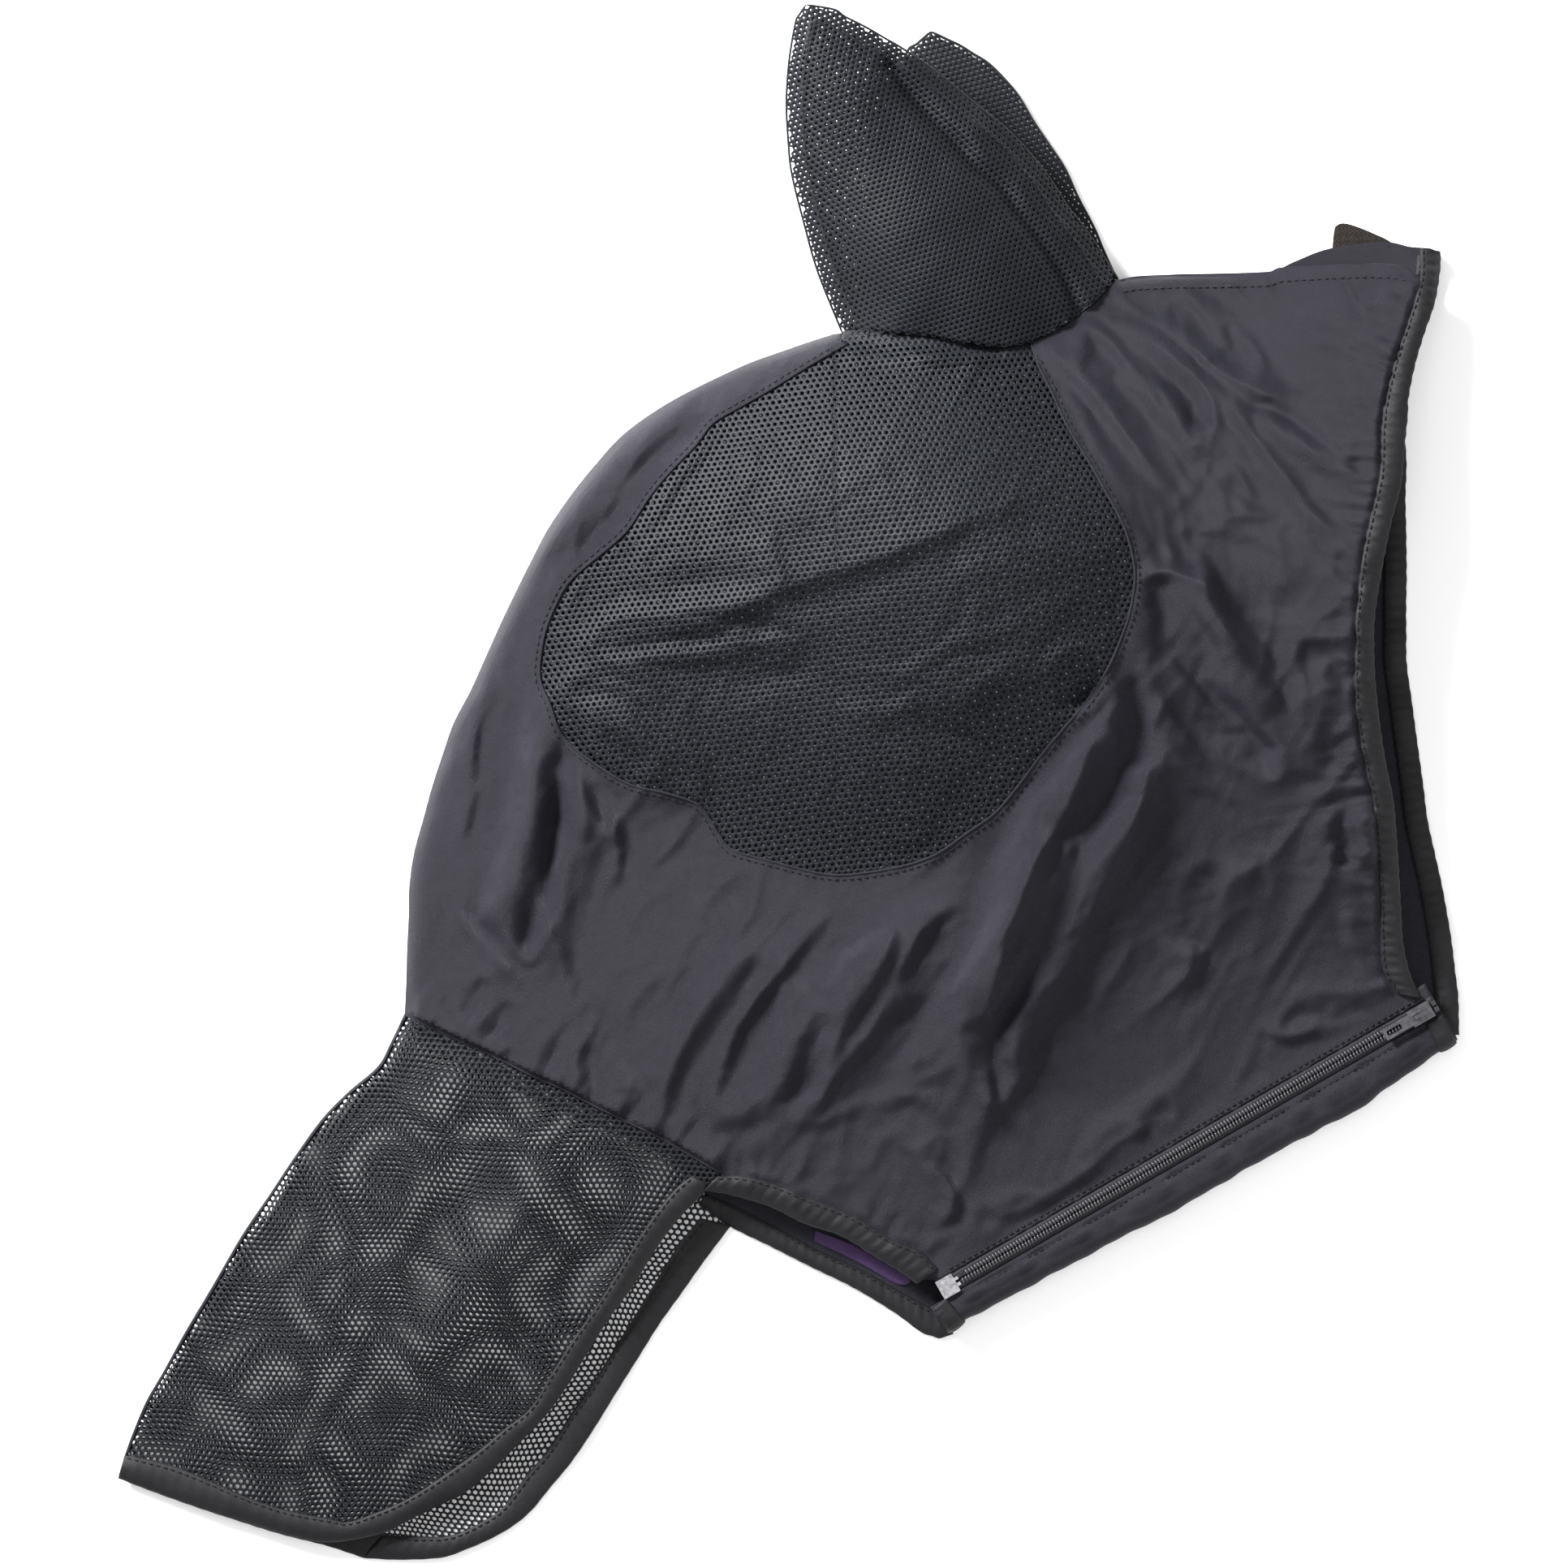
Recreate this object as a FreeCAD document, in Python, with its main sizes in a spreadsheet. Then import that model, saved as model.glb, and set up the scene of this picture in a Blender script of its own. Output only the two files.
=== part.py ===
import FreeCAD, Part
import math, os
import Sketcher
from FreeCAD import Vector, Placement, Rotation

# A horse's fly mask, lying flat on its right side.
# X runs towards the throat, Y towards the ears, Z up off the floor. All in mm.
# The right side lies flat on the floor; the left side is draped over it.
os.makedirs("parts", exist_ok=True)
doc = FreeCAD.newDocument("fly_mask")

# ---------------------------------------------------------------- sizes
SIZES = [
    # fabric layers; "tall" is the height of the prisms that trim them
    ("knit_thick", 1.0), ("net_thick", 0.7), ("binding_over", 0.9), ("binding_deep", 2.8),
    ("lap_drop", 1.05), ("tall", 300.0), ("flat_binding", 2.0), ("nose_fold_high", 2.9),
    ("poll_tab_layer", 0.9), ("label_thick", 0.4), ("strip_radius", 7.5),
    # zip tapes and coil
    ("tape_thick", 0.7), ("tape_inner", 0.35), ("tape_width", 12.0), ("tape_length", 292.0),
    ("tape_level", 13.2), ("tape_lead", 4.0),
    ("coil_level", 13.95), ("coil_thick", 2.4), ("coil_half", 2.9), ("coil_gap", 0.25),
    ("coil_pitch", 1.8), ("coil_tooth", 1.15), ("coil_rail", 0.8),
    # slider; "overlap" is how far its fused blocks run into each other
    ("slider_long", 12.5), ("slider_wide", 9.0), ("slider_plate", 1.1), ("slider_top", 16.75),
    ("slider_low", 11.6), ("slider_flange", 0.8), ("slider_at", 277.0),
    ("flange_inner", 3.7), ("flange_low", 14.2), ("overlap", 0.5),
    ("blade_thick", 0.3), ("blade_long", 5.0), ("blade_offset", 1.0),
    ("bridge_long", 8.0), ("bridge_wide", 2.2), ("bridge_high", 3.9), ("bridge_bar", 1.2),
    # pull tab
    ("tab_long", 22.0), ("tab_wide", 6.3), ("tab_thick", 1.2), ("tab_level", 18.3),
    ("tab_window", 8.5), ("tab_window_wide", 3.0),
    # retainer box, insertion pin and top stops
    ("box_long", 9.5), ("box_wide", 10.2), ("box_low", 12.2), ("box_high", 4.5), ("box_end", 1.0),
    ("channel_side", 0.4), ("channel_level", 13.85), ("channel_wide", 2.3), ("channel_high", 2.0),
    ("slot_level", 13.1), ("slot_high", 0.9), ("cut_past", 1.0),
    ("prong_long", 1.9), ("prong_wide", 1.8), ("prong_high", 1.7), ("prong_side", 2.6),
    ("pin_long", 9.1), ("pin_wide", 1.6), ("pin_high", 1.7),
    ("pin_back", 8.0), ("pin_side", 0.65), ("pin_level", 14.0),
    ("stop_long", 2.4), ("stop_wide", 2.6), ("stop_high", 2.9),
    ("stop_at", 284.3), ("stop_side", 0.4),
]
sheet = doc.addObject("Spreadsheet::Sheet", "Sizes")
for row, (alias, value) in enumerate(SIZES, 1):
    sheet.set("A%d" % row, alias)
    sheet.set("B%d" % row, str(value))
    sheet.setAlias("B%d" % row, alias)
doc.recompute()
size = dict(SIZES)

PIECES = []  # the finished pieces, exported under their Labels

# ---------------------------------------------------------------- drape helpers
PLATE_UNIT = 100.0  # length unit in which the height function is solved
PLATE_SLACK = 0.002  # lets the surface pass slightly off each point


def thin_plate(points):
    """Smooth height function through scattered (x, y, height) points."""
    count = len(points)
    size_all = count + 3
    places = [(x / PLATE_UNIT, y / PLATE_UNIT) for x, y, z in points]

    def kernel(square):
        return 0.0 if square < 1e-12 else 0.5 * square * math.log(square)

    # one row per point, three for the tilted plane, and the heights in the last column
    matrix = [[0.0] * (size_all + 1) for _ in range(size_all)]
    for i, (xi, yi) in enumerate(places):
        for j, (xj, yj) in enumerate(places):
            matrix[i][j] = kernel((xi - xj) ** 2 + (yi - yj) ** 2)
        matrix[i][i] += PLATE_SLACK
        for j, term in enumerate((1.0, xi, yi)):
            matrix[i][count + j] = term
            matrix[count + j][i] = term
        matrix[i][size_all] = points[i][2]

    # Gaussian elimination with row pivoting, then back substitution
    for k in range(size_all):
        pivot = max(range(k, size_all), key=lambda i: abs(matrix[i][k]))
        matrix[k], matrix[pivot] = matrix[pivot], matrix[k]
        upper = matrix[k]
        for i in range(k + 1, size_all):
            lower = matrix[i]
            factor = lower[k] / upper[k]
            if factor:
                for j in range(k, size_all + 1):
                    lower[j] -= factor * upper[j]
    weights = [0.0] * size_all
    for k in range(size_all - 1, -1, -1):
        known = sum(matrix[k][j] * weights[j] for j in range(k + 1, size_all))
        weights[k] = (matrix[k][size_all] - known) / matrix[k][k]

    def height(x, y):
        x, y = x / PLATE_UNIT, y / PLATE_UNIT
        total = weights[count] + weights[count + 1] * x + weights[count + 2] * y
        for i, (xi, yi) in enumerate(places):
            total += weights[i] * kernel((x - xi) ** 2 + (y - yi) ** 2)
        return total
    return height


def inward(x, y, line):
    """Distance to a line, zero where the point is not to the left of its direction."""
    nearest, depth = math.inf, 0.0
    last = len(line) - 2
    for k, ((ax, ay), (bx, by)) in enumerate(zip(line, line[1:])):
        dx, dy = bx - ax, by - ay
        length = math.hypot(dx, dy)
        along = ((x - ax) * dx + (y - ay) * dy) / (length * length)
        held = max(0.0, min(1.0, along))
        gap = math.hypot(x - ax - held * dx, y - ay - held * dy)
        if gap < nearest - 1e-9:
            nearest = gap
            side = (dx * (y - ay) - dy * (x - ax)) / length
            if (k == 0 and along < 0) or (k == last and along > 1):
                depth = max(0.0, side)  # the end segments are carried on straight
            else:
                depth = gap if side > 0 else 0.0
    return depth


def rolled(z, edge, depth, reach, power):
    """Height brought down to edge at the fold, rising to z over about reach."""
    return edge + (z - edge) * (1 - math.exp(-(depth / reach) ** power))


def surface(height, x0, y0, x1, y1, step):
    """B-spline face z = height(x, y) over a rectangle."""
    nx, ny = int((x1 - x0) / step) + 1, int((y1 - y0) / step) + 1
    rows = []
    for i in range(nx):
        x = x0 + (x1 - x0) * i / (nx - 1)
        ys = [y0 + (y1 - y0) * j / (ny - 1) for j in range(ny)]
        rows.append([Vector(x, y, height(x, y)) for y in ys])
    spline = Part.BSplineSurface()
    spline.interpolate(rows)
    return spline.toShape()


# ---------------------------------------------------------------- solid helpers
def extrude(name, base, direction, alias):
    """Solid extrusion of base, as long as the size called alias."""
    solid = doc.addObject("Part::Extrusion", name)
    solid.Base = base
    solid.DirMode = "Custom"
    solid.Dir = direction
    solid.Solid = True
    solid.LengthFwd = size[alias]
    solid.setExpression("LengthFwd", "Sizes." + alias)
    return solid


def slab(name, face, lift, alias):
    """Layer hanging below the face once the face is raised by lift."""
    top = doc.addObject("Part::Feature", name + "_face")
    top.Shape = face.translated(Vector(0, 0, lift))
    return extrude(name, top, Vector(0, 0, -1), alias)


BELOW_ALL = -50.0  # level from which trimming prisms start


def prism(name, outline, level=BELOW_ALL, alias="tall"):
    """Upright solid over a closed outline.

    Runs of three or more points are smooth curves. Two-point runs, and the gaps
    between the end of one run and the start of the next, are straight.
    """
    sketch = doc.addObject("Sketcher::SketchObject", name + "_outline")
    sketch.Placement = Placement(Vector(0, 0, level), Rotation())
    geometry = []
    for k, run in enumerate(outline):
        points = [Vector(x, y, 0) for x, y in run]
        if len(points) == 2:
            geometry.append(Part.LineSegment(*points))
        else:
            curve = Part.BSplineCurve()
            curve.interpolate(points)
            geometry.append(curve)
        following = Vector(*outline[(k + 1) % len(outline)][0], 0)
        if (following - points[-1]).Length > 0.05:
            geometry.append(Part.LineSegment(points[-1], following))
    sketch.addGeometry(geometry, False)
    return extrude(name, sketch, Vector(0, 0, 1), alias)


def common(name, *shapes):
    solid = doc.addObject("Part::MultiCommon", name)
    solid.Shapes = list(shapes)
    return solid


def fuse(name, *shapes):
    solid = doc.addObject("Part::MultiFuse", name)
    solid.Shapes = list(shapes)
    solid.Refine = True
    return solid


def cut(name, base, tool):
    solid = doc.addObject("Part::Cut", name)
    solid.Base, solid.Tool = base, tool
    return solid


def piece(solid):
    """Keep a finished piece for export."""
    PIECES.append(solid)
    return solid


def chain(points):
    """Straight segments through a list of (x, y) points."""
    return [Part.LineSegment(Vector(*a, 0), Vector(*b, 0)) for a, b in zip(points, points[1:])]


def arc(x, y, radius, first, last):
    """Arc about (x, y); the two angles are in quarter turns."""
    circle = Part.Circle(Vector(x, y, 0), Vector(0, 0, 1), radius)
    return Part.ArcOfCircle(circle, first * math.pi / 2, last * math.pi / 2)


# ---------------------------------------------------------------- shared edges, (x, y)
# brow, from the ear base down to the nose seam
BROW = [
    (29.2, 235.4), (22.1, 234.1), (-1.5, 226.2), (-24.1, 217.8), (-58.2, 201.0), (-83.0, 184.2),
    (-98.9, 167.4), (-112.3, 150.6), (-123.7, 133.8), (-132.5, 117.0), (-140.9, 100.2),
    (-148.9, 83.4), (-156.4, 66.6), (-164.0, 49.8), (-172.8, 33.0), (-178.7, 16.2),
    (-184.2, -0.6), (-188.8, -17.4), (-193.4, -34.2), (-195.9, -51.0), (-196.3, -67.8),
    (-197.2, -84.6), (-197.6, -101.4), (-198.4, -118.6)]
# ear base, from the poll to the brow
EAR_BASE = [
    (172.4, 262.7), (165.3, 255.6), (158.5, 248.8), (151.8, 243.4), (142.6, 236.7),
    (132.1, 231.2), (121.2, 226.6), (113.2, 225.3), (99.8, 226.2), (91.8, 227.4),
    (75.8, 230.8), (51.4, 232.9), (29.2, 235.4)]
# eye opening, all but its upper edge
EYE_EDGE = [
    (31.7, 227.8), (13.7, 217.8), (-9.0, 203.9), (-27.1, 193.8), (-38.9, 186.7), (-45.6, 176.6),
    (-59.0, 162.8), (-70.3, 149.3), (-82.1, 131.2), (-95.5, 119.5), (-111.5, 106.0),
    (-118.2, 94.7), (-124.1, 80.8), (-127.0, 64.9), (-127.0, 53.5), (-121.6, 42.2),
    (-117.4, 28.8), (-109.4, 19.5), (-93.5, 8.2), (-79.6, 0.2), (-63.6, -3.1), (-45.6, -9.0),
    (-40.9, -14.5), (-34.2, -25.8), (-28.3, -33.0), (-9.0, -38.4), (13.7, -44.3),
    (27.5, -46.0), (43.5, -44.3), (61.5, -40.9), (77.5, -35.1), (93.5, -23.7), (106.9, -14.5),
    (118.2, -1.1), (130.0, 14.9), (141.3, 28.8), (152.7, 42.2), (160.7, 53.5), (168.6, 69.5),
    (175.3, 87.6), (178.3, 106.0), (177.4, 115.3), (173.2, 131.2), (164.0, 149.3),
    (152.7, 169.9), (143.4, 185.8), (136.7, 201.8), (130.0, 215.2), (125.8, 226.6)]
# eye mesh, about 6 outside the opening, all but its upper edge
MESH_EDGE = [
    (10.6, 222.9), (-12.1, 209.1), (-30.1, 199.0), (-42.9, 191.1), (-50.2, 180.5),
    (-63.5, 166.8), (-75.2, 152.9), (-86.7, 135.1), (-99.5, 124.1), (-115.9, 110.1),
    (-123.6, 97.4), (-129.9, 82.6), (-133.0, 65.5), (-132.9, 52.1), (-127.2, 40.0),
    (-122.7, 25.9), (-113.3, 15.0), (-96.7, 3.1), (-81.7, -5.4), (-65.2, -8.9), (-48.3, -14.4),
    (-45.9, -17.9), (-39.2, -29.2), (-31.0, -38.3), (-10.6, -44.2), (12.4, -50.2),
    (27.5, -52.0), (44.4, -50.3), (63.1, -46.7), (80.3, -40.4), (96.9, -28.7), (110.9, -18.9),
    (123.0, -4.8), (134.7, 11.2), (145.9, 24.9), (157.4, 38.5), (165.8, 50.5), (174.1, 67.1),
    (181.2, 86.0), (184.3, 105.6), (183.3, 116.5), (178.8, 133.5), (169.3, 152.1),
    (157.9, 172.8), (148.8, 188.5), (142.2, 204.3), (135.5, 217.7)]

# ---------------------------------------------------------------- zip pieces
# Drawn with x along the coil towards the throat and +y on the left tape's side.
ZIP_PLACE = Placement(Vector(88.83, -256.41, 0), Rotation(Vector(0, 0, 1), 29.95))
COIL_START, COIL_END = 1.2, 284.0
COIL_CLEAR_END = 0.4  # bare rail kept beyond the last tooth
TOOTH_CORNER_X, TOOTH_CORNER_Y = 0.25, 0.3  # cut off each corner of a tooth's tip


def block(name, at, lengths):
    """Box whose corner and edge lengths are expressions of the size sheet."""
    box = doc.addObject("Part::Box", name)
    for prop, expression in zip(("Length", "Width", "Height"), lengths):
        box.setExpression(prop, expression)
    for prop, expression in zip("xyz", at):
        box.setExpression("Placement.Base." + prop, expression)
    return box


def compound(name, *links):
    group = doc.addObject("Part::Compound", name)
    group.Links = list(links)
    return group


def pad_body(name, geometry, level_alias, thick_alias):
    """Body with one pad, standing on its XY plane raised to a level."""
    body = doc.addObject("PartDesign::Body", name)
    sketch = doc.addObject("Sketcher::SketchObject", name + "_outline")
    body.addObject(sketch)
    for feature in body.Origin.OriginFeatures:
        if feature.Role == "XY_Plane":
            sketch.AttachmentSupport = (feature, [""])
    sketch.MapMode = "FlatFace"
    sketch.setExpression("AttachmentOffset.Base.z", "Sizes." + level_alias)
    sketch.addGeometry(geometry, False)
    pad = doc.addObject("PartDesign::Pad", name + "_pad")
    body.addObject(pad)
    pad.Profile = sketch
    pad.setExpression("Length", "Sizes." + thick_alias)
    body.Tip = pad
    return body


def rounded(x0, y0, x1, y1, radius):
    """Closed rectangle with rounded corners."""
    left, right, low, high = x0 + radius, x1 - radius, y0 + radius, y1 - radius
    return (chain([(left, y0), (right, y0)]) + [arc(right, low, radius, -1, 0)]
            + chain([(x1, low), (x1, high)]) + [arc(right, high, radius, 0, 1)]
            + chain([(right, y1), (left, y1)]) + [arc(left, high, radius, 1, 2)]
            + chain([(x0, high), (x0, low)]) + [arc(left, low, radius, 2, 3)])


def on_zip(solid):
    """Place a finished zip piece on the mask."""
    solid.Placement = ZIP_PLACE
    return piece(solid)


def tape(side, edge):
    """One tape; edge is the expression of its lowest y."""
    box = block("tape_" + side,
                ("-Sizes.tape_lead", edge, "Sizes.tape_level"),
                ("Sizes.tape_length", "Sizes.tape_width", "Sizes.tape_thick"))
    return on_zip(compound("zip_tape_" + side, box))


def coil(side, sign, first_tooth):
    """One half of the coil: a rail with teeth towards the middle of the zip."""
    outer = size["coil_half"]
    rail = outer - size["coil_rail"]
    tip = size["coil_gap"]
    shoulder = tip + TOOTH_CORNER_Y
    points = [(COIL_START, outer), (COIL_START, rail)]
    x = first_tooth
    while x + size["coil_tooth"] < COIL_END - COIL_CLEAR_END:
        end = x + size["coil_tooth"]
        points += [(x, rail), (x, shoulder), (x + TOOTH_CORNER_X, tip),
                   (end - TOOTH_CORNER_X, tip), (end, shoulder), (end, rail)]
        x += size["coil_pitch"]
    points += [(COIL_END, rail), (COIL_END, outer)]
    points.append(points[0])
    outline = chain([(x, sign * y) for x, y in points])
    on_zip(pad_body("zip_coil_" + side, outline, "coil_level", "coil_thick"))


def slider():
    """Two plates joined by a thin divider, flanges round the coil, a bridge on top."""
    back = "Sizes.slider_at - Sizes.slider_long / 2"
    plate = ("Sizes.slider_long", "Sizes.slider_wide", "Sizes.slider_plate")
    flange = ("Sizes.slider_long", "Sizes.slider_flange",
              "Sizes.slider_top - Sizes.flange_low + Sizes.overlap")
    bridge_back = "Sizes.slider_at - Sizes.bridge_long / 2"
    bridge_side = "-Sizes.bridge_wide / 2"
    foot_level = "Sizes.slider_top + Sizes.overlap"
    foot = ("Sizes.bridge_bar", "Sizes.bridge_wide", "Sizes.bridge_high")
    on_zip(fuse(
        "zip_slider_body",
        block("slider_top_plate", (back, "-Sizes.slider_wide / 2", "Sizes.slider_top"), plate),
        block("slider_low_plate", (back, "-Sizes.slider_wide / 2", "Sizes.slider_low"), plate),
        block("slider_flange_a", (back, "Sizes.flange_inner", "Sizes.flange_low"), flange),
        block("slider_flange_b",
              (back, "-Sizes.flange_inner - Sizes.slider_flange", "Sizes.flange_low"), flange),
        block("slider_divider",
              ("Sizes.slider_at + Sizes.blade_offset", "-Sizes.blade_thick / 2",
               "Sizes.slider_low + Sizes.overlap"),
              ("Sizes.blade_long", "Sizes.blade_thick", "Sizes.slider_top - Sizes.slider_low")),
        block("bridge_foot_a", (bridge_back, bridge_side, foot_level), foot),
        block("bridge_foot_b",
              ("Sizes.slider_at + Sizes.bridge_long / 2 - Sizes.bridge_bar",
               bridge_side, foot_level), foot),
        block("bridge_top",
              (bridge_back, bridge_side,
               foot_level + " + Sizes.bridge_high - Sizes.bridge_bar"),
              ("Sizes.bridge_long", "Sizes.bridge_wide", "Sizes.bridge_bar"))))


def pull_tab():
    """Plate with a window at its free end and a hinge bar under the bridge."""
    hinge = size["slider_at"]
    bar_half = 0.65
    half_wide = size["tab_wide"] / 2
    free_end = hinge - size["tab_long"]
    window_start = free_end + 1.6
    window_half = size["tab_window_wide"] / 2
    hinge_hole_long, hinge_hole_half = 6.2, 1.6
    plate = rounded(free_end, -half_wide, hinge + bar_half, half_wide, 0.6)
    window = rounded(window_start, -window_half,
                     window_start + size["tab_window"], window_half, 1.2)
    hinge_hole = rounded(hinge - hinge_hole_long, -hinge_hole_half,
                         hinge - bar_half, hinge_hole_half, 0.5)
    on_zip(pad_body("zip_pull_tab", plate + window + hinge_hole, "tab_level", "tab_thick"))


def retainer_box():
    """Box at the start of the zip, with a channel for the pin and a slot for the tapes."""
    outer = block("box_outer",
                  ("-Sizes.box_long - Sizes.box_end", "-Sizes.box_wide / 2", "Sizes.box_low"),
                  ("Sizes.box_long", "Sizes.box_wide", "Sizes.box_high"))
    channel = block("box_channel",
                    ("-Sizes.box_long", "Sizes.channel_side", "Sizes.channel_level"),
                    ("Sizes.box_long + Sizes.cut_past", "Sizes.channel_wide",
                     "Sizes.channel_high"))
    slot = block("box_tape_slot",
                 ("-Sizes.box_long", "-Sizes.box_wide", "Sizes.slot_level"),
                 ("Sizes.box_long + Sizes.cut_past", "Sizes.box_wide * 2", "Sizes.slot_high"))
    prong = block("box_prong",
                  ("-Sizes.box_end", "-Sizes.prong_side", "Sizes.coil_level"),
                  ("Sizes.prong_long", "Sizes.prong_wide", "Sizes.prong_high"))
    hollow = cut("box_cut", outer, fuse("box_channels", channel, slot))
    on_zip(fuse("zip_retainer_box", hollow, prong))


def pin_and_stops():
    pin = block("pin",
                ("-Sizes.pin_back", "Sizes.pin_side", "Sizes.pin_level"),
                ("Sizes.pin_long", "Sizes.pin_wide", "Sizes.pin_high"))
    on_zip(compound("zip_insertion_pin", pin))
    stop = ("Sizes.stop_long", "Sizes.stop_wide", "Sizes.stop_high")
    stops = [block("stop_" + side, ("Sizes.stop_at", edge, "Sizes.coil_level"), stop)
             for side, edge in (("left", "Sizes.stop_side"),
                                ("right", "-Sizes.stop_side - Sizes.stop_wide"))]
    on_zip(compound("zip_top_stops", *stops))


left_tape = tape("left", "Sizes.tape_inner")
tape("right", "-Sizes.tape_inner - Sizes.tape_width")
coil("left", 1, first_tooth=6.3)
coil("right", -1, first_tooth=2.6)
slider()
pull_tab()
retainer_box()
pin_and_stops()

# ---------------------------------------------------------------- drape of the left side
# x, y, height of the knit's upper face
LEFT_HEIGHTS = [
    (38.4, 227.0, 34), (76.2, 228.3, 42), (125.8, 225.3, 40), (172.4, 258.9, 18),
    (13.7, 217.8, 33), (-16.2, 200.1, 30), (-45.6, 176.6, 32), (-70.8, 148.5, 36),
    (-95.5, 119.5, 36), (-117.0, 96.0, 32), (-126.2, 66.6, 30), (-121.2, 41.4, 31),
    (-109.4, 19.5, 31), (-79.6, 0.2, 35), (-45.6, -9.0, 36), (-28.3, -33.0, 34),
    (27.5, -46.0, 36), (77.5, -35.1, 40), (106.9, -14.5, 45), (130.0, 14.9, 50),
    (152.7, 42.2, 56), (168.6, 69.5, 60), (177.4, 106.0, 62), (164.0, 149.3, 60),
    (143.4, 185.8, 50), (-7.8, 171.6, 52), (46.8, 188.4, 62), (97.2, 188.4, 64),
    (-28.8, 121.2, 58), (34.2, 133.8, 78), (97.2, 138.0, 84), (139.2, 121.2, 78),
    (-70.8, 79.2, 46), (-7.8, 81.3, 58), (63.6, 87.6, 80), (122.4, 83.4, 80),
    (-79.2, 37.2, 44), (-28.8, 37.2, 50), (30.0, 45.6, 62), (88.8, 37.2, 68),
    (-28.8, 3.6, 42), (30.0, -4.8, 48), (76.2, -4.8, 52), (202.2, 230.4, 22),
    (202.2, 171.6, 40), (189.6, 112.8, 56), (244.2, 230.4, 18), (248.4, 171.6, 34),
    (248.4, 112.8, 44), (202.2, 49.8, 50), (256.8, 49.8, 42), (181.2, 7.8, 46),
    (231.6, -4.8, 40), (156.0, -34.2, 42), (202.2, -55.2, 34), (265.2, -46.8, 30),
    (118.2, -76.2, 36), (168.6, -101.4, 28), (231.6, -105.6, 22), (273.6, -101.4, 19),
    (63.6, -88.8, 35), (13.2, -97.2, 34), (-37.2, -97.2, 32), (-87.6, -80.4, 28),
    (-129.6, -55.2, 23), (-154.8, -13.2, 21), (-138.0, 28.8, 24), (-171.6, -76.2, 16),
    (-146.4, -109.8, 17), (-96.0, -130.8, 21), (-45.6, -151.8, 25), (4.8, -151.8, 27),
    (55.2, -151.8, 27), (105.6, -151.8, 25), (63.6, -198.0, 21), (114.0, -193.8, 20),
    (-3.6, -189.6, 22), (156.0, -172.8, 19), (198.0, -147.6, 19), (282.0, 270.7, 10),
    (307.2, 271.1, 13), (326.1, 264.8, 16), (334.5, 272.4, 8), (328.6, 247.2, 22),
    (315.6, 205.2, 30), (309.3, 154.8, 36), (303.0, 112.8, 38), (298.8, 70.8, 38),
    (303.0, 28.8, 35), (309.3, -13.2, 30), (312.3, -55.2, 24), (317.7, -88.8, 18),
    (326.1, -107.7, 15.3), (273.6, 238.8, 20), (265.2, 205.2, 28), (-174.9, -129.6, 11),
    (-153.5, -139.2, 14.5), (-132.1, -149.7, 16.5), (-114.9, -157.3, 17.5),
    (-80.8, -174.5, 18.5), (-48.5, -191.7, 18.8), (-33.4, -200.5, 18.8),
    (-16.2, -203.1, 18.6), (9.0, -219.0, 17.6), (35.1, -227.4, 16.8), (59.4, -242.1, 15.8),
    (76.2, -251.8, 15)]
# folds where the left side rolls down to the right one, fabric to their left
POLL_FOLD = [
    (282.0, 267.8), (250.5, 267.3), (223.2, 266.5), (202.2, 266.1), (181.2, 264.8),
    (172.4, 262.7), (170.7, 306.0)]
BROW_FOLD = [(28.3, 280.8)] + BROW
FOLD_LEVEL = 4.2
LEFT_FLOOR = 4.5  # lowest height before the folds are rolled down
ZIP_EDGE_X, ZIP_EDGE_Y = 88.8, -256.4  # start of the sewn edge beside the zip
ZIP_EDGE_COS, ZIP_EDGE_SIN = 0.8660, 0.5  # its direction
ZIP_EDGE_LEVEL = 15.0
EAR_EASE_X, EAR_EASE_Y, EAR_EASE_RADIUS = 42.0, 230.0, 34.0  # area smoothed below the ear
EASE_RINGS = (3.5, 7.0)
EASE_ANGLES = (0, 1.047, 2.094, 3.142, 4.189, 5.236)  # sixths of a turn

left_free = thin_plate(LEFT_HEIGHTS)


def left_plain(x, y):
    """Height of the drape with its folds and the level edge beside the zip."""
    z = max(left_free(x, y), LEFT_FLOOR)
    z = rolled(z, FOLD_LEVEL, inward(x, y, POLL_FOLD), reach=14.5, power=3)
    z = rolled(z, FOLD_LEVEL, inward(x, y, BROW_FOLD), reach=14.0, power=3)
    dx, dy = x - ZIP_EDGE_X, y - ZIP_EDGE_Y
    along = dx * ZIP_EDGE_COS + dy * ZIP_EDGE_SIN
    across = -dx * ZIP_EDGE_SIN + dy * ZIP_EDGE_COS
    if along > -12 and across < 30:
        # blend from the level edge, 9 wide, back to the drape over the next 18
        blend = max(0.0, min(1.0, (across - 9.0) / 18.0))
        blend = blend * blend * (3 - 2 * blend)
        blend = max(blend, 0.0 if along > 0 else min(1.0, -along / 12.0))
        z = ZIP_EDGE_LEVEL + (z - ZIP_EDGE_LEVEL) * blend
    return z


def left_height(x, y):
    """The drape, eased where the brow fold runs out under the ear."""
    z = left_plain(x, y)
    near = 1 - math.hypot(x - EAR_EASE_X, y - EAR_EASE_Y) / EAR_EASE_RADIUS
    if near > 0:
        ring = [left_plain(x + radius * math.cos(angle), y + radius * math.sin(angle))
                for radius in EASE_RINGS for angle in EASE_ANGLES]
        z += ((sum(ring) + z) / (len(ring) + 1) - z) * min(1.0, near * 2.2)
    return z


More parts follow.
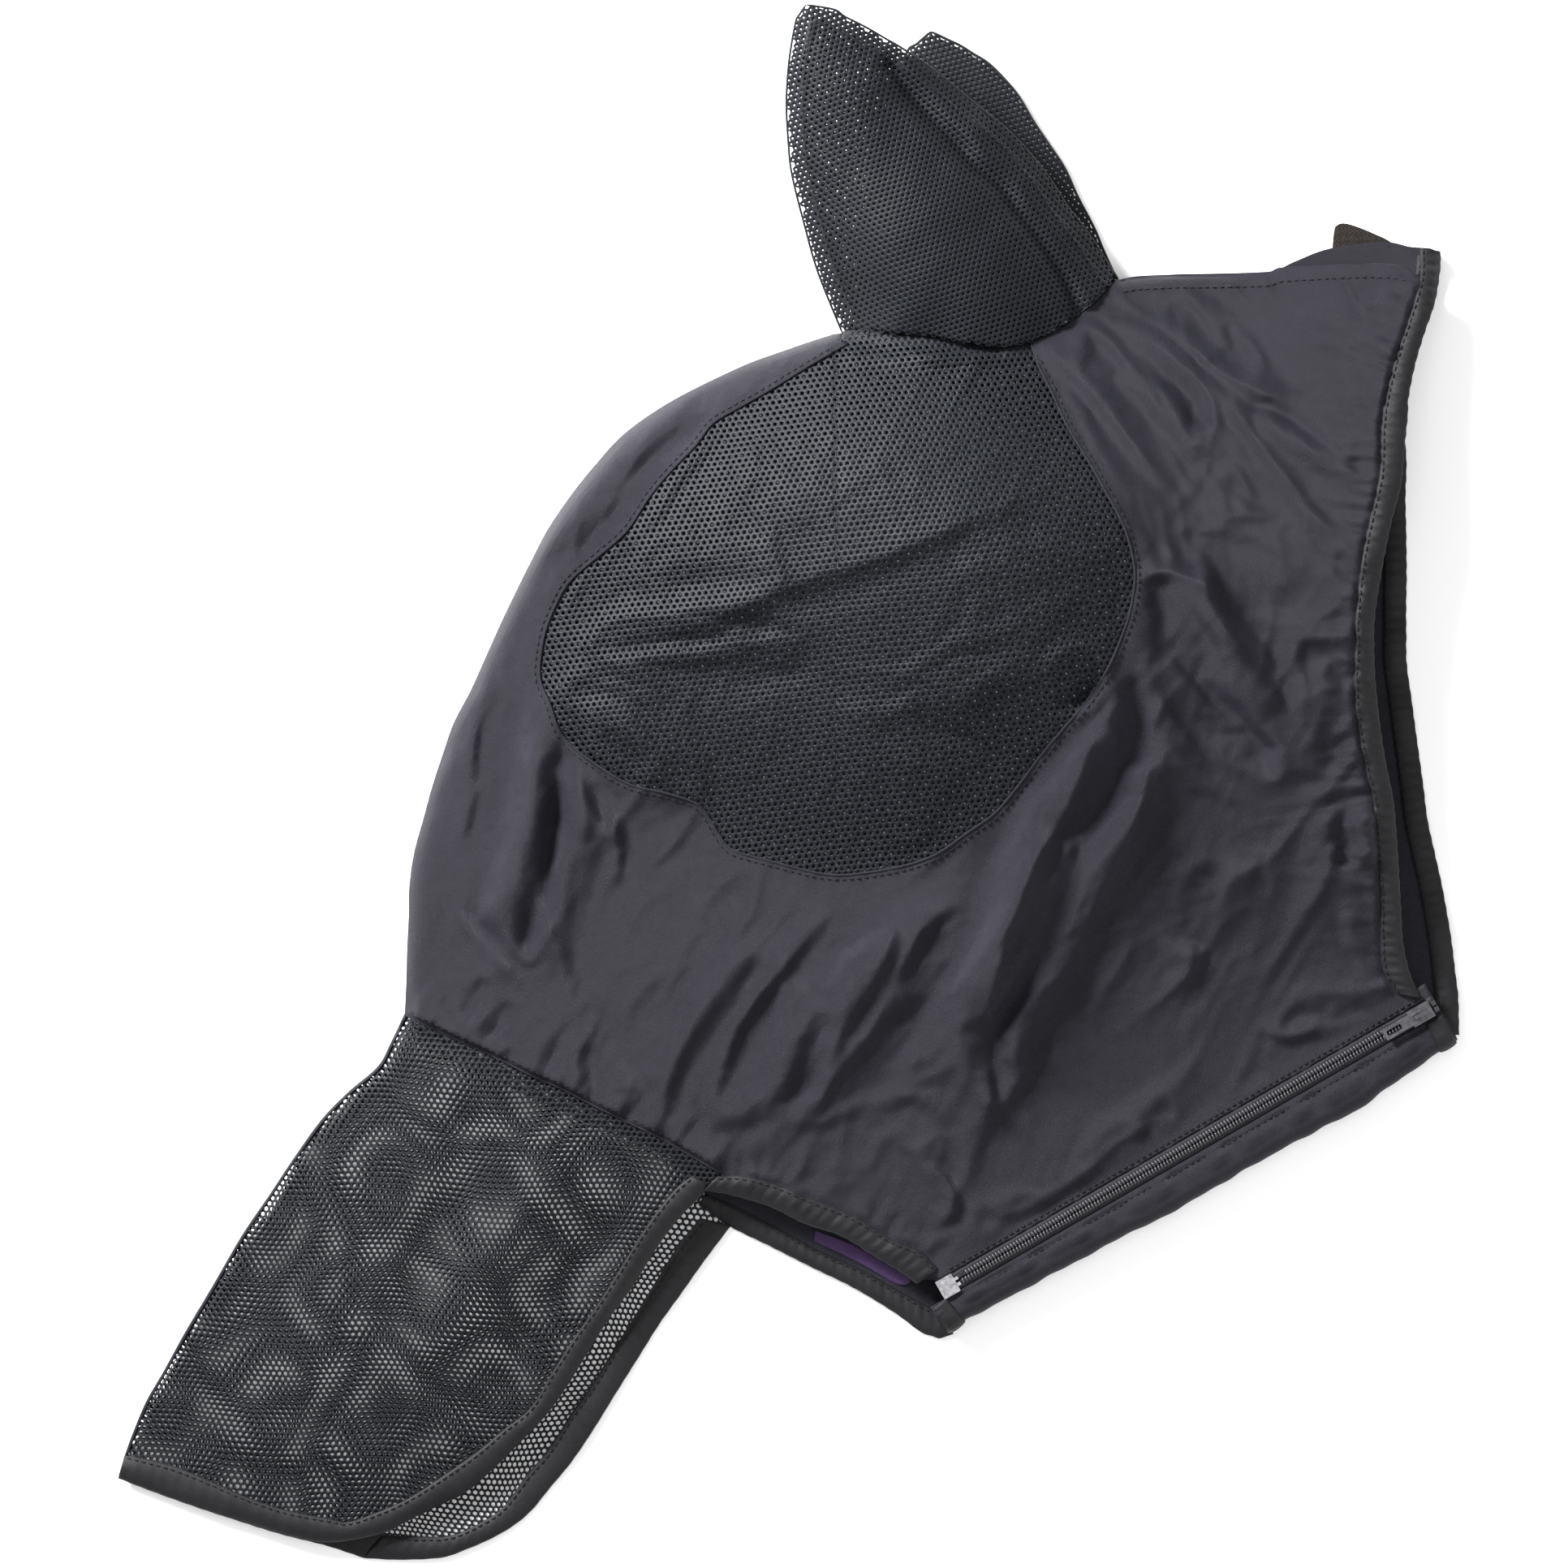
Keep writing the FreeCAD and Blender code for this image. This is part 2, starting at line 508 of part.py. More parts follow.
# ---------------------------------------------------------------- left side pieces
LEFT_SHEET = [
    BROW,
    [(-198.4, -118.6), (-174.9, -129.6), (-153.5, -139.2), (-132.1, -149.7), (-114.9, -157.3),
     (-102.3, -164.0), (-80.8, -174.5), (-63.6, -182.9), (-48.5, -191.7), (-33.4, -200.5)],
    [(-28.8, -209.2), (-7.2, -215.9), (10.0, -224.4), (29.4, -231.1), (46.8, -241.7),
     (61.5, -250.5), (64.5, -253.5)],
    [(83.8, -253.3), (325.3, -113.8)],
    [(325.3, -113.8), (321.3, -98.6), (317.1, -81.5), (315.4, -59.5), (313.7, -36.0),
     (311.2, -8.8), (307.0, 11.3), (303.6, 31.5), (301.1, 53.4), (300.3, 70.8), (300.7, 88.1),
     (304.1, 110.5), (307.0, 125.3), (310.0, 138.7), (314.6, 156.3), (316.6, 176.8),
     (318.3, 191.4), (318.8, 200.4), (322.6, 218.1), (327.6, 234.6), (333.5, 250.5),
     (337.2, 268.0), (334.9, 273.2)],
    [(334.9, 273.2), (331.6, 267.3), (326.1, 264.8)],
    [(326.1, 264.8), (319.8, 269.4), (307.2, 271.1), (282.0, 270.7), (256.8, 269.4),
     (250.5, 267.3), (223.2, 266.5), (202.2, 266.1), (181.2, 264.8), (172.4, 262.7)],
    EAR_BASE]
LEFT_EYE_OPENING = [EYE_EDGE + [(125.8, 236.7), (76.2, 240.9), (31.7, 238.8), (31.7, 227.8)]]
LEFT_EYE_MESH = [
    [(28.8, 233.1)] + MESH_EDGE
    + [(131.4, 228.7), (125.8, 236.7), (76.2, 240.9), (25.8, 238.8), (28.8, 233.1)]]
THROAT_LEFT = [
    [(316.9, -108.1), (309.3, -96.4), (307.6, -81.3), (306.8, -56.1), (305.1, -30.4),
     (302.6, -8.6), (297.6, 11.5), (293.8, 31.7), (292.1, 53.5), (292.9, 74.1), (292.5, 80.8),
     (293.8, 95.5), (295.5, 111.9), (298.4, 127.9), (302.2, 144.3), (305.6, 160.2),
     (306.4, 173.7), (307.2, 189.6), (311.0, 207.7), (316.1, 225.3), (322.8, 244.2),
     (328.6, 263.6), (329.9, 279.5)],
    [(339.6, 278.2), (338.7, 267.8), (334.9, 250.1), (329.1, 234.1), (324.0, 217.8),
     (320.2, 200.1), (319.8, 191.3), (318.1, 176.6), (316.1, 156.0), (311.4, 138.4),
     (308.5, 124.9), (305.6, 110.2), (302.2, 88.0), (301.8, 70.8), (302.6, 53.5),
     (305.1, 31.7), (308.5, 11.5), (312.7, -8.6), (315.2, -35.9), (316.9, -59.4),
     (318.6, -81.3), (322.8, -98.1), (328.6, -109.8)]]
MUZZLE_LEFT = [
    [(-28.8, -200.5), (-20.8, -202.2), (-3.6, -206.8), (13.7, -214.0), (35.1, -222.8),
     (54.4, -234.6), (69.5, -240.9), (76.2, -249.3)],
    [(67.0, -257.2), (60.7, -251.8), (46.0, -243.0), (28.8, -232.5), (9.4, -225.8),
     (-7.8, -217.3), (-31.7, -212.3)]]
EAR_BAND_LEFT = [
    EAR_BASE,
    [(28.5, 229.6), (50.9, 227.0), (75.0, 225.0), (90.7, 221.7), (99.2, 220.3), (113.3, 219.5),
     (122.9, 221.0), (134.6, 225.9), (145.7, 231.7), (155.4, 238.7), (162.5, 244.5),
     (169.4, 251.4), (176.6, 258.6)]]
EAR_BAND_LIFT = 1.3


def build_left_side():
    face = surface(left_height, -204, -262, 346, 284, 7.2)
    knit = slab("knit_layer", face, 0.0, "knit_thick")
    net = slab("net_layer", face, -size["lap_drop"], "net_thick")
    binding = slab("binding_layer", face, size["binding_over"], "binding_deep")
    band = slab("ear_band_layer", face, EAR_BAND_LIFT, "knit_thick")

    sheet_prism = prism("left_sheet_prism", LEFT_SHEET)
    full_panel = common("left_panel_full", knit, sheet_prism)
    piece(cut("left_face_panel", full_panel, prism("eye_opening_prism", LEFT_EYE_OPENING)))
    piece(common("left_eye_mesh", net, sheet_prism, prism("eye_mesh_prism", LEFT_EYE_MESH)))

    # the bindings wrap the panel's edges, so the panel is taken out of them
    throat = common("throat_left_raw", binding, prism("throat_left_prism", THROAT_LEFT))
    throat = cut("throat_left_cut", throat, full_panel)
    piece(cut("throat_binding_left", throat, left_tape))
    muzzle = common("muzzle_left_raw", binding, prism("muzzle_left_prism", MUZZLE_LEFT))
    piece(cut("muzzle_binding_left", muzzle, full_panel))
    piece(common("left_ear_base_seam", band, prism("earbase_left_prism", EAR_BAND_LEFT)))


build_left_side()

# ---------------------------------------------------------------- right side, flat on the floor
RIGHT_PANEL = [
    BROW,
    [(-198.4, -118.6), (-174.9, -131.2), (-153.5, -141.8), (-132.1, -153.1), (-102.3, -168.6),
     (-80.8, -180.4), (-63.6, -190.5), (-48.5, -202.2), (-42.2, -212.3)],
    [(-38.9, -221.1), (-28.4, -227.0), (-7.1, -237.4), (14.3, -248.3), (35.8, -258.9),
     (57.3, -271.9), (70.3, -281.6), (75.8, -277.0)],
    [(80.9, -273.0), (341.3, -124.7)],
    [(347.3, -109.8), (346.5, -101.6), (344.4, -84.8), (341.9, -68.1), (338.9, -51.3),
     (335.2, -34.6), (331.4, -17.7), (329.2, -0.8), (327.2, 16.0), (324.6, 32.8),
     (322.5, 49.6), (320.4, 66.5), (320.4, 83.4), (320.4, 100.2), (320.4, 117.0),
     (320.4, 133.8), (320.0, 150.6), (320.4, 167.4), (319.6, 184.2), (320.0, 201.2),
     (323.8, 218.2), (328.9, 235.0), (334.8, 251.8), (337.7, 266.3), (338.5, 275.9)],
    [(340.0, 275.7), (336.6, 279.5), (329.1, 280.3), (324.0, 280.8), (315.6, 282.9),
     (307.2, 283.3), (282.0, 279.5), (265.2, 273.2), (250.5, 267.3), (223.2, 266.5),
     (202.2, 266.1), (181.2, 264.8), (172.4, 262.7)],
    EAR_BASE]
RIGHT_EYE_OPENING = [EYE_EDGE + [(120.3, 223.7), (76.2, 225.8), (38.4, 227.8), (31.7, 227.8)]]
RIGHT_EYE_MESH = [
    MESH_EDGE
    + [(123.3, 224.5), (113.2, 223.7), (99.8, 224.1), (91.8, 225.3), (75.8, 228.7),
       (51.4, 230.8), (30.0, 232.5), (10.6, 222.9)]]
THROAT_RIGHT = [
    [(348.0, -101.4), (345.9, -84.6), (343.3, -67.8), (340.4, -51.0), (336.6, -34.2),
     (332.8, -17.4), (330.8, -0.6), (328.6, 16.2), (326.1, 33.0), (324.0, 49.8),
     (321.9, 66.6), (321.9, 83.4), (321.9, 100.2), (321.9, 117.0), (321.9, 133.8),
     (321.5, 150.6), (321.9, 167.4), (321.1, 184.2), (321.5, 201.0), (325.3, 217.8),
     (330.3, 234.6), (336.2, 251.4), (339.1, 266.1), (340.0, 275.7)],
    [(328.7, 276.7), (327.9, 267.8), (325.3, 254.4), (319.5, 238.1), (314.3, 220.6),
     (310.3, 202.4), (309.8, 184.0), (310.6, 167.2), (310.2, 150.6), (310.6, 133.6),
     (310.6, 117.0), (310.6, 100.2), (310.6, 83.4), (310.6, 65.9), (312.8, 48.4),
     (314.9, 31.4), (317.4, 14.6), (319.5, -2.0), (321.7, -19.4), (325.6, -36.7),
     (329.3, -53.3), (332.2, -69.6), (334.6, -86.2), (336.7, -102.7)]]
MUZZLE_RIGHT = [
    [(-26.7, -218.6), (-3.6, -230.4), (17.8, -242.1), (39.3, -251.8), (56.5, -261.4),
     (75.8, -271.9)],
    [(75.8, -285.4), (69.5, -282.9), (56.5, -273.2), (35.1, -260.2), (13.7, -249.7),
     (-7.8, -238.8), (-29.2, -228.3)]]
EAR_BAND_RIGHT = [
    EAR_BASE[:-1] + [(34.2, 235.0)],
    [(34.2, 230.4), (51.0, 228.7), (75.2, 226.6), (91.0, 223.3), (99.3, 222.0), (113.3, 221.1),
     (122.4, 222.6), (133.9, 227.4), (144.8, 233.1), (154.4, 240.1), (161.4, 245.7),
     (168.2, 252.6), (175.4, 259.7)]]
LABEL = [
    [(14.9, -231.2), (35.1, -238.8), (54.4, -249.7), (64.9, -256.0), (58.6, -259.3),
     (37.2, -247.6), (14.5, -236.7), (14.9, -231.2)]]
STRIP_FOLD_THROAT = Vector(342.2, -126.2, 0)  # ends of the fold along the jaw
STRIP_FOLD_MUZZLE = Vector(81.8, -274.5, 0)
STRIP_LOWER_LEG, STRIP_UPPER_LEG = -4.0, -26.0  # where the legs end, across the fold
LAYER_GAP = 0.05  # clearance between layers lying on each other


def zip_strip():
    """Strip of the right panel, folded up and back along the jaw below the zip."""
    along = STRIP_FOLD_MUZZLE - STRIP_FOLD_THROAT
    length = along.Length
    along = along / length
    across = Vector(-along.y, along.x, 0)  # away from the mask
    radius, thick = size["strip_radius"], size["knit_thick"]
    high = 2 * radius
    profile = doc.addObject("Sketcher::SketchObject", "bend_profile")
    # sketch x runs across the fold, sketch y runs up
    profile.addGeometry(
        chain([(STRIP_LOWER_LEG, 0), (0, 0)])
        + [arc(0, radius, radius, -1, 1)]
        + chain([(0, high), (STRIP_UPPER_LEG, high), (STRIP_UPPER_LEG, high - thick),
                 (0, high - thick)])
        + [arc(0, radius, radius - thick, -1, 1)]
        + chain([(0, thick), (STRIP_LOWER_LEG, thick), (STRIP_LOWER_LEG, 0)]), False)
    profile.Placement = Placement(STRIP_FOLD_THROAT,
                                  Rotation(across, Vector(0, 0, 1), along, "XYZ"))
    bend = doc.addObject("Part::Extrusion", "bend_solid")
    bend.Base = profile
    bend.DirMode = "Custom"
    bend.Dir = along
    bend.Solid = True
    bend.LengthFwd = length

    # trim the upper leg where it meets the zip tape
    trim = doc.addObject("Part::Box", "strip_trim")
    trim.Length, trim.Width, trim.Height = 420, 60, 12
    turn = Rotation(Vector(0, 0, 1), 30)
    trim.Placement = Placement(ZIP_PLACE.Base + turn.multVec(Vector(-60, -5.2, 5)), turn)
    return cut("strip_below_zip", bend, trim)


def build_right_side():
    """Build the right side's pieces and return its face panel."""
    flat = prism("right_flat", RIGHT_PANEL, 0.0, "knit_thick")
    opening = prism("right_eye_prism", RIGHT_EYE_OPENING, -1.0)
    holed = cut("right_flat_cut", flat, opening)
    panel = piece(fuse("right_face_panel", holed, zip_strip()))

    on_knit = size["knit_thick"] + LAYER_GAP
    piece(prism("right_eye_mesh", RIGHT_EYE_MESH, on_knit, "net_thick"))
    piece(prism("inner_label", LABEL, on_knit, "label_thick"))
    on_net = size["knit_thick"] + size["net_thick"] + 2 * LAYER_GAP
    piece(prism("right_ear_base_seam", EAR_BAND_RIGHT, on_net, "label_thick"))
    for name, outline in (("throat_binding_right", THROAT_RIGHT),
                          ("muzzle_binding_right", MUZZLE_RIGHT)):
        piece(cut(name, prism(name + "_raw", outline, 0.0, "flat_binding"), flat))
    return panel


right_panel = build_right_side()

# ---------------------------------------------------------------- ears
EAR_LEFT = [
    [(10.3, 402.6), (6.9, 397.5), (4.8, 393.3), (1.5, 373.2), (0.2, 353.0), (1.1, 333.3),
     (3.1, 315.6), (9.9, 288.8), (16.6, 266.1), (29.6, 236.7)],
    [(29.6, 236.7), (51.4, 234.1), (75.8, 232.0), (91.8, 228.7), (99.8, 227.4), (113.2, 226.6),
     (121.2, 227.8), (132.1, 232.5), (142.6, 237.9), (151.8, 244.6), (158.5, 250.1),
     (165.3, 256.8), (171.6, 263.6)],
    [(171.6, 263.6), (168.2, 269.0), (161.5, 279.5), (153.5, 290.4), (145.1, 300.9),
     (137.1, 313.1), (125.4, 327.8), (113.2, 340.0), (98.5, 351.8), (85.0, 362.7),
     (72.9, 371.9), (59.4, 380.7), (51.4, 385.3), (40.9, 391.2), (30.0, 396.7),
     (25.0, 400.1), (10.3, 402.6)]]
EAR_RIGHT = [
    [(75.4, 392.5), (67.8, 385.8), (62.4, 380.7), (51.0, 348.0), (43.5, 310.2), (38.4, 272.4),
     (35.9, 240.4), (36.8, 236.7)],
    [(36.8, 236.7), (75.8, 232.9), (91.8, 229.5), (99.8, 228.3), (113.2, 227.4),
     (121.2, 228.7), (132.1, 233.3), (142.6, 238.8), (151.8, 245.5), (158.5, 250.9),
     (165.3, 257.7), (165.3, 258.9), (171.2, 264.0)],
    [(171.2, 264.0), (165.3, 278.2), (160.2, 290.4), (151.8, 306.4), (145.1, 321.1),
     (137.1, 333.3), (129.2, 345.0), (121.2, 358.5), (113.2, 368.1), (105.2, 376.1),
     (97.2, 381.1), (90.5, 385.3), (85.0, 387.9), (75.4, 392.5)]]
# x, y, height of the left ear: the rim of its upper layer, then inside each layer
EAR_LEFT_RIM = [
    (10.3, 402.6, 34.0), (4.8, 393.3, 33.0), (0.2, 353.0, 30.0), (3.1, 315.6, 26.0),
    (16.6, 266.1, 16.0), (161.5, 279.5, 14.0), (145.1, 300.9, 19.0), (125.4, 327.8, 23.0),
    (98.5, 351.8, 27.0), (72.9, 371.9, 30.0), (51.4, 385.3, 32.0), (30.0, 396.7, 34.0)]
EAR_LEFT_UPPER = [
    (21.6, 369.0, 39), (25.8, 322.8, 38), (38.4, 272.4, 38), (59.4, 331.2, 43),
    (72.0, 280.8, 50), (97.2, 255.6, 50), (88.8, 306.0, 45), (46.8, 360.6, 41),
    (64.9, 357.2, 34), (89.2, 330.3, 36), (111.9, 307.6, 35), (129.2, 283.7, 34),
    (143.8, 260.6, 30), (38.4, 385.8, 36), (97.2, 337.5, 34), (122.4, 312.3, 31),
    (143.4, 285.0, 27)]
EAR_LEFT_LOWER = [
    (21.6, 369.0, 27), (30.0, 314.4, 24), (46.8, 268.2, 24), (67.8, 322.8, 22),
    (84.6, 272.4, 26), (109.8, 293.4, 23), (130.8, 264.0, 21), (97.2, 335.4, 21)]
# x, y round the right ear's rim, all at one height, then x, y, height inside it
EAR_RIGHT_RIM = [
    (75.4, 392.5), (62.4, 380.7), (51.0, 348.0), (43.5, 310.2), (38.4, 272.4), (35.9, 240.4),
    (36.8, 236.7), (75.8, 232.9), (99.8, 228.3), (121.2, 228.7), (142.6, 238.8),
    (158.5, 250.9), (171.2, 264.0), (160.2, 290.4), (145.1, 321.1), (129.2, 345.0),
    (113.2, 368.1), (97.2, 381.1)]
EAR_RIGHT_UPPER = [
    (72.0, 364.8, 6), (72.0, 314.4, 9), (97.2, 331.2, 9), (63.6, 268.2, 9), (97.2, 272.4, 11),
    (130.8, 268.2, 8), (122.4, 310.2, 8), (139.2, 297.6, 6)]
EAR_RIM_DROP = 1.4  # lower layer's rim, and its least distance, below the upper layer
EAR_UPPER_LIFT, EAR_LOWER_LIFT = 1.6, 0.5  # above the drape at the ear base
EAR_RIGHT_RIM_LEVEL, EAR_RIGHT_FLOOR = 3.4, 3.2
EAR_RIGHT_BACK_LEVEL = 1.3
EAR_STEP = 7.0


def build_left_ear():
    base = [(x, y, left_height(x, y)) for x, y in reversed(EAR_BASE)]
    upper = thin_plate(EAR_LEFT_RIM + EAR_LEFT_UPPER
                       + [(x, y, z + EAR_UPPER_LIFT) for x, y, z in base])
    lower_free = thin_plate([(x, y, z - EAR_RIM_DROP) for x, y, z in EAR_LEFT_RIM]
                            + EAR_LEFT_LOWER
                            + [(x, y, z + EAR_LOWER_LIFT) for x, y, z in base])

    def lower(x, y):
        return min(lower_free(x, y), upper(x, y) - EAR_RIM_DROP)

    ear = prism("ear_left_prism", EAR_LEFT)
    for name, height in (("left_ear_front_mesh", upper), ("left_ear_back_mesh", lower)):
        face = surface(height, -8, 228, 184, 406, EAR_STEP)
        piece(common(name, slab(name + "_layer", face, 0, "net_thick"), ear))


def build_right_ear():
    free = thin_plate([(x, y, EAR_RIGHT_RIM_LEVEL) for x, y in EAR_RIGHT_RIM]
                      + EAR_RIGHT_UPPER)
    face = surface(lambda x, y: max(free(x, y), EAR_RIGHT_FLOOR), 20, 230, 184, 402, EAR_STEP)
    piece(common("right_ear_front_mesh",
                 slab("ear_right_top_layer", face, 0, "net_thick"),
                 prism("ear_right_prism", EAR_RIGHT)))
    piece(prism("right_ear_back_mesh", EAR_RIGHT, EAR_RIGHT_BACK_LEVEL, "net_thick"))


build_left_ear()
build_right_ear()

# ---------------------------------------------------------------- nose net
# seam to the left face panel
NOSE_SEAM = [
    (-199.3, -120.1), (-175.4, -130.6), (-154.0, -140.2), (-132.6, -150.7), (-115.3, -158.3),
    (-102.8, -165.0), (-81.3, -175.5), (-64.1, -183.9), (-49.1, -192.7), (-40.5, -198.4)]
# fold between the two sides of the net, from the seam downwards
NOSE_RIDGE = [
    (-205.6, -133.8), (-212.3, -145.9), (-228.3, -159.8), (-241.7, -173.7), (-255.6, -193.0),
    (-269.0, -213.2), (-282.9, -233.7), (-298.8, -261.0), (-312.3, -283.7), (-323.6, -304.3),
    (-332.8, -320.2), (-339.6, -336.2)]
NOSE_FOLD = [(-198.4, -118.6)] + NOSE_RIDGE + [(-343.8, -347.6)]
NOSE_RIDGE_UP = [(-345.0, -350.5)] + NOSE_RIDGE[::-1]
NOSE_NEAR = [
    NOSE_SEAM,
    [(-43.0, -204.8), (-47.1, -212.1), (-58.5, -223.9), (-69.9, -239.6), (-81.3, -258.1),
     (-93.0, -274.0), (-104.4, -292.2), (-115.7, -310.6), (-126.9, -326.0), (-140.3, -339.8),
     (-151.6, -351.1), (-167.4, -364.8), (-183.2, -372.7), (-197.0, -379.4), (-210.2, -386.0),
     (-237.1, -390.6), (-257.3, -387.2), (-273.2, -382.6), (-295.9, -375.9), (-323.1, -366.7),
     (-345.0, -356.8)],
    NOSE_RIDGE_UP + [(-199.3, -120.1)]]
NOSE_FAR = [
    [(-199.3, -120.8), (-174.9, -132.9), (-153.5, -143.4), (-132.1, -154.8), (-102.3, -170.3),
     (-80.8, -182.1), (-63.6, -192.2), (-48.5, -203.9), (-44.7, -214.0)],
    [(-33.8, -225.8), (-45.1, -246.7), (-56.5, -262.7), (-67.8, -278.7), (-79.2, -296.8),
     (-90.5, -314.8), (-101.9, -333.3), (-113.1, -350.0), (-124.4, -363.8), (-133.6, -375.1),
     (-142.6, -382.9), (-153.8, -389.5), (-167.1, -395.3), (-179.4, -399.4), (-201.0, -400.6),
     (-217.8, -398.8)],
    [(-217.8, -398.8), (-238.8, -391.2), (-264.0, -383.7), (-297.6, -373.6), (-322.8, -364.3),
     (-343.8, -355.9), (-345.0, -350.5)],
    NOSE_RIDGE_UP + [(-199.3, -120.8)]]
# narrow wall that joins the two sides along the fold
NOSE_FOLD_WALL = [
    [(-205.2, -134.0), (-212.0, -146.2), (-228.0, -160.1), (-241.4, -173.9), (-255.2, -193.2),
     (-268.7, -213.4), (-282.5, -234.0), (-298.5, -261.2), (-311.9, -283.9), (-323.2, -304.5),
     (-332.5, -320.4), (-339.2, -336.4)],
    [(-338.0, -336.8), (-331.3, -321.0), (-322.1, -305.1), (-310.8, -284.5), (-297.4, -261.9),
     (-281.4, -234.6), (-267.6, -214.1), (-254.2, -193.9), (-240.4, -174.7), (-227.1, -161.0),
     (-211.0, -147.1), (-204.1, -134.5)]]
NOSE_BAND = [
    NOSE_SEAM,
    [(-45.6, -207.3), (-69.2, -193.3), (-86.0, -185.1), (-107.6, -174.5), (-119.9, -167.9),
     (-137.1, -160.4), (-158.5, -149.9), (-179.8, -140.3), (-203.5, -129.2)]]
NOSE_BINDING_NEAR = [
    [(-343.8, -347.6), (-319.4, -353.4), (-298.8, -361.4), (-280.3, -369.4), (-260.2, -376.1),
     (-237.1, -380.7), (-228.3, -382.4), (-216.9, -379.1), (-196.3, -370.2), (-175.8, -356.8),
     (-159.8, -345.4), (-146.4, -334.1), (-132.5, -322.8), (-121.2, -304.3), (-109.8, -286.2),
     (-98.5, -270.3), (-87.1, -252.2), (-75.8, -233.7), (-66.6, -220.3), (-57.3, -208.9),
     (-49.4, -200.5)],
    [(-42.2, -206.0), (-46.0, -213.2), (-57.3, -224.9), (-68.7, -240.4), (-80.0, -258.9),
     (-91.8, -274.9), (-103.1, -292.9), (-114.5, -311.4), (-125.8, -327.0), (-139.2, -340.8),
     (-150.6, -352.2), (-166.5, -366.0), (-182.5, -374.0), (-196.3, -380.7), (-209.8, -387.4),
     (-237.1, -392.1), (-257.7, -388.7), (-273.6, -384.1), (-296.3, -377.4), (-323.6, -368.1),
     (-347.1, -359.3)]]
NOSE_BINDING_FAR = [
    [(-346.3, -358.5), (-322.8, -366.9), (-297.6, -375.7), (-264.0, -386.2), (-238.8, -393.8),
     (-219.0, -401.3)],
    [(-219.0, -401.3), (-201.0, -402.1), (-179.1, -400.9), (-166.5, -396.7), (-153.1, -390.8),
     (-141.8, -384.1), (-132.5, -376.1), (-123.3, -364.8), (-111.9, -350.9), (-100.6, -334.1),
     (-89.2, -315.6), (-77.9, -297.6), (-66.6, -279.5), (-55.2, -263.6), (-43.9, -247.6),
     (-33.0, -229.5)],
    [(-43.0, -226.6), (-55.2, -238.3), (-66.6, -256.4), (-77.9, -274.9), (-89.2, -292.9),
     (-100.6, -311.4), (-111.9, -327.0), (-123.3, -345.4), (-135.0, -358.9), (-146.4, -374.8),
     (-157.7, -382.8), (-173.7, -390.0), (-191.7, -390.8), (-209.8, -390.0)],
    [(-209.8, -390.0), (-237.1, -383.7), (-260.2, -376.9), (-280.3, -370.2), (-298.8, -362.2),
     (-319.4, -354.3), (-343.8, -350.5)]]
# x, y, height of the near side's upper face
NOSE_HEIGHTS = [
    (-196.8, -123.3, 7), (-174.9, -131.2, 10.8), (-153.5, -140.9, 14.2),
    (-132.1, -151.4, 16.2), (-114.9, -159.0, 17.2), (-80.8, -176.2, 18.2),
    (-49.8, -193.8, 18.6), (-41.4, -202.2, 18.8), (-226.2, -181.2, 10), (-188.4, -164.4, 14),
    (-154.8, -181.2, 17), (-112.8, -198.0, 19), (-79.2, -210.6, 18), (-268.2, -240.0, 9),
    (-226.2, -231.6, 14), (-180.0, -231.6, 18), (-138.0, -231.6, 19), (-96.0, -240.0, 16),
    (-297.6, -290.4, 8), (-255.6, -290.4, 13), (-209.4, -282.0, 17), (-163.2, -282.0, 18),
    (-121.2, -282.0, 14), (-318.6, -332.4, 6.5), (-280.8, -336.6, 10), (-238.8, -332.4, 13),
    (-196.8, -324.0, 14), (-154.8, -324.0, 12), (-343.8, -353.4, 4.5), (-381.6, -307.2, 4),
    (-381.6, -223.2, 4), (-310.2, -198.0, 4), (-310.2, -366.0, 6), (-272.4, -377.8, 7.5),
    (-237.1, -384.9, 8.5), (-205.2, -378.6, 8.5), (-171.6, -359.7, 9), (-138.0, -332.4, 10),
    (-108.6, -290.4, 11), (-79.2, -248.4, 13), (-54.0, -214.8, 16.5), (-42.2, -204.8, 18)]
NOSE_FLOOR = 4.0  # lowest height before the fold is rolled down
NOSE_FOLD_LEVEL = 3.2

nose_free = thin_plate(NOSE_HEIGHTS)


def nose_height(x, y):
    z = max(nose_free(x, y), NOSE_FLOOR)
    return rolled(z, NOSE_FOLD_LEVEL, inward(x, y, NOSE_FOLD), reach=11.0, power=2)


def build_nose():
    face = surface(nose_height, -352, -396, -30, -112, 8.0)
    near = common("nose_near", slab("nose_net_layer", face, 0, "net_thick"),
                  prism("nose_near_prism", NOSE_NEAR))
    far = prism("nose_far", NOSE_FAR, 0.0, "net_thick")
    wall = prism("nose_fold_wall", NOSE_FOLD_WALL, 0.0, "nose_fold_high")
    net = fuse("nose_mesh_raw", near, far, wall)
    piece(cut("nose_mesh", net, right_panel))

    near_raw = common("nose_bind_near_raw",
                      slab("nose_bind_layer", face, size["binding_over"], "binding_deep"),
                      prism("nbind_near_prism", NOSE_BINDING_NEAR))
    far_raw = prism("nbind_far_prism", NOSE_BINDING_FAR, 0.0, "flat_binding")
    binding = piece(fuse("nose_binding",
                         cut("nose_binding_near", near_raw, net),
                         cut("nose_binding_far", far_raw, net)))

    under_net = -size["net_thick"] - LAYER_GAP
    band = common("nose_band_raw", slab("nose_band_layer", face, under_net, "net_thick"),
                  prism("nose_band_prism", NOSE_BAND))
    piece(cut("nose_seam_band", band, binding))


build_nose()

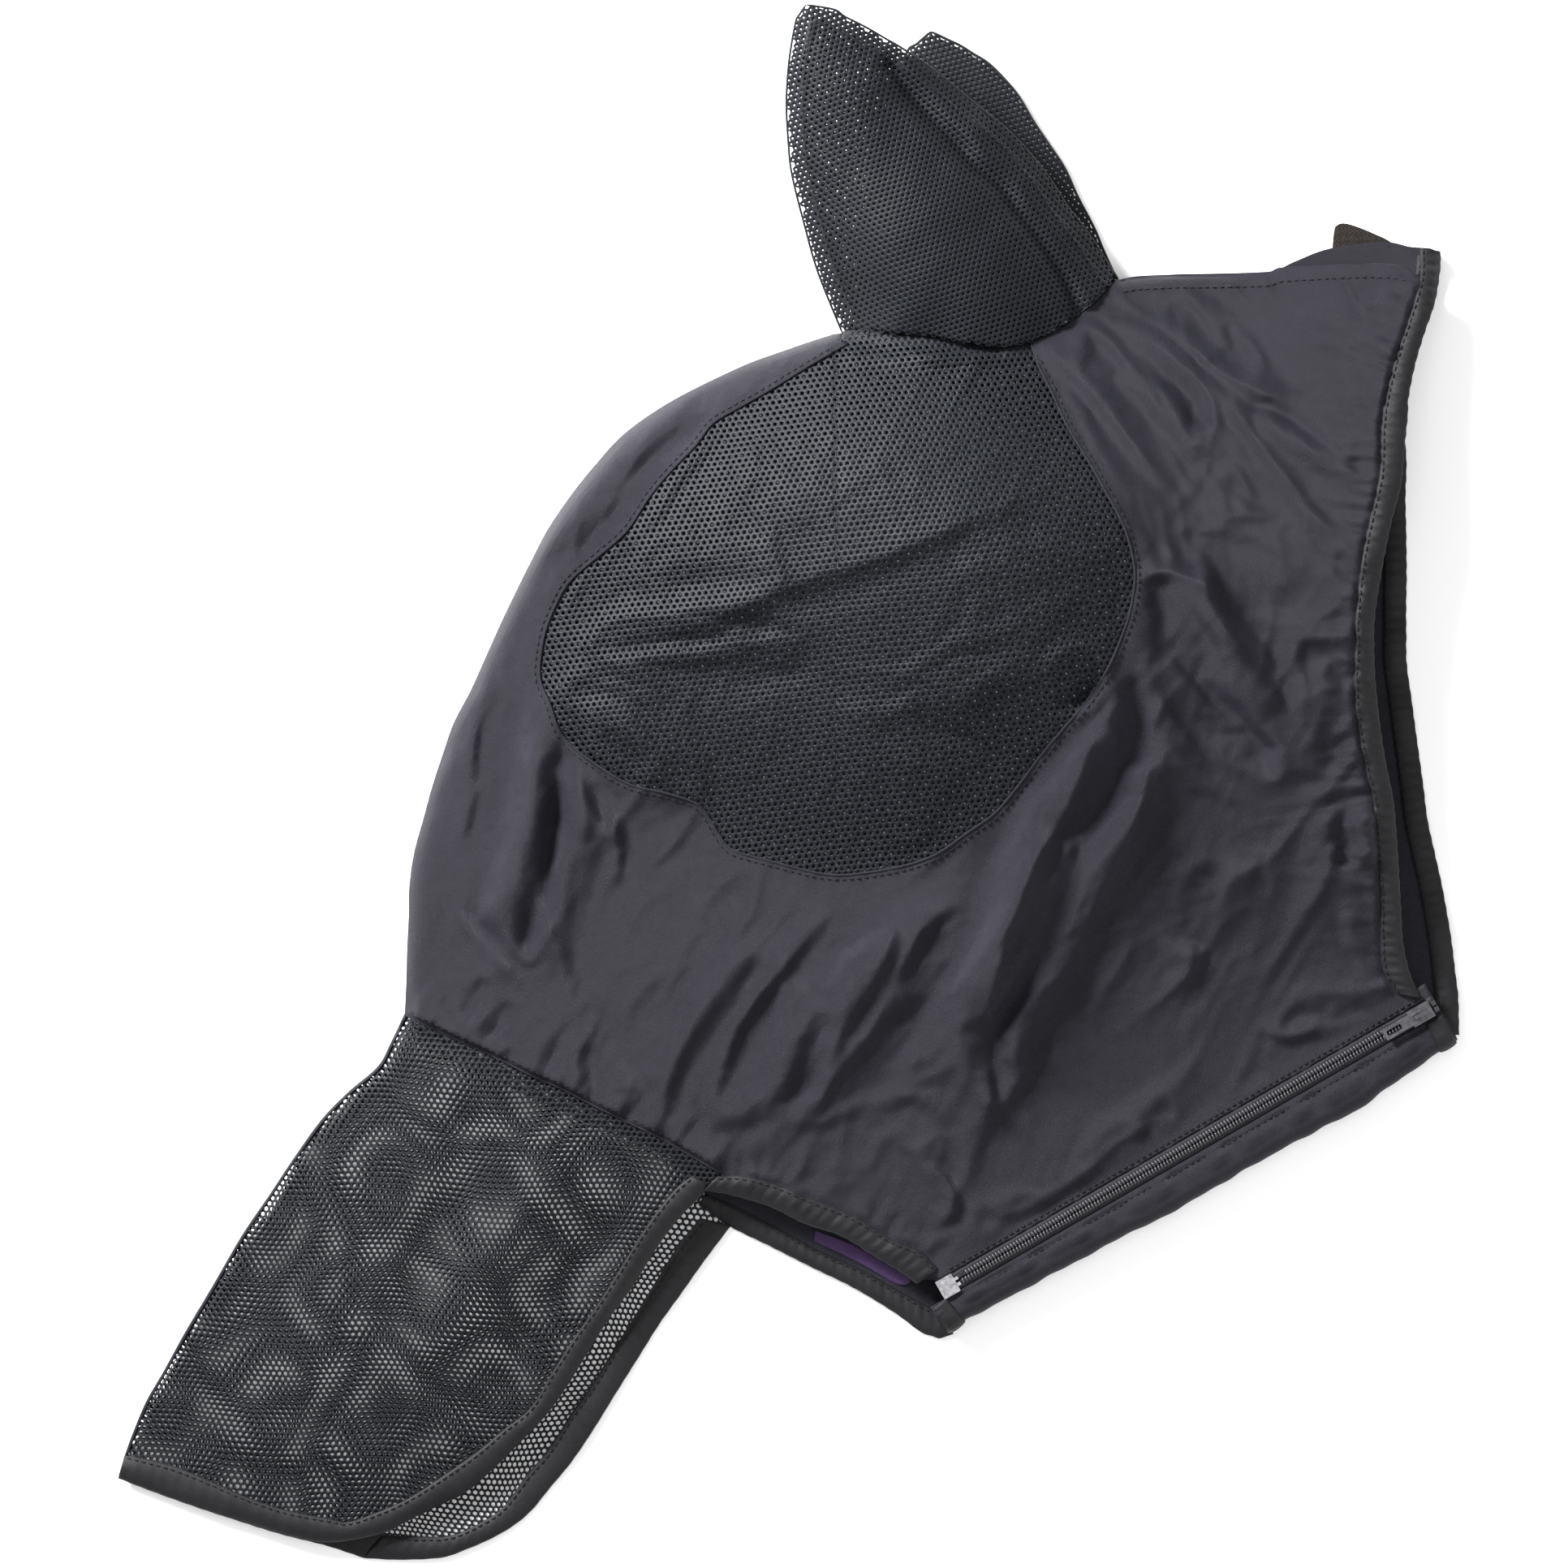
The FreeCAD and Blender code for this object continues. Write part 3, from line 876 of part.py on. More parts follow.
# ---------------------------------------------------------------- hook-and-loop tab at the poll
POLL_TAB = [
    [(284.6, 282.4), (285.4, 289.2), (287.1, 292.1), (290.4, 292.9), (296.7, 291.3),
     (305.1, 287.9), (313.1, 285.0)]]
for name, level in (("poll_tab_hook", 0.05), ("poll_tab_loop", 1.0)):
    piece(prism(name, POLL_TAB, level, "poll_tab_layer"))

# ---------------------------------------------------------------- checks and export
doc.recompute()
for item in doc.Objects:
    if "Invalid" in item.State or "Error" in item.State:
        raise RuntimeError("%s: %s" % (item.Label, item.State))
for item in PIECES:
    if item.Shape.isNull() or not item.Shape.isValid():
        raise RuntimeError("bad shape: " + item.Label)
    if len(item.Shape.Solids) != (2 if item.Label == "zip_top_stops" else 1):
        raise RuntimeError("solid count: %s %d" % (item.Label, len(item.Shape.Solids)))
for item in PIECES:
    item.Shape.exportStep("parts/%s.step" % item.Label)
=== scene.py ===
"""Zip-up fly mask for a horse, lying folded flat on the floor with its left half on top.

The floor is Z = 0 and the camera looks straight down. The ears point to +Y, the face edge
lies to -X, the throat edge to +X, and the nose flap runs off towards -X and -Y. The zip runs
along the lower right edge. "Near" parts belong to the upper (left) layer, "far" parts to the
lower (right) layer. All shapes are worked out in millimetres and scaled to metres on making.
"""
import math

import bpy
import numpy as np
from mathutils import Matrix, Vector, bvhtree
from mathutils.geometry import delaunay_2d_cdt


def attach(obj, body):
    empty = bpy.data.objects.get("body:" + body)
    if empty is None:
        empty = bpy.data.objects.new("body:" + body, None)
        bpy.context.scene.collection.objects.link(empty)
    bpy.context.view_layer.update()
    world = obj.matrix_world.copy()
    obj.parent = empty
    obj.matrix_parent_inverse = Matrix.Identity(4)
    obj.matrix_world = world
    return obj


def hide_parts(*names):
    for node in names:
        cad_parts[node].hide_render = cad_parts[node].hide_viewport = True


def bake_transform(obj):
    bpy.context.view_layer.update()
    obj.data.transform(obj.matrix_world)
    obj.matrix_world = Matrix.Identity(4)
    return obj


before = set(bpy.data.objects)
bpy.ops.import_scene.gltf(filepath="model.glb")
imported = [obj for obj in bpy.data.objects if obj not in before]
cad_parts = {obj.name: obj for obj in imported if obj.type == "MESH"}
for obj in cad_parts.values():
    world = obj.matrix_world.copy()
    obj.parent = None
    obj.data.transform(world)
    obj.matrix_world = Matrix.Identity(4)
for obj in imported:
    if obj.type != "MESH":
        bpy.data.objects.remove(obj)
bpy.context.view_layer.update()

MM = 0.001
RNG = np.random.RandomState(7)  # drawn on by every net, in order


# ------------------------------------------------------------------ lines and loops
def table(text):
    """Rows "x,y" or "x,y,z" in mm, as a list of tuples."""
    return [tuple(map(float, row.split(","))) for row in text.split()]


def arc_lengths(line):
    steps = np.linalg.norm(np.diff(line, axis=0), axis=1)
    return np.concatenate([[0], np.cumsum(steps)])


def points_at(line, lengths, where):
    """Points on a line at the given distances along it."""
    columns = [np.interp(where, lengths, line[:, k]) for k in range(line.shape[1])]
    return np.stack(columns, 1)


def even(line, step=None, count=None):
    """The line resampled at an even step, or to a count of points."""
    lengths = arc_lengths(line)
    count = count or max(2, int(round(lengths[-1] / step)) + 1)
    return points_at(line, lengths, np.linspace(0, lengths[-1], count))


def curve(control, step=2.0):
    """Smooth curve through the points, resampled evenly."""
    ctrl = np.array(control, float)
    if len(ctrl) == 2:
        count = max(1, int(round(np.linalg.norm(ctrl[1] - ctrl[0]) / step)))
        return ctrl[0] + (ctrl[1] - ctrl[0]) * np.linspace(0, 1, count + 1)[:, None]
    ext = np.vstack([2 * ctrl[0] - ctrl[1], ctrl, 2 * ctrl[-1] - ctrl[-2]])
    t = np.linspace(0, 1, 12, endpoint=False)[:, None]
    out = []
    for i in range(1, len(ext) - 2):
        p0, p1, p2, p3 = ext[i - 1:i + 3]
        out.append(0.5 * ((2 * p1) + (-p0 + p2) * t
                          + (2 * p0 - 5 * p1 + 4 * p2 - p3) * t ** 2
                          + (-p0 + 3 * p1 - 3 * p2 + p3) * t ** 3))
    return even(np.vstack(out + [ctrl[-1:]]), step)


def smoothed(line, rounds=2):
    line = line.copy()
    for _ in range(rounds):
        line[1:-1] = 0.25 * line[:-2] + 0.5 * line[1:-1] + 0.25 * line[2:]
    return line


def loop_of(*runs):
    """One closed loop from runs of points, without doubled points."""
    same = 0.35
    out = []
    for run in runs:
        for point in np.asarray(run, float):
            if not out or np.linalg.norm(out[-1] - point) > same:
                out.append(point)
    if np.linalg.norm(out[0] - out[-1]) < same:
        out.pop()
    return np.array(out)


def left_normals(line):
    """Unit vectors square to the line, on its left-hand side."""
    along = np.gradient(line, axis=0)
    along /= np.linalg.norm(along, axis=1, keepdims=True)
    return np.stack([-along[:, 1], along[:, 0]], 1)


def measure(pts, line, closed=False):
    """Distance to a line, signed side (left positive), place along it, its length."""
    line = np.asarray(line, float)
    if closed:
        line = np.vstack([line, line[:1]])
    best = np.full(len(pts), 1e18)
    side = np.zeros(len(pts))
    along = np.zeros(len(pts))
    steps = np.diff(line, axis=0)
    sizes = np.linalg.norm(steps, axis=1)
    starts = np.concatenate([[0], np.cumsum(sizes)])
    for k, (step, size) in enumerate(zip(steps, sizes)):
        if size < 1e-9:
            continue
        rel = pts - line[k]
        t = np.clip((rel @ step) / size ** 2, 0, 1)
        dist = np.linalg.norm(rel - t[:, None] * step, axis=1)
        won = dist < best - 1e-9
        best[won] = dist[won]
        side[won] = (step[0] * rel[won, 1] - step[1] * rel[won, 0]) / size
        along[won] = starts[k] + t[won] * size
    return best, side, along, starts[-1]


def dist_to(pts, line, closed=False):
    return measure(pts, line, closed)[0]


def inside(pts, loop):
    x, y = pts[:, 0], pts[:, 1]
    odd = np.zeros(len(pts), bool)
    for (x1, y1), (x2, y2) in zip(loop, np.roll(loop, -1, axis=0)):
        if y1 == y2:
            continue
        spans = (y1 > y) != (y2 > y)
        odd ^= spans & (x < (x2 - x1) * (y - y1) / (y2 - y1) + x1)
    return odd


def near_box(pts, line, reach):
    """Which points lie in the line's bounding box, grown by reach."""
    lo, hi = line.min(0) - reach, line.max(0) + reach
    x, y = pts[:, 0], pts[:, 1]
    return (x > lo[0]) & (x < hi[0]) & (y > lo[1]) & (y < hi[1])


def snap_inside(pts, loop):
    """Points beyond an outline are brought back onto it."""
    pts = pts.copy()
    out = np.nonzero(~inside(pts, loop))[0]
    if len(out) == 0:
        return pts
    stray = pts[out]
    ring = np.vstack([loop, loop[:1]])
    best = np.full(len(stray), 1e18)
    nearest = stray.copy()
    for start, end in zip(ring[:-1], ring[1:]):
        step = end - start
        size2 = float(step @ step)
        if size2 < 1e-9:
            continue
        t = np.clip(((stray - start) @ step) / size2, 0, 1)
        foot = start + t[:, None] * step
        dist2 = ((stray - foot) ** 2).sum(1)
        won = dist2 < best
        best[won] = dist2[won]
        nearest[won] = foot[won]
    pts[out] = nearest
    return pts


def inner_line(line, loop, dist):
    """The line moved by dist to the side that lies in the loop, trimmed to the loop."""
    normals = left_normals(line)
    moved = line + normals * dist
    middle = len(moved) // 2
    if not inside(moved[middle:middle + 1], loop)[0]:
        moved = line - normals * dist
    return moved[inside(moved, loop) & (dist_to(moved, loop, True) > dist * 0.9)]


def between(inner, outer, part):
    """A line part of the way from inner to outer."""
    return inner + (even(outer, count=len(inner)) - inner) * part


# ------------------------------------------------------------------ mesh builders
def make(name, verts, faces):
    """Smooth-shaded object from vertices in mm."""
    mesh = bpy.data.meshes.new(name)
    mesh.from_pydata((np.asarray(verts, float) * MM).tolist(), [],
                     [list(map(int, face)) for face in faces])
    mesh.validate()
    mesh.update()
    mesh.shade_smooth()
    ob = bpy.data.objects.new(name, mesh)
    bpy.context.scene.collection.objects.link(ob)
    return ob


def thicken(ob, thickness, offset=0.0):
    mod = ob.modifiers.new("thick", "SOLIDIFY")
    mod.thickness = thickness * MM
    mod.offset = offset
    return mod


def grid_faces(rows, cols, across_first=False):
    faces = []
    for i in range(rows - 1):
        for k in range(cols - 1):
            here, ahead = i * cols + k, (i + 1) * cols + k
            if across_first:
                faces.append((here, here + 1, ahead + 1, ahead))
            else:
                faces.append((here, ahead, ahead + 1, here + 1))
    return faces


def plane_mesh(loop, step, rows, holes=()):
    """Flat triangulated region; rows are distances of extra point rows from its rims."""
    loops = [loop, *holes]
    edges = []
    start = 0
    for ring in loops:
        count = len(ring)
        edges += [(start + i, start + (i + 1) % count) for i in range(count)]
        start += count

    def in_region(pts):
        ok = inside(pts, loop)
        for hole in holes:
            ok &= ~inside(pts, hole)
        return ok

    def rim_dist(pts):
        return np.min([dist_to(pts, ring, True) for ring in loops], axis=0)

    lo, hi = loop.min(0), loop.max(0)
    fill = []
    for j, y in enumerate(np.arange(lo[1], hi[1], step * 0.866)):
        xs = np.arange(lo[0] + (0.5 * step if j % 2 else 0), hi[0], step)
        fill.append(np.stack([xs, np.full(len(xs), y)], 1))
    fill = np.vstack(fill)
    fill = fill[in_region(fill)]
    fill = fill[rim_dist(fill) > (rows[-1] if rows else 0) + 0.6 * step]
    extra = []
    for ring in loops:
        along = np.roll(ring, -1, 0) - np.roll(ring, 1, 0)
        along /= np.maximum(np.linalg.norm(along, axis=1), 1e-9)[:, None]
        normals = np.stack([-along[:, 1], along[:, 0]], 1)
        for row in rows:
            for sign in (1, -1):
                moved = ring + normals * row * sign
                moved = moved[in_region(moved)]
                extra.append(moved[rim_dist(moved) > row * 0.93])
    pts = [Vector(p) for p in np.vstack(loops + extra + [fill])]
    verts, _, faces = delaunay_2d_cdt(pts, edges, [], 0, 1e-5)[:3]
    flat = np.array([(v.x, v.y) for v in verts])
    tris = np.array([face for face in faces if len(face) == 3])
    return flat, tris[in_region(flat[tris].mean(1))]


def face_up(flat, tris):
    """Turns the triangles so that they all face +Z."""
    a, b, c = flat[tris[:, 0]], flat[tris[:, 1]], flat[tris[:, 2]]
    up = ((b - a)[:, 0] * (c - a)[:, 1] - (b - a)[:, 1] * (c - a)[:, 0]) > 0
    tris[~up] = tris[~up][:, ::-1]
    return tris


def sheet(name, loop, height, step, rows, thick, offset=-1.0):
    """Solid fabric sheet within a loop, lying at height(points)."""
    flat, tris = plane_mesh(loop, step, rows)
    ob = make(name, np.column_stack([flat, height(flat)]), face_up(flat, tris))
    thicken(ob, thick, offset).use_quality_normals = True
    return ob


def net(name, loop, keep, height, pitch, hole, angle, thick=0.45, warp=0.35, snap=True):
    """Open net of staggered six-sided cells, each a ring round a hole.

    keep picks cells by centre; warp bends the rows; snap trims the net to the loop."""
    (x0, y0), (x1, y1) = loop.min(0), loop.max(0)
    cos_a, sin_a = math.cos(angle), math.sin(angle)

    def turned(x, y):
        return np.stack([(x0 + x1) / 2 + x * cos_a - y * sin_a,
                         (y0 + y1) / 2 + x * sin_a + y * cos_a], 1)

    radius = math.hypot(x1 - x0, y1 - y0) / 2 + pitch
    row_gap = pitch * 0.866
    cols, rows = int(radius / pitch) + 2, int(radius / row_gap) + 2
    col, row = np.meshgrid(np.arange(-cols, cols + 1), np.arange(-rows, rows + 1))
    col, row = col.ravel(), row.ravel()
    x = (col + 0.5 * (row % 2)) * pitch
    y = row * row_gap
    ok = keep(turned(x, y))
    x, y = x[ok], y[ok]
    count = len(x)

    # corners shared by neighbouring cells are merged, then jittered
    corner = np.pi / 6 + np.arange(6) * np.pi / 3
    reach = pitch / math.sqrt(3)
    outer_x = (x[:, None] + reach * np.cos(corner)).ravel()
    outer_y = (y[:, None] + reach * np.sin(corner)).ravel()
    key = np.round(np.stack([outer_x, outer_y], 1) / (pitch * 0.05)).astype(np.int64)
    unique, inverse = np.unique(key, axis=0, return_inverse=True)
    inverse = inverse.ravel()
    first = np.zeros(len(unique), int)
    first[inverse] = np.arange(len(inverse))
    outer = np.stack([outer_x[first], outer_y[first]], 1)
    outer = outer + RNG.normal(0, pitch * 0.018, (len(outer), 2))
    holes = hole * (1 + RNG.normal(0, 0.03, count))[:, None]
    inner_x = x[:, None] + holes * np.cos(corner)
    inner_y = y[:, None] + holes * np.sin(corner) * 1.06
    local = np.vstack([outer, np.stack([inner_x.ravel(), inner_y.ravel()], 1)])

    pts = turned(local[:, 0], local[:, 1])
    px, py = pts[:, 0], pts[:, 1]
    pts = pts + warp * np.stack([np.sin(py / 17.0 + 1.3) + 0.6 * np.sin(px / 9.0),
                                 np.sin(px / 19.0) + 0.6 * np.sin(py / 11.0 + 0.7)], 1)
    if snap:
        pts = snap_inside(pts, loop)
    out_i = inverse.reshape(count, 6)
    in_i = len(outer) + np.arange(count * 6).reshape(count, 6)
    quads = []
    for a in range(6):
        b = (a + 1) % 6
        quads.append(np.stack([out_i[:, a], out_i[:, b], in_i[:, b], in_i[:, a]], 1))
    ob = make(name, np.column_stack([pts, height(pts)]), np.vstack(quads))
    thicken(ob, thick)
    return ob


def ribbon(name, inner, outer, height, across, step, over, under, bulge, pucker, wave, seed):
    """Folded edge binding between a stitched line and an outer edge: a closed, gathered tube.

    across: points over its width; over, under: reach above and below height(points);
    bulge: extra rise in the middle; pucker, wave: depth and spacing of the gathers."""
    inner, outer = np.asarray(inner, float), np.asarray(outer, float)
    length = np.linalg.norm(np.diff(outer, axis=0), axis=1).sum()
    count = max(8, int(length / step))
    inner, outer = even(inner, count=count), even(outer, count=count)
    s = np.linspace(0, length, count)
    phase = np.random.RandomState(seed).uniform(0, 6.28, 6)
    freq = 2 * np.pi / wave
    gather = (np.sin(freq * s + phase[0] + 1.3 * np.sin(s / 23.0 + phase[1]))
              + 0.6 * np.sin(freq * 1.73 * s + phase[2])
              + 0.5 * np.sin(freq * 0.43 * s + phase[3])) * pucker
    waver = np.sin(freq * 0.8 * s + phase[4]) * 0.35 * pucker
    width = outer - inner
    width_size = np.linalg.norm(width, axis=1, keepdims=True)
    outer = outer + width / width_size * waver[:, None]
    top, bottom = [], []
    for k in range(across):
        v = k / (across - 1)
        line = inner + (outer - inner) * v
        arch = math.sin(math.pi * v) ** 0.7
        base = height(line)
        top.append((line, base + over * (0.35 + 0.65 * arch) + bulge * arch
                    + gather * (0.35 + 0.65 * arch) * (0.4 + 0.6 * (1 - abs(2 * v - 1)))))
        bottom.append((line, base - under * (0.55 + 0.45 * arch) + 0.3 * gather))
    unit = (outer - inner) / width_size
    outer_mid = (outer + unit * 0.9, (top[-1][1] + bottom[-1][1]) / 2)
    inner_mid = (inner - unit * 0.3, (top[0][1] + bottom[0][1]) / 2)
    ring = top + [outer_mid] + bottom[::-1] + [inner_mid]
    size = len(ring)
    verts = np.zeros((count, size, 3))
    for k, (line, z) in enumerate(ring):
        verts[:, k, :2] = line
        verts[:, k, 2] = z
    verts[:, :, 2] = np.maximum(verts[:, :, 2], 0.02)
    faces = []
    for i in range(count - 1):
        for k in range(size):
            k2 = (k + 1) % size
            faces.append((i * size + k, i * size + k2, (i + 1) * size + k2, (i + 1) * size + k))
    faces.append(tuple(range(size - 1, -1, -1)))
    faces.append(tuple((count - 1) * size + k for k in range(size)))
    return make(name, verts.reshape(-1, 3), faces)


def tubes(name, runs, radius, sides=6):
    """Rods or thread runs in one mesh, each along a list of (x, y, z) points."""
    verts, faces = [], []
    for pts in runs:
        pts = np.asarray(pts, float)
        count = len(pts)
        along = np.gradient(pts, axis=0)
        along /= np.maximum(np.linalg.norm(along, axis=1, keepdims=True), 1e-9)
        side_a = np.cross(along, np.tile([0, 0, 1.0], (count, 1)))
        side_a[np.linalg.norm(side_a, axis=1) < 0.1] = [1, 0, 0]
        side_a /= np.linalg.norm(side_a, axis=1, keepdims=True)
        side_b = np.cross(side_a, along)
        base = len(verts)
        for i in range(count):
            # runs of more than two points are narrowed at their ends
            size = radius * 0.45 if count > 2 and i in (0, count - 1) else radius
            for k in range(sides):
                turn = 2 * math.pi * k / sides
                offset = math.cos(turn) * side_a[i] + math.sin(turn) * side_b[i]
                verts.append(pts[i] + size * offset)
        for i in range(count - 1):
            here, ahead = base + i * sides, base + (i + 1) * sides
            for k in range(sides):
                k2 = (k + 1) % sides
                faces.append((here + k, ahead + k, ahead + k2, here + k2))
        faces.append(tuple(base + k for k in range(sides)))
        faces.append(tuple(base + (count - 1) * sides + k for k in reversed(range(sides))))
    return make(name, verts, faces)


STITCH_LIFT = 0.35
STITCH_DIP = 0.25 * np.array([1.6, 0.3, 0, 0.3, 1.6])  # ends dive into the cloth


def stitches(line, height, length=2.6, gap=1.4):
    """Point runs for a row of thread stitches along a line on a surface."""
    line = even(np.asarray(line, float), 0.4)
    lengths = arc_lengths(line)
    out = []
    start = gap
    while start + length < lengths[-1]:
        pts = points_at(line, lengths, np.linspace(start, start + length, 5))
        out.append(np.column_stack([pts, height(pts) + STITCH_LIFT - STITCH_DIP]))
        start += length + gap
    return out


def on_surface(line, height, lift):
    return np.column_stack([line, height(line) + lift])


# ------------------------------------------------------------------ surfaces and noise
def plate(stations):
    """Thin-plate surface through (x, y, z) stations, as a function of points."""
    scale = 100.0
    where = np.array([(x, y) for x, y, z in stations], float) / scale
    z = np.array([station[2] for station in stations], float)
    count = len(where)
    dist2 = ((where[:, None] - where[None]) ** 2).sum(-1)
    kernel = np.where(dist2 < 1e-12, 0, 0.5 * dist2 * np.log(np.maximum(dist2, 1e-12)))
    system = np.zeros((count + 3, count + 3))
    system[:count, :count] = kernel + 0.002 * np.eye(count)
    system[:count, count] = 1
    system[:count, count + 1:] = where
    system[count, :count] = 1
    system[count + 1:, :count] = where.T
    weights = np.linalg.solve(system, np.concatenate([z, [0, 0, 0]]))

    def surface(pts):
        pts = pts / scale
        out = weights[count] + pts @ weights[count + 1:]
        for i in range(count):
            gap2 = ((pts - where[i]) ** 2).sum(1)
            out = out + weights[i] * 0.5 * gap2 * np.log(np.maximum(gap2, 1e-12))
        return out
    return surface


def ease(x):
    x = np.clip(x, 0, 1)
    return x * x * (3 - 2 * x)


def edge_round(dist, radius):
    """0 at the edge, 1 from the radius inwards, with a rounded shoulder."""
    u = np.clip(dist / radius, 0, 1)
    return np.sqrt(np.maximum(0, 1 - (1 - u) ** 2))


GRADIENTS = {}  # by seed


def pnoise(x, y, seed):
    """Smooth gradient noise on a plane, about -0.7 to 0.7."""
    if seed not in GRADIENTS:
        turn = np.random.RandomState(seed).uniform(0, 2 * np.pi, (128, 128))
        GRADIENTS[seed] = (np.cos(turn), np.sin(turn))
    grad_x, grad_y = GRADIENTS[seed]
    xi, yi = np.floor(x).astype(int), np.floor(y).astype(int)
    fx, fy = x - xi, y - yi
    u = fx ** 3 * (fx * (fx * 6 - 15) + 10)
    v = fy ** 3 * (fy * (fy * 6 - 15) + 10)

    def dot(ox, oy):
        a, b = (xi + ox) % 128, (yi + oy) % 128
        return grad_x[a, b] * (fx - ox) + grad_y[a, b] * (fy - oy)
    return (dot(0, 0) * (1 - u) + dot(1, 0) * u) * (1 - v) + (dot(0, 1) * (1 - u) + dot(1, 1) * u) * v


def fbm(pts, scale, seed, octaves=3):
    """Layered noise; the largest lumps are about scale mm across."""
    out = np.zeros(len(pts))
    amp = 1.0
    freq = 1.0 / scale
    for octave in range(octaves):
        out += amp * pnoise(pts[:, 0] * freq + 3.7 * octave, pts[:, 1] * freq + 1.9 * octave,
                            int(seed * 10) + octave)
        amp *= 0.5
        freq *= 2.1
    return out


def creases(pts, angle, wide, long, seed, sharp):
    """Narrow ridges running along one direction, in patches, 0 to 1."""
    cos_a, sin_a = math.cos(angle), math.sin(angle)
    x, y = pts[:, 0], pts[:, 1]
    wx = x + 7.0 * pnoise(x / 45.0, y / 45.0, seed + 50)
    wy = y + 7.0 * pnoise(x / 45.0 + 9.3, y / 45.0, seed + 51)
    u = (wx * cos_a + wy * sin_a) / long
    v = (-wx * sin_a + wy * cos_a) / wide
    ridge = np.clip(1 - np.abs(pnoise(u, v, seed)) * 2.6, 0, 1) ** sharp
    patch = np.clip(0.5 + 2.0 * pnoise(x / 60.0, y / 60.0, seed + 52), 0, 1)
    return ridge * patch


def grid(lo, hi, pitch):
    """Grid lines in x and y, and all grid points, x-major."""
    gx, gy = np.arange(lo[0], hi[0], pitch), np.arange(lo[1], hi[1], pitch)
    mesh_x, mesh_y = np.meshgrid(gx, gy, indexing="ij")
    return gx, gy, np.column_stack([mesh_x.ravel(), mesh_y.ravel()])


def grid_lookup(gx, gy, pitch, values):
    """Smooth (cubic) lookup in a table of heights."""
    def weights(t):
        return [((-t + 2) * t - 1) * t / 2, (((3 * t - 5) * t) * t + 2) / 2,
                ((-3 * t + 4) * t + 1) * t / 2, ((t - 1) * t) * t / 2]

    def look(pts):
        u = (pts[:, 0] - gx[0]) / pitch
        v = (pts[:, 1] - gy[0]) / pitch
        i = np.clip(np.floor(u).astype(int), 1, len(gx) - 3)
        j = np.clip(np.floor(v).astype(int), 1, len(gy) - 3)
        wu, wv = weights(np.clip(u - i, 0, 1)), weights(np.clip(v - j, 0, 1))
        out = np.zeros(len(pts))
        for k in range(4):
            for l in range(4):
                out += wu[k] * wv[l] * values[i + k - 1, j + l - 1]
        return out
    return look


def tabulate(surface, pitch, lo=(-215, -270), hi=(355, 300)):
    """A quick copy of a surface over the whole left panel."""
    gx, gy, pts = grid(lo, hi, pitch)
    return grid_lookup(gx, gy, pitch, surface(pts).reshape(len(gx), len(gy)))


# ------------------------------------------------------------------ outlines: x,y in mm
# Face edge, from the ear base down to the nose seam.
FACE = curve(table("""
    29.2,235.4 22.1,234.1 -1.5,226.2 -24.1,217.8 -58.2,201.0 -83.0,184.2 -98.9,167.4
    -112.3,150.6 -123.7,133.8 -132.5,117.0 -140.9,100.2 -148.9,83.4 -156.4,66.6 -164.0,49.8
    -172.8,33.0 -178.7,16.2 -184.2,-0.6 -188.8,-17.4 -193.4,-34.2 -195.9,-51.0 -196.3,-67.8
    -197.2,-84.6 -197.6,-101.4 -198.4,-118.6"""))
# Seam between face panel and nose net: near layer, then far layer.
SEAM = curve(table("""
    -198.4,-118.6 -174.9,-129.6 -153.5,-139.2 -132.1,-149.7 -114.9,-157.3 -102.3,-164.0
    -80.8,-174.5 -63.6,-182.9 -48.5,-191.7 -33.4,-200.5"""))
FAR_SEAM = curve(table("""
    -198.4,-118.6 -174.9,-131.3 -153.5,-141.8 -132.1,-153.1 -102.3,-168.6 -80.8,-180.4
    -63.6,-190.5 -48.5,-202.2 -42.2,-212.3"""))
# Muzzle bindings: stitched (inner) line and outer edge of each layer.
MUZZLE_NEAR_IN = curve(table("""
    -35.5,-202.2 -20.8,-202.2 -3.6,-206.8 13.7,-214.0 35.1,-222.8 54.4,-234.6 69.5,-240.9
    79.0,-250.5"""))
MUZZLE_NEAR_OUT = table("""
    -42.2,-208.9 -29.2,-211.0 -7.8,-217.3 9.4,-225.8 28.8,-232.5 46.0,-243.0 60.7,-251.8
    71.6,-260.2""")
MUZZLE_FAR_IN = curve(table("""
    -42.2,-211.9 -25.0,-219.4 -3.6,-230.4 17.8,-242.1 39.3,-251.8 56.5,-261.4 75.8,-271.9
    86.0,-276.5"""))
MUZZLE_FAR_OUT = table("""
    -45.1,-217.3 -29.2,-228.3 -7.8,-238.8 13.7,-249.7 35.1,-260.2 56.5,-273.2 69.5,-282.9
    75.8,-285.4""")
# Throat bindings, from the zip up to the poll.
THROAT_NEAR_IN = curve(table("""
    316.9,-108.1 309.3,-96.4 307.6,-81.3 306.8,-56.1 305.1,-30.4 302.6,-8.6 297.6,11.5
    293.8,31.7 292.1,53.5 292.9,74.1 292.5,80.8 293.8,95.5 295.5,111.9 298.4,127.9
    302.2,144.3 305.6,160.2 306.4,173.7 307.2,189.6 311.0,207.7 316.1,225.3 322.8,244.2
    328.6,263.6 329.9,279.5"""))
THROAT_NEAR_OUT = curve(table("""
    328.6,-109.8 322.8,-98.1 318.6,-81.3 316.9,-59.4 315.2,-35.9 312.7,-8.6 308.5,11.5
    305.1,31.7 302.6,53.5 301.8,70.8 302.2,88.0 305.6,110.2 308.5,124.9 311.4,138.4
    316.1,156.0 318.1,176.6 319.8,191.3 320.2,200.1 324.0,217.8 329.1,234.1 334.9,250.1
    338.7,267.8 339.6,278.2"""))
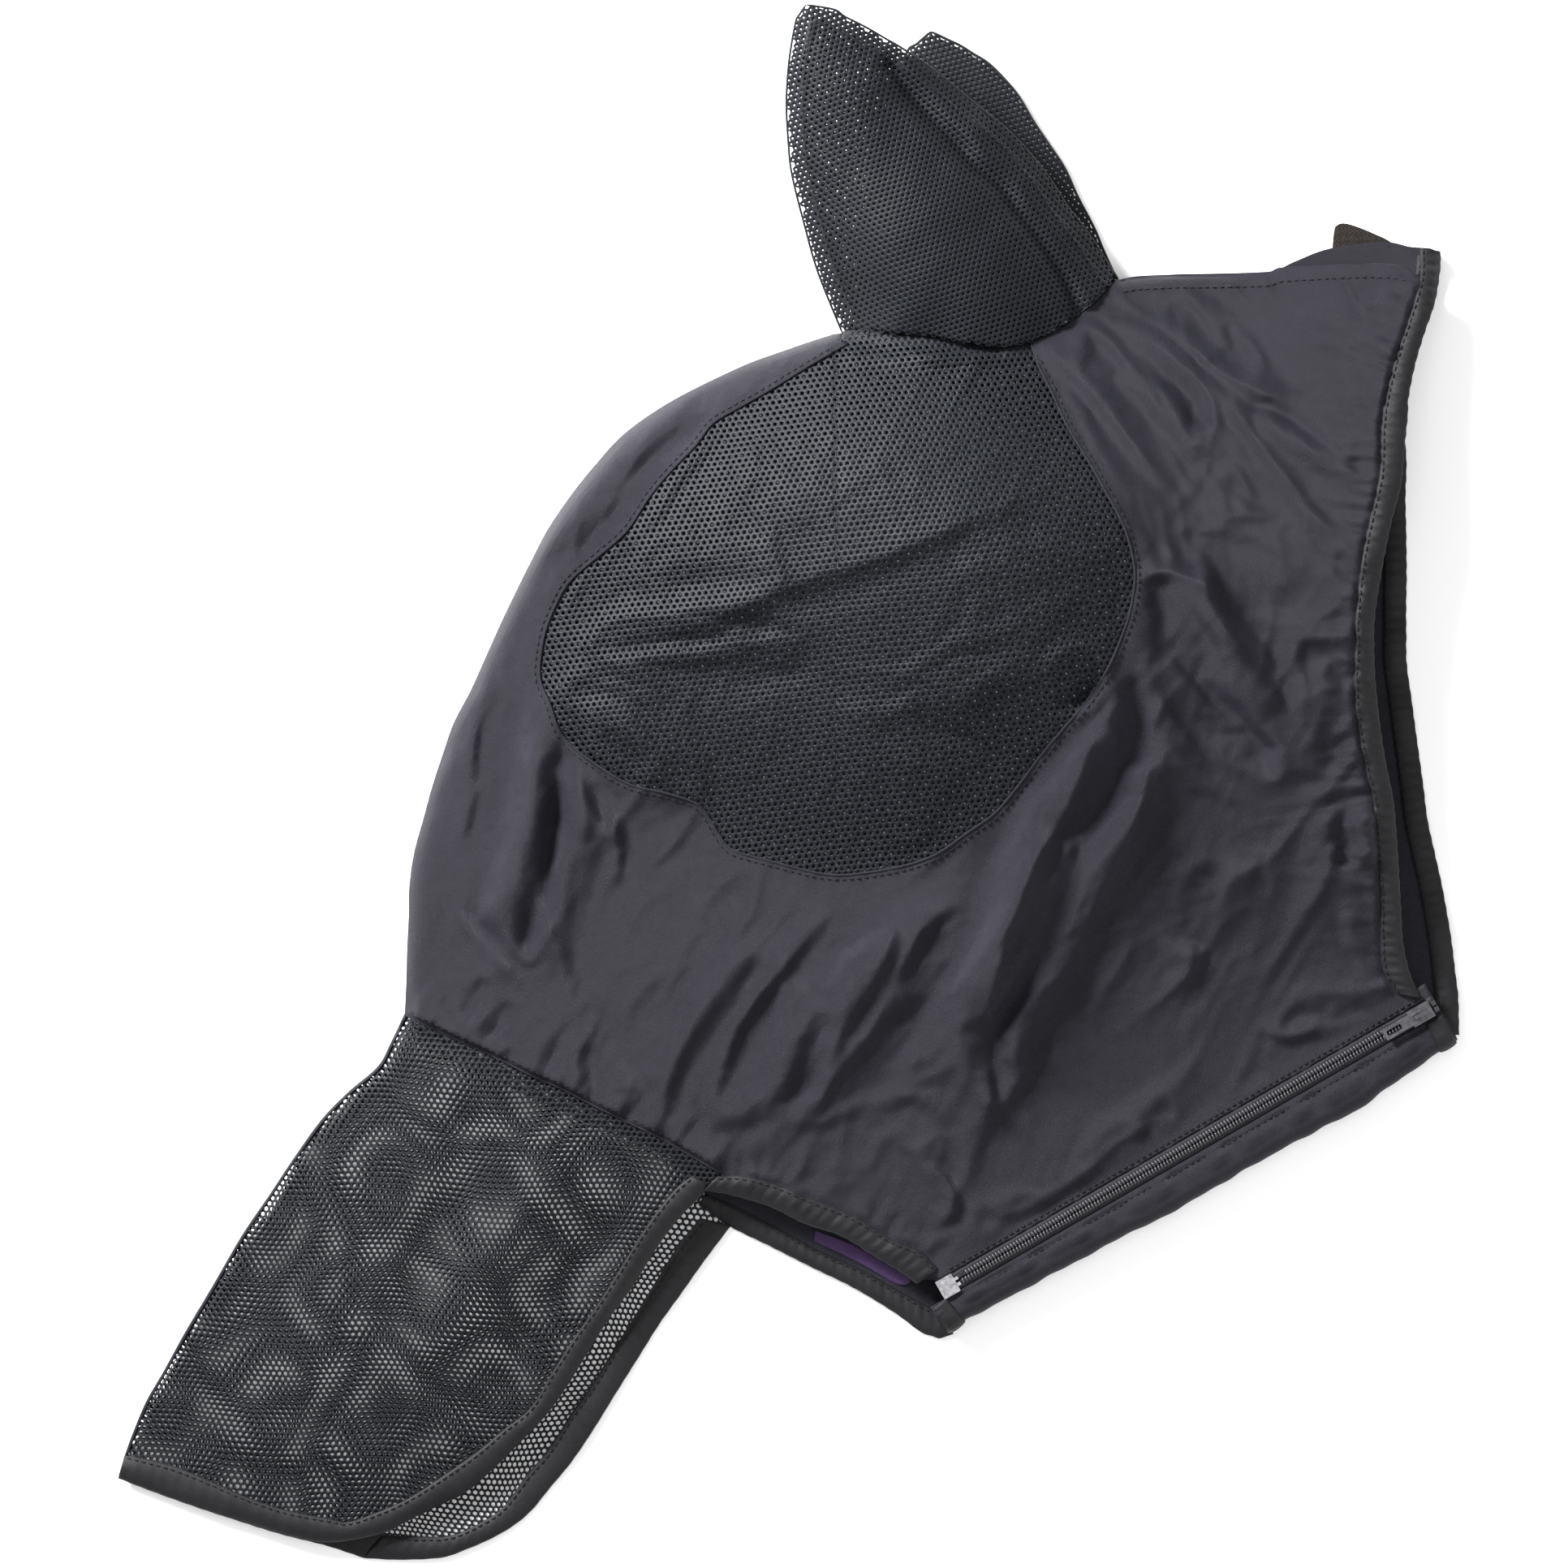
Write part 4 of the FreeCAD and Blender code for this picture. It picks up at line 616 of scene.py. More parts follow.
THROAT_FAR_OUT = table("""
    348.0,-123.3 348.8,-109.8 348.0,-101.4 345.9,-84.6 343.3,-67.8 340.4,-51.0 336.6,-34.2
    332.8,-17.4 330.8,-0.6 328.6,16.2 326.1,33.0 324.0,49.8 321.9,66.6 321.9,83.4
    321.9,100.2 321.9,117.0 321.9,133.8 321.5,150.6 321.9,167.4 321.1,184.2 321.5,201.0
    325.3,217.8 330.3,234.6 336.2,251.4 339.1,266.1 340.0,275.7""")
# Poll edge, from the throat to the ear base; the layers part at the fifth point from the ear.
POLL_NEAR_STATIONS = table("""
    326.1,264.8 319.8,269.4 307.2,271.1 282.0,270.7 256.8,269.4 250.5,267.3 223.2,266.5
    202.2,266.1 181.2,264.8 172.4,262.7""")
POLL_NEAR = curve(POLL_NEAR_STATIONS)
POLL_SHARED = curve(POLL_NEAR_STATIONS[:-6:-1])
POLL_FAR = curve(table("""
    340.0,275.7 336.6,279.5 329.1,280.3 324.0,280.8 315.6,282.9 307.2,283.3 282.0,279.5
    265.2,273.2""") + POLL_NEAR_STATIONS[-5:])
# Ear base seam, from the poll to the face edge.
EAR_BASE_STATIONS = table("""
    172.4,262.7 165.3,255.6 158.5,248.8 151.8,243.4 142.6,236.7 132.1,231.2 121.2,226.6
    113.2,225.3 99.8,226.2 91.8,227.4 75.8,230.8 51.4,232.9 29.2,235.4""")
EAR_BASE = curve(EAR_BASE_STATIONS)
# Eye opening, anticlockwise from the face side of the ear base to its poll side.
EYE = smoothed(curve(table("""
    31.7,227.8 13.7,217.8 -9.0,203.9 -27.1,193.8 -38.9,186.7 -45.6,176.6 -59.0,162.8
    -70.3,149.3 -82.1,131.2 -95.5,119.5 -111.5,106.0 -118.2,94.7 -124.1,80.8 -127.0,64.9
    -127.0,53.5 -121.6,42.2 -117.4,28.8 -109.4,19.5 -93.5,8.2 -79.6,0.2 -63.6,-3.1
    -45.6,-9.0 -40.9,-14.5 -34.2,-25.8 -28.3,-33.0 -9.0,-38.4 13.7,-44.3 27.5,-46.0
    43.5,-44.3 61.5,-40.9 77.5,-35.1 93.5,-23.7 106.9,-14.5 118.2,-1.1 130.0,14.9
    141.3,28.8 152.7,42.2 160.7,53.5 168.6,69.5 175.3,87.6 178.3,106.0 177.4,115.3
    173.2,131.2 164.0,149.3 152.7,169.9 143.4,185.8 136.7,201.8 130.0,215.2
    125.8,226.6""")), 6)
# Ears: edge towards the face, edge towards the poll, and the crease down the near ear.
EAR_FACE_EDGE = curve(table("""
    10.3,402.6 6.9,397.5 4.8,393.3 1.5,373.2 0.2,353.0 1.1,333.3 3.1,315.6 9.9,288.8
    16.6,266.1 29.2,235.4"""))
EAR_POLL_EDGE = curve(table("""
    172.4,262.7 168.2,269.0 161.5,279.5 153.5,290.4 145.1,300.9 137.1,313.1 125.4,327.8
    113.2,340.0 98.5,351.8 85.0,362.7 72.9,371.9 59.4,380.7 51.4,385.3 40.9,391.2
    30.0,396.7 25.0,400.1 10.3,402.6"""))
EAR_VALLEY = curve(table("""
    54.4,370.6 64.9,357.2 77.1,342.5 89.2,330.3 97.2,319.8 111.9,307.6 119.9,295.5
    129.2,283.7 137.1,271.5 143.8,260.6 150.6,245.9"""))
FAR_EAR_POLL_EDGE = curve(table("""
    172.4,262.7 165.3,278.2 160.2,290.4 151.8,306.4 145.1,321.1 137.1,333.3 129.2,345.0
    121.2,358.5 113.2,368.1 105.2,376.1 97.2,381.1 90.5,385.3 85.0,387.9 75.4,392.5"""))
FAR_EAR_FACE_EDGE = curve(table("""
    75.4,392.5 67.8,385.8 62.4,380.7 51.0,348.0 43.5,310.2 38.4,272.4 35.9,240.4"""))
# Nose flap: its folded edge, then inner and outer lines of its bindings.
NOSE_FOLD = curve(table("""
    -198.4,-118.6 -205.6,-133.8 -212.3,-145.9 -228.3,-159.8 -241.7,-173.7 -255.6,-193.0
    -269.0,-213.2 -282.9,-233.7 -298.8,-261.0 -312.3,-283.7 -323.6,-304.3 -332.8,-320.2
    -339.6,-336.2 -343.8,-347.6"""))
NOSE_NEAR_IN = curve(table("""
    -343.8,-347.6 -319.4,-353.4 -298.8,-361.4 -280.3,-369.4 -260.2,-376.1 -237.1,-380.7
    -228.3,-382.4 -216.9,-379.1 -196.3,-370.2 -175.8,-356.8 -159.8,-345.4 -146.4,-334.1
    -132.5,-322.8 -121.2,-304.3 -109.8,-286.2 -98.5,-270.3 -87.1,-252.2 -75.8,-233.7
    -66.6,-220.3 -57.3,-208.9 -48.5,-201.8"""))
NOSE_NEAR_OUT = curve(table("""
    -347.1,-359.3 -323.6,-368.1 -296.3,-377.4 -273.6,-384.1 -257.7,-388.7 -237.1,-392.1
    -209.8,-387.4 -196.3,-380.7 -182.5,-374.0 -166.5,-366.0 -150.6,-352.2 -139.2,-340.8
    -125.8,-327.0 -114.5,-311.4 -103.1,-292.9 -91.8,-274.9 -80.0,-258.9 -68.7,-240.4
    -57.3,-224.9 -46.0,-213.2 -40.5,-206.4"""))
NOSE_FAR_IN = curve(table("""
    -209.8,-390.0 -191.7,-390.8 -173.7,-390.0 -157.7,-382.8 -146.4,-374.8 -135.0,-358.9
    -123.3,-345.4 -111.9,-327.0 -100.6,-311.4 -89.2,-292.9 -77.9,-274.9 -66.6,-256.4
    -55.2,-238.3 -43.9,-224.9"""))
NOSE_FAR_OUT_STATIONS = table("""
    -219.0,-401.3 -201.0,-402.1 -179.1,-400.9 -166.5,-396.7 -153.1,-390.8 -141.8,-384.1
    -132.5,-376.1 -123.3,-364.8 -111.9,-350.9 -100.6,-334.1 -89.2,-315.6 -77.9,-297.6
    -66.6,-279.5 -55.2,-263.6 -43.9,-247.6 -29.6,-228.7""")
NOSE_FAR_OUT = curve(NOSE_FAR_OUT_STATIONS)
# Lower edge of the far nose net, then the two lines of its binding.
FAR_HEM = curve(table("""
    -343.8,-347.5 -341.9,-357.0 -322.8,-366.9 -297.6,-375.7 -264.0,-386.2 -238.8,-393.8
    -219.0,-401.3"""))
HEM_OUT = curve(table("""
    -346.0,-358.0 -322.8,-368.5 -297.6,-377.5 -264.0,-388.3 -238.8,-394.8 -219.0,-401.3"""))
HEM_IN = curve(table("""
    -342.0,-350.5 -319.4,-355.0 -298.8,-362.5 -280.4,-370.5 -260.2,-377.0 -237.1,-383.7
    -209.8,-390.0"""))
LABEL = curve(table("""
    14.9,-231.2 35.1,-238.8 54.4,-249.7 64.9,-256.0 58.6,-259.3 37.2,-247.6
    14.5,-236.7"""), 1.5)
# Folded outer edge of the strip beside the zip, from muzzle to throat.
STRIP = even(smoothed(curve(table("""
    84.2,-284.0 90.5,-278.7 108.1,-269.4 139.7,-252.6 171.2,-235.8 204.3,-219.0 232.9,-202.2
    265.2,-184.2 301.8,-165.3 307.2,-160.2 328.2,-145.5 340.8,-136.7 348.8,-132.1""")), 14), 2.0)
# Poll tab; its first and last points lie under the panels.
POLL_TAB = table("""
    284.1,275.0 285.4,289.2 287.1,292.1 290.4,292.9 296.7,291.3 305.1,287.9 314.8,282.9
    316.5,276.0""")

# ------------------------------------------------------------------ heights: x,y,z in mm
left_plate = plate(table("""
    38.4,227.0,34 76.2,228.3,42 125.8,225.3,40 172.4,258.9,18 13.7,217.8,33 -16.2,200.1,30
    -45.6,176.6,32 -70.8,148.5,36 -95.5,119.5,36 -117.0,96.0,32 -126.2,66.6,30
    -121.2,41.4,31 -109.4,19.5,31 -79.6,0.2,35 -45.6,-9.0,36 -28.3,-33.0,34 27.5,-46.0,36
    77.5,-35.1,40 106.9,-14.5,45 130.0,14.9,50 152.7,42.2,56 168.6,69.5,60 177.4,106.0,62
    164.0,149.3,60 143.4,185.8,50 -7.8,171.6,52 46.8,188.4,62 97.2,188.4,64 -28.8,121.2,58
    34.2,133.8,78 97.2,138.0,84 139.2,121.2,78 -70.8,79.2,46 -7.8,81.3,58 63.6,87.6,80
    122.4,83.4,80 -79.2,37.2,44 -28.8,37.2,50 30.0,45.6,62 88.8,37.2,68 -28.8,3.6,42
    30.0,-4.8,48 76.2,-4.8,52 202.2,230.4,22 202.2,171.6,40 189.6,112.8,56 244.2,230.4,18
    248.4,171.6,34 248.4,112.8,44 202.2,49.8,50 256.8,49.8,42 181.2,7.8,46 231.6,-4.8,40
    156.0,-34.2,42 202.2,-55.2,34 265.2,-46.8,30 118.2,-76.2,36 168.6,-101.4,28
    231.6,-105.6,22 273.6,-101.4,19 63.6,-88.8,35 13.2,-97.2,34 -37.2,-97.2,32
    -87.6,-80.4,28 -129.6,-55.2,23 -154.8,-13.2,21 -138.0,28.8,24 -171.6,-76.2,16
    -146.4,-109.8,17 -96.0,-130.8,21 -45.6,-151.8,25 4.8,-151.8,27 55.2,-151.8,27
    105.6,-151.8,25 63.6,-198.0,21 114.0,-193.8,20 -3.6,-189.6,22 156.0,-172.8,19
    198.0,-147.6,19 282.0,270.7,10 307.2,271.1,13 326.1,264.8,16 334.5,272.4,8
    328.6,247.2,22 315.6,205.2,30 309.3,154.8,36 303.0,112.8,38 298.8,70.8,38 303.0,28.8,35
    309.3,-13.2,30 312.3,-55.2,24 317.7,-88.8,18 326.1,-107.7,15.3 273.6,238.8,20
    265.2,205.2,28 -174.9,-129.6,11 -153.5,-139.2,14.5 -132.1,-149.7,16.5
    -114.9,-157.3,17.5 -80.8,-174.5,18.5 -48.5,-191.7,18.8 -33.4,-200.5,18.8
    -16.2,-203.1,18.6 9.0,-219.0,17.6 35.1,-227.4,16.8 59.4,-242.1,15.8 76.2,-251.8,15"""))
# Near ear: twelve stations on the rim shared by both layers, then each layer's middle.
EAR_RIM = table("""
    10.3,402.6,34 4.8,393.3,33 0.2,353.0,30 3.1,315.6,26 16.6,266.1,16 161.5,279.5,14
    145.1,300.9,19 125.4,327.8,23 98.5,351.8,27 72.9,371.9,30 51.4,385.3,32 30.0,396.7,34""")
EAR_RIM_GAP = 1.4
EAR_TOP_MIDDLE = table("""
    21.6,369.0,39 25.8,322.8,38 38.4,272.4,38 59.4,331.2,43 72.0,280.8,50 97.2,255.6,50
    88.8,306.0,45 46.8,360.6,41 64.9,357.2,34 89.2,330.3,36 111.9,307.6,35 129.2,283.7,34
    143.8,260.6,30 38.4,385.8,36 97.2,337.5,34 122.4,312.3,31 143.4,285.0,27""")
EAR_LOW_MIDDLE = table("""
    21.6,369.0,27 30.0,314.4,24 46.8,268.2,24 67.8,322.8,22 84.6,272.4,26 109.8,293.4,23
    130.8,264.0,21 97.2,335.4,21""")
far_ear_plate = plate(table("""
    75.4,392.5,3.4 62.4,380.7,3.4 51.0,348.0,3.4 43.5,310.2,3.4 38.4,272.4,3.4
    35.9,240.4,3.4 36.8,236.7,3.4 75.8,232.9,3.4 99.8,228.3,3.4 121.2,228.7,3.4
    142.6,238.8,3.4 158.5,250.9,3.4 171.2,264.0,3.4 160.2,290.4,3.4 145.1,321.1,3.4
    129.2,345.0,3.4 113.2,368.1,3.4 97.2,381.1,3.4 72.0,364.8,6 72.0,314.4,9 97.2,331.2,9
    63.6,268.2,9 97.2,272.4,11 130.8,268.2,8 122.4,310.2,8 139.2,297.6,6"""))
nose_plate = plate(table("""
    -196.8,-123.3,7 -174.9,-131.2,10.8 -153.5,-140.9,14.2 -132.1,-151.4,16.2
    -114.9,-159.0,17.2 -80.8,-176.2,18.2 -49.8,-193.8,18.6 -41.4,-202.2,18.8
    -226.2,-181.2,10 -188.4,-164.4,14 -154.8,-181.2,17 -112.8,-198.0,19 -79.2,-210.6,18
    -268.2,-240.0,9 -226.2,-231.6,14 -180.0,-231.6,18 -138.0,-231.6,19 -96.0,-240.0,16
    -297.6,-290.4,8 -255.6,-290.4,13 -209.4,-282.0,17 -163.2,-282.0,18 -121.2,-282.0,14
    -318.6,-332.4,6.5 -280.8,-336.6,10 -238.8,-332.4,13 -196.8,-324.0,14 -154.8,-324.0,12
    -343.8,-353.4,4.5 -381.6,-307.2,4 -381.6,-223.2,4 -310.2,-198.0,4 -310.2,-366.0,6
    -272.4,-377.8,7.5 -237.1,-384.9,8.5 -205.2,-378.6,8.5 -171.6,-359.7,9 -138.0,-332.4,10
    -108.6,-290.4,11 -79.2,-248.4,13 -54.0,-214.8,16.5 -42.2,-204.8,18"""))

# Broad folds of the left panel: height (negative for a valley), half-width, centre line.
FOLDS = [(amp, width, table(text)) for amp, width, text in (
    (-7, 5.5, "-121.2,30.9 -112.8,20.4 -116.1,-4.8 -121.2,-30 -127.5,-55.2 -131.7,-76.2 -135.9,-97.2"),
    (6, 7, "-126.2,33 -131.7,7.8 -138,-13.2 -144.3,-38.4 -148.5,-59.4 -163.2,-80.4"),
    (-4, 5, "-103.5,18.3 -96,-4.8 -89.7,-21.6"),
    (3, 5, "-110.7,16.2 -105.2,-6.9 -101,-30"),
    (-2.5, 4, "-154.8,-99.3 -163.2,-114 -165.3,-124.5"),
    (-2.2, 4, "-146.4,-111.9 -144.3,-122.4 -148.5,-135"),
    (-2.2, 4, "-102.3,-132.9 -101,-147.6 -104.4,-158.1"),
    (-2, 4, "-85.5,-156 -81.3,-172.8"),
    (-5, 8, "-5.7,-84.6 -20.4,-109.8 -33,-128.7 -45.6,-143.4 -56.1,-160.2 -62.4,-177"),
    (3.5, 10, "-18.3,-82.5 -33,-105.6 -47.7,-126.6 -60.3,-147.6 -70.8,-168.6"),
    (-8, 8, """93,-59.4 82.5,-72 67.8,-90.9 46.8,-105.6 25.8,-118.2 19.5,-128.7 13.2,-143.4
        2.7,-160.2 -3.6,-172.8"""),
    (6, 11, "63.6,-76.2 34.2,-97.2 9,-126.6 -12,-156 -41.4,-185.4"),
    (-11, 7.5, """170.7,75 174.9,58.2 179.1,37.2 180.4,22.5 170.7,9.9 158.1,-6.9 149.7,-21.6
        146.8,-38.4 141.3,-59.4 135,-76.2 124.5,-88.8 114,-109.8 103.5,-122.4 102.7,-139.2
        106.5,-156 101.4,-177"""),
    (7, 10, """158.1,45.6 160.2,22.5 147.6,3.6 135,-17.4 128.7,-42.6 120.3,-63.6 107.7,-84.6
        93,-105.6 84.6,-126.6"""),
    (-10, 10, """177.9,117 186.3,102.3 194.7,79.2 207.3,58.2 223.2,41.4 240,24.6 249.3,7.8
        251.8,-2.7"""),
    (6, 12, "193.8,117 208.5,98.1 223.2,75 240,54 256.8,35.1 269.4,16.2"),
    (-3.5, 6, "181.2,125.4 198,117 214.8,112.8"),
    (-6, 12, "143.4,228.3 164.4,217.8 189.6,201 223.2,188.4"),
    (-5, 14, "214.8,159 248.4,138 273.6,121.2 298.8,104.4"),
    (6, 7, "177,234.6 210.6,215.7 235.8,196.8 265.2,180 290.4,167.4 303,159"),
    (-4, 4.5, "252.6,196.8 265.2,184.2 286.2,171.6 303,161.1"),
    (-2.5, 7, "193.8,251.4 223.2,230.4 240,205.2"),
    (-3.5, 6, "261,70.8 282,62.4 291.3,49.8"),
    (-4, 7, "244.2,45.6 265.2,28.8 291.3,9.9"),
    (-6, 5, "286.2,-13.2 287.1,-27.9 288.3,-42.6"),
    (4, 6, "295.5,-11.1 297.1,-25.8 296.3,-40.5"),
    (4, 11, "202.2,-34.2 201.4,-63.6 200.1,-97.2"),
    (3.5, 9, "248.4,-34.2 227.4,-55.2 210.6,-84.6 198,-118.2"),
    (-4, 9, "223.2,-38.4 212.7,-63.6 207.3,-88.8"),
    (-2.5, 6, "252.6,-123.3 273.6,-117 303,-118.2"),
    (-3.5, 7, "51,-160.2 76.2,-177 84.6,-193.8 86.7,-214.8"),
    (-2.5, 6, "151.8,-202.2 168.6,-185.4 181.2,-177"),
    (-2, 5, "185.4,-177 193.8,-168.6 202.2,-166.5"),
    (-2.5, 6, "97.2,-223.2 114,-224.5 130.8,-212.7"),
    (-1.8, 5, "240,-158.1 248.4,-145.5"),
    (-5, 6, "-33,193.4 -51.9,177.9 -72.9,156.9 -89.7,135.9 -106.5,119.1 -123.3,102.3 -138,85.5"),
    (3.5, 8, "-45.6,194.7 -70.8,175.8 -91.8,154.8 -107.7,133.8 -125.4,112.8"),
    (-6, 6, "-104.4,70.8 -87.6,77.1 -70.8,80 -41.4,81.3 -16.2,82.1 13.2,81.3"),
    (5, 10, "-96,56.1 -70.8,61.5 -37.2,64.5 -3.6,64.5 21.6,64.5"),
    (-5, 5, """-117,42.2 -107.7,49.8 -95.1,51.9 -83.4,49.8 -70.8,41.4 -58.2,24.6 -49.8,7.8
        -43.5,-6.9"""),
    (6, 11, "-104.4,30.9 -87.6,26.7 -72.9,18.3 -60.3,3.6"),
    (-8, 10, "139.2,70.8 146.8,56.1 153.9,42.2"),
    (6, 9, "137.1,72.9 118.2,58.2 97.2,41.4 84.6,20.4"),
    (2.5, 6, "174.9,112.8 147.6,117 118.2,125.4 88.8,133.8"),
    (-2.5, 6, "172.8,106.5 143.4,107.7 114,110.7 84.6,112.8"),
    (3, 7, "172.8,100.2 143.4,91.8 114,81.3 80.4,70.8"),
    (-3, 6, "166.5,87.6 139.2,79.2 109.8,64.5 76.2,49.8"),
    (-4, 5, "63.6,219.9 88.8,222 114,224.1"),
    (-3, 8, "-28.8,171.6 -3.6,154.8 13.2,129.6"),
    (-3.5, 8, "30,37.2 51,16.2 63.6,-9 65.7,-34.2"),
    (3, 9, "48.9,41.4 72,20.4 86.7,-4.8"),
    (-3, 7, "-79.2,112.8 -54,117 -24.6,112.8 4.8,104.4"),
)]
# Sharp creases: height, width on the steep left-hand side, width on the other, crest line.
SHARP = [(amp, steep, soft, curve(table(text), 3.0)) for amp, steep, soft, text in (
    (3.6, 2.6, 9.0, "161.5,56.9 147.2,-5.2 123.3,-48.1 104.4,-114.9 99.8,-162.3"),
    (3.0, 2.6, 9.0, "28.4,-57.8 4.4,-86.3 -24.2,-124.1 -41,-172"),
    (3.4, 2.6, 9.0, "-117,23.3 -126.6,-19.5 -126.6,-62.4 -110,-100.6"),
    (2.6, 2.4, 6.0, "-93.4,-0.6 -86.3,-38.4 -95.6,-57.8"),
    (2.2, 2.2, 6.0, "-176.6,-57.8 -152.7,-86.3 -133.8,-105.2"),
    (2.0, 2.6, 8.0, "-160,40 -163,0 -170,-40"),
    (3.2, 2.4, 7.0, "223.2,94.7 199.7,109 175.8,104.4"),
    (2.6, 2.6, 8.0, "190,47.3 182.9,-0.6 171.2,-48.1"),
    (3.2, 2.6, 8.0, "135,-70.4 105.2,-122.4 105.2,-163.6 97.7,-193.4"),
    (2.6, 2.0, 5.0, "67.8,-193.4 83,-204.8 86.3,-219.5 75.4,-230.8"),
    (2.4, 2.2, 7.0, "202.2,-167.4 172.4,-184.2 153.5,-201 123.7,-219.5 97.7,-223.2"),
    (1.6, 2.2, 6.0, "211.5,-77.5 206,-104"),
    (2.0, 2.0, 6.0, "303,-96.4 291.7,-77.5 288,-60"),
    (1.8, 2.0, 6.0, "280.8,-124.1 258.1,-130 243.4,-122.4"),
    (3.4, 2.4, 9.0, "268.6,190.5 228,212 188.4,242.6"),
    (3.0, 2.4, 9.0, "268.6,145.5 246,172 223.7,203.5"),
    (2.6, 3.0, 10.0, "201.4,145.5 160.2,197.6 120.3,240.3"),
    (2.4, 2.6, 8.0, "240,60 222,84 206,128"),
    (1.6, 2.6, 8.0, "-60,168 -95,140 -125,100"),
    (2.0, 2.4, 7.0, "-150,60 -160,30 -166,-5"),
    (4.0, 5.0, 14.0, "147.2,159 61.5,121.2 9,104.4 -48.1,83 -95.6,70.8"),
    (2.0, 5.0, 12.0, "150,92 110,60 60,40 10,38"),
    (2.4, 2.6, 9.0, "60,-52 50,-90 28,-128 18,-160"),
)]
# Folds of the nose net: height, half-width, centre line.
NOSE_FOLDS = [(amp, width, curve(table(text), 4.0)) for amp, width, text in (
    (3.4, 8.0, "-196,-122 -150,-170 -120,-205 -100,-240"),
    (-3.2, 9.0, "-180,-135 -170,-190 -190,-250 -220,-300"),
    (3.6, 9.0, "-120,-165 -130,-210 -170,-270 -200,-320"),
    (-3.0, 8.0, "-80,-190 -100,-240 -140,-290 -160,-340"),
    (1.6, 7.0, "-300,-330 -240,-345 -180,-350"),
    (1.6, 6.0, "-60,-205 -85,-250 -110,-290"),
    (1.5, 9.0, "-250,-240 -240,-290 -255,-330"),
)]

# ------------------------------------------------------------------ zip frame
ZIP_START = np.array([88.83, -256.41])
ZIP_ANGLE = math.radians(29.95)
ZIP_ALONG = np.array([math.cos(ZIP_ANGLE), math.sin(ZIP_ANGLE)])
ZIP_ACROSS = np.array([-ZIP_ALONG[1], ZIP_ALONG[0]])  # towards the left panel


def zip_xy(along, across):
    along, across = np.broadcast_arrays(np.asarray(along, float), np.asarray(across, float))
    return ZIP_START + along[..., None] * ZIP_ALONG + across[..., None] * ZIP_ACROSS


# ------------------------------------------------------------------ left panel, at rest
LEFT_RIM = [
    FACE, SEAM, curve(MUZZLE_NEAR_OUT)[3:-4], zip_xy(np.linspace(-9, 283, 150), 5.3),
    THROAT_NEAR_OUT[THROAT_NEAR_OUT[:, 1] < 268],
    curve([(334.9, 268.0), (331.6, 267.3), (326.1, 264.8)]), POLL_NEAR]
LEFT_LOOP = loop_of(*LEFT_RIM, EAR_BASE)
EYE_LOOP = loop_of(EYE, EAR_BASE)
FACE_EXTENDED = np.vstack([[FACE[0] + [0, 45]], FACE])
FOLD_CURVES = [(amp, width, curve(line, 4.0)) for amp, width, line in FOLDS]


def fold_sum(pts):
    out = np.zeros(len(pts))
    for amp, width, line in FOLD_CURVES:
        near = near_box(pts, line, 4 * width)
        dist, _, along, length = measure(pts[near], line)
        part = along / max(length, 1e-6)
        taper = ease(np.minimum(part, 1 - part) / 0.22 + 0.12)
        size = width * (0.75 + 0.25 * taper)
        u = dist / size
        if amp > 0:
            profile = np.exp(-0.5 * u * u)
        else:  # a valley has a slight lip on both sides
            profile = (np.exp(-0.5 * (u * 1.15) ** 2) * 1.05
                       - 0.18 * np.exp(-0.5 * ((dist - 2.4 * size) / size) ** 2))
        out[near] += amp * taper * profile
    return out


def base_height(pts, folds=True):
    """Height of the left panel before the cloth is simulated."""
    x = pts[:, 0]
    z = np.maximum(left_plate(pts), 4.5)
    if folds:
        z = z + fold_sum(pts) + 0.9 * fbm(pts, 34.0, 3.1)
        # fine wrinkles across the panel, in patches
        z = z + (0.35 * np.sin((x * 0.62 + pts[:, 1] * 0.78) / 2.9 + 2.5 * np.sin(x / 31.0))
                 * np.clip(fbm(pts, 40.0, 9.7, 2), 0, 1))
    # the level sewn edge beside the zip
    along = (pts - ZIP_START) @ ZIP_ALONG
    across = (pts - ZIP_START) @ ZIP_ACROSS
    free = ease((across - 7.0) / 16.0)
    free = np.where(along < 0, np.maximum(free, np.clip(-along / 12.0, 0, 1)), free)
    free = np.where((along > -12) & (across < 30), free, 1.0)
    z = 15.0 + (z - 15.0) * free
    # rolled-down edge along the face line and the poll
    dist, side = measure(pts, FACE_EXTENDED)[:2]
    dist = np.where(side > 0, dist, 0.0)
    z = 1.5 + (z - 1.5) * edge_round(dist + 0.15, 11.0)
    dist, _, along, length = measure(pts, POLL_SHARED)
    fade = ease((length - along) / 25.0) * ease(along / 4.0 + 0.35)
    keep = edge_round(dist + 0.15, 9.0)
    return 1.5 + (z - 1.5) * (keep + (1 - keep) * (1 - fade) * 0.8)


base_fast = tabulate(base_height, 1.6)
left_plain = tabulate(lambda pts: base_height(pts, False), 2.0)

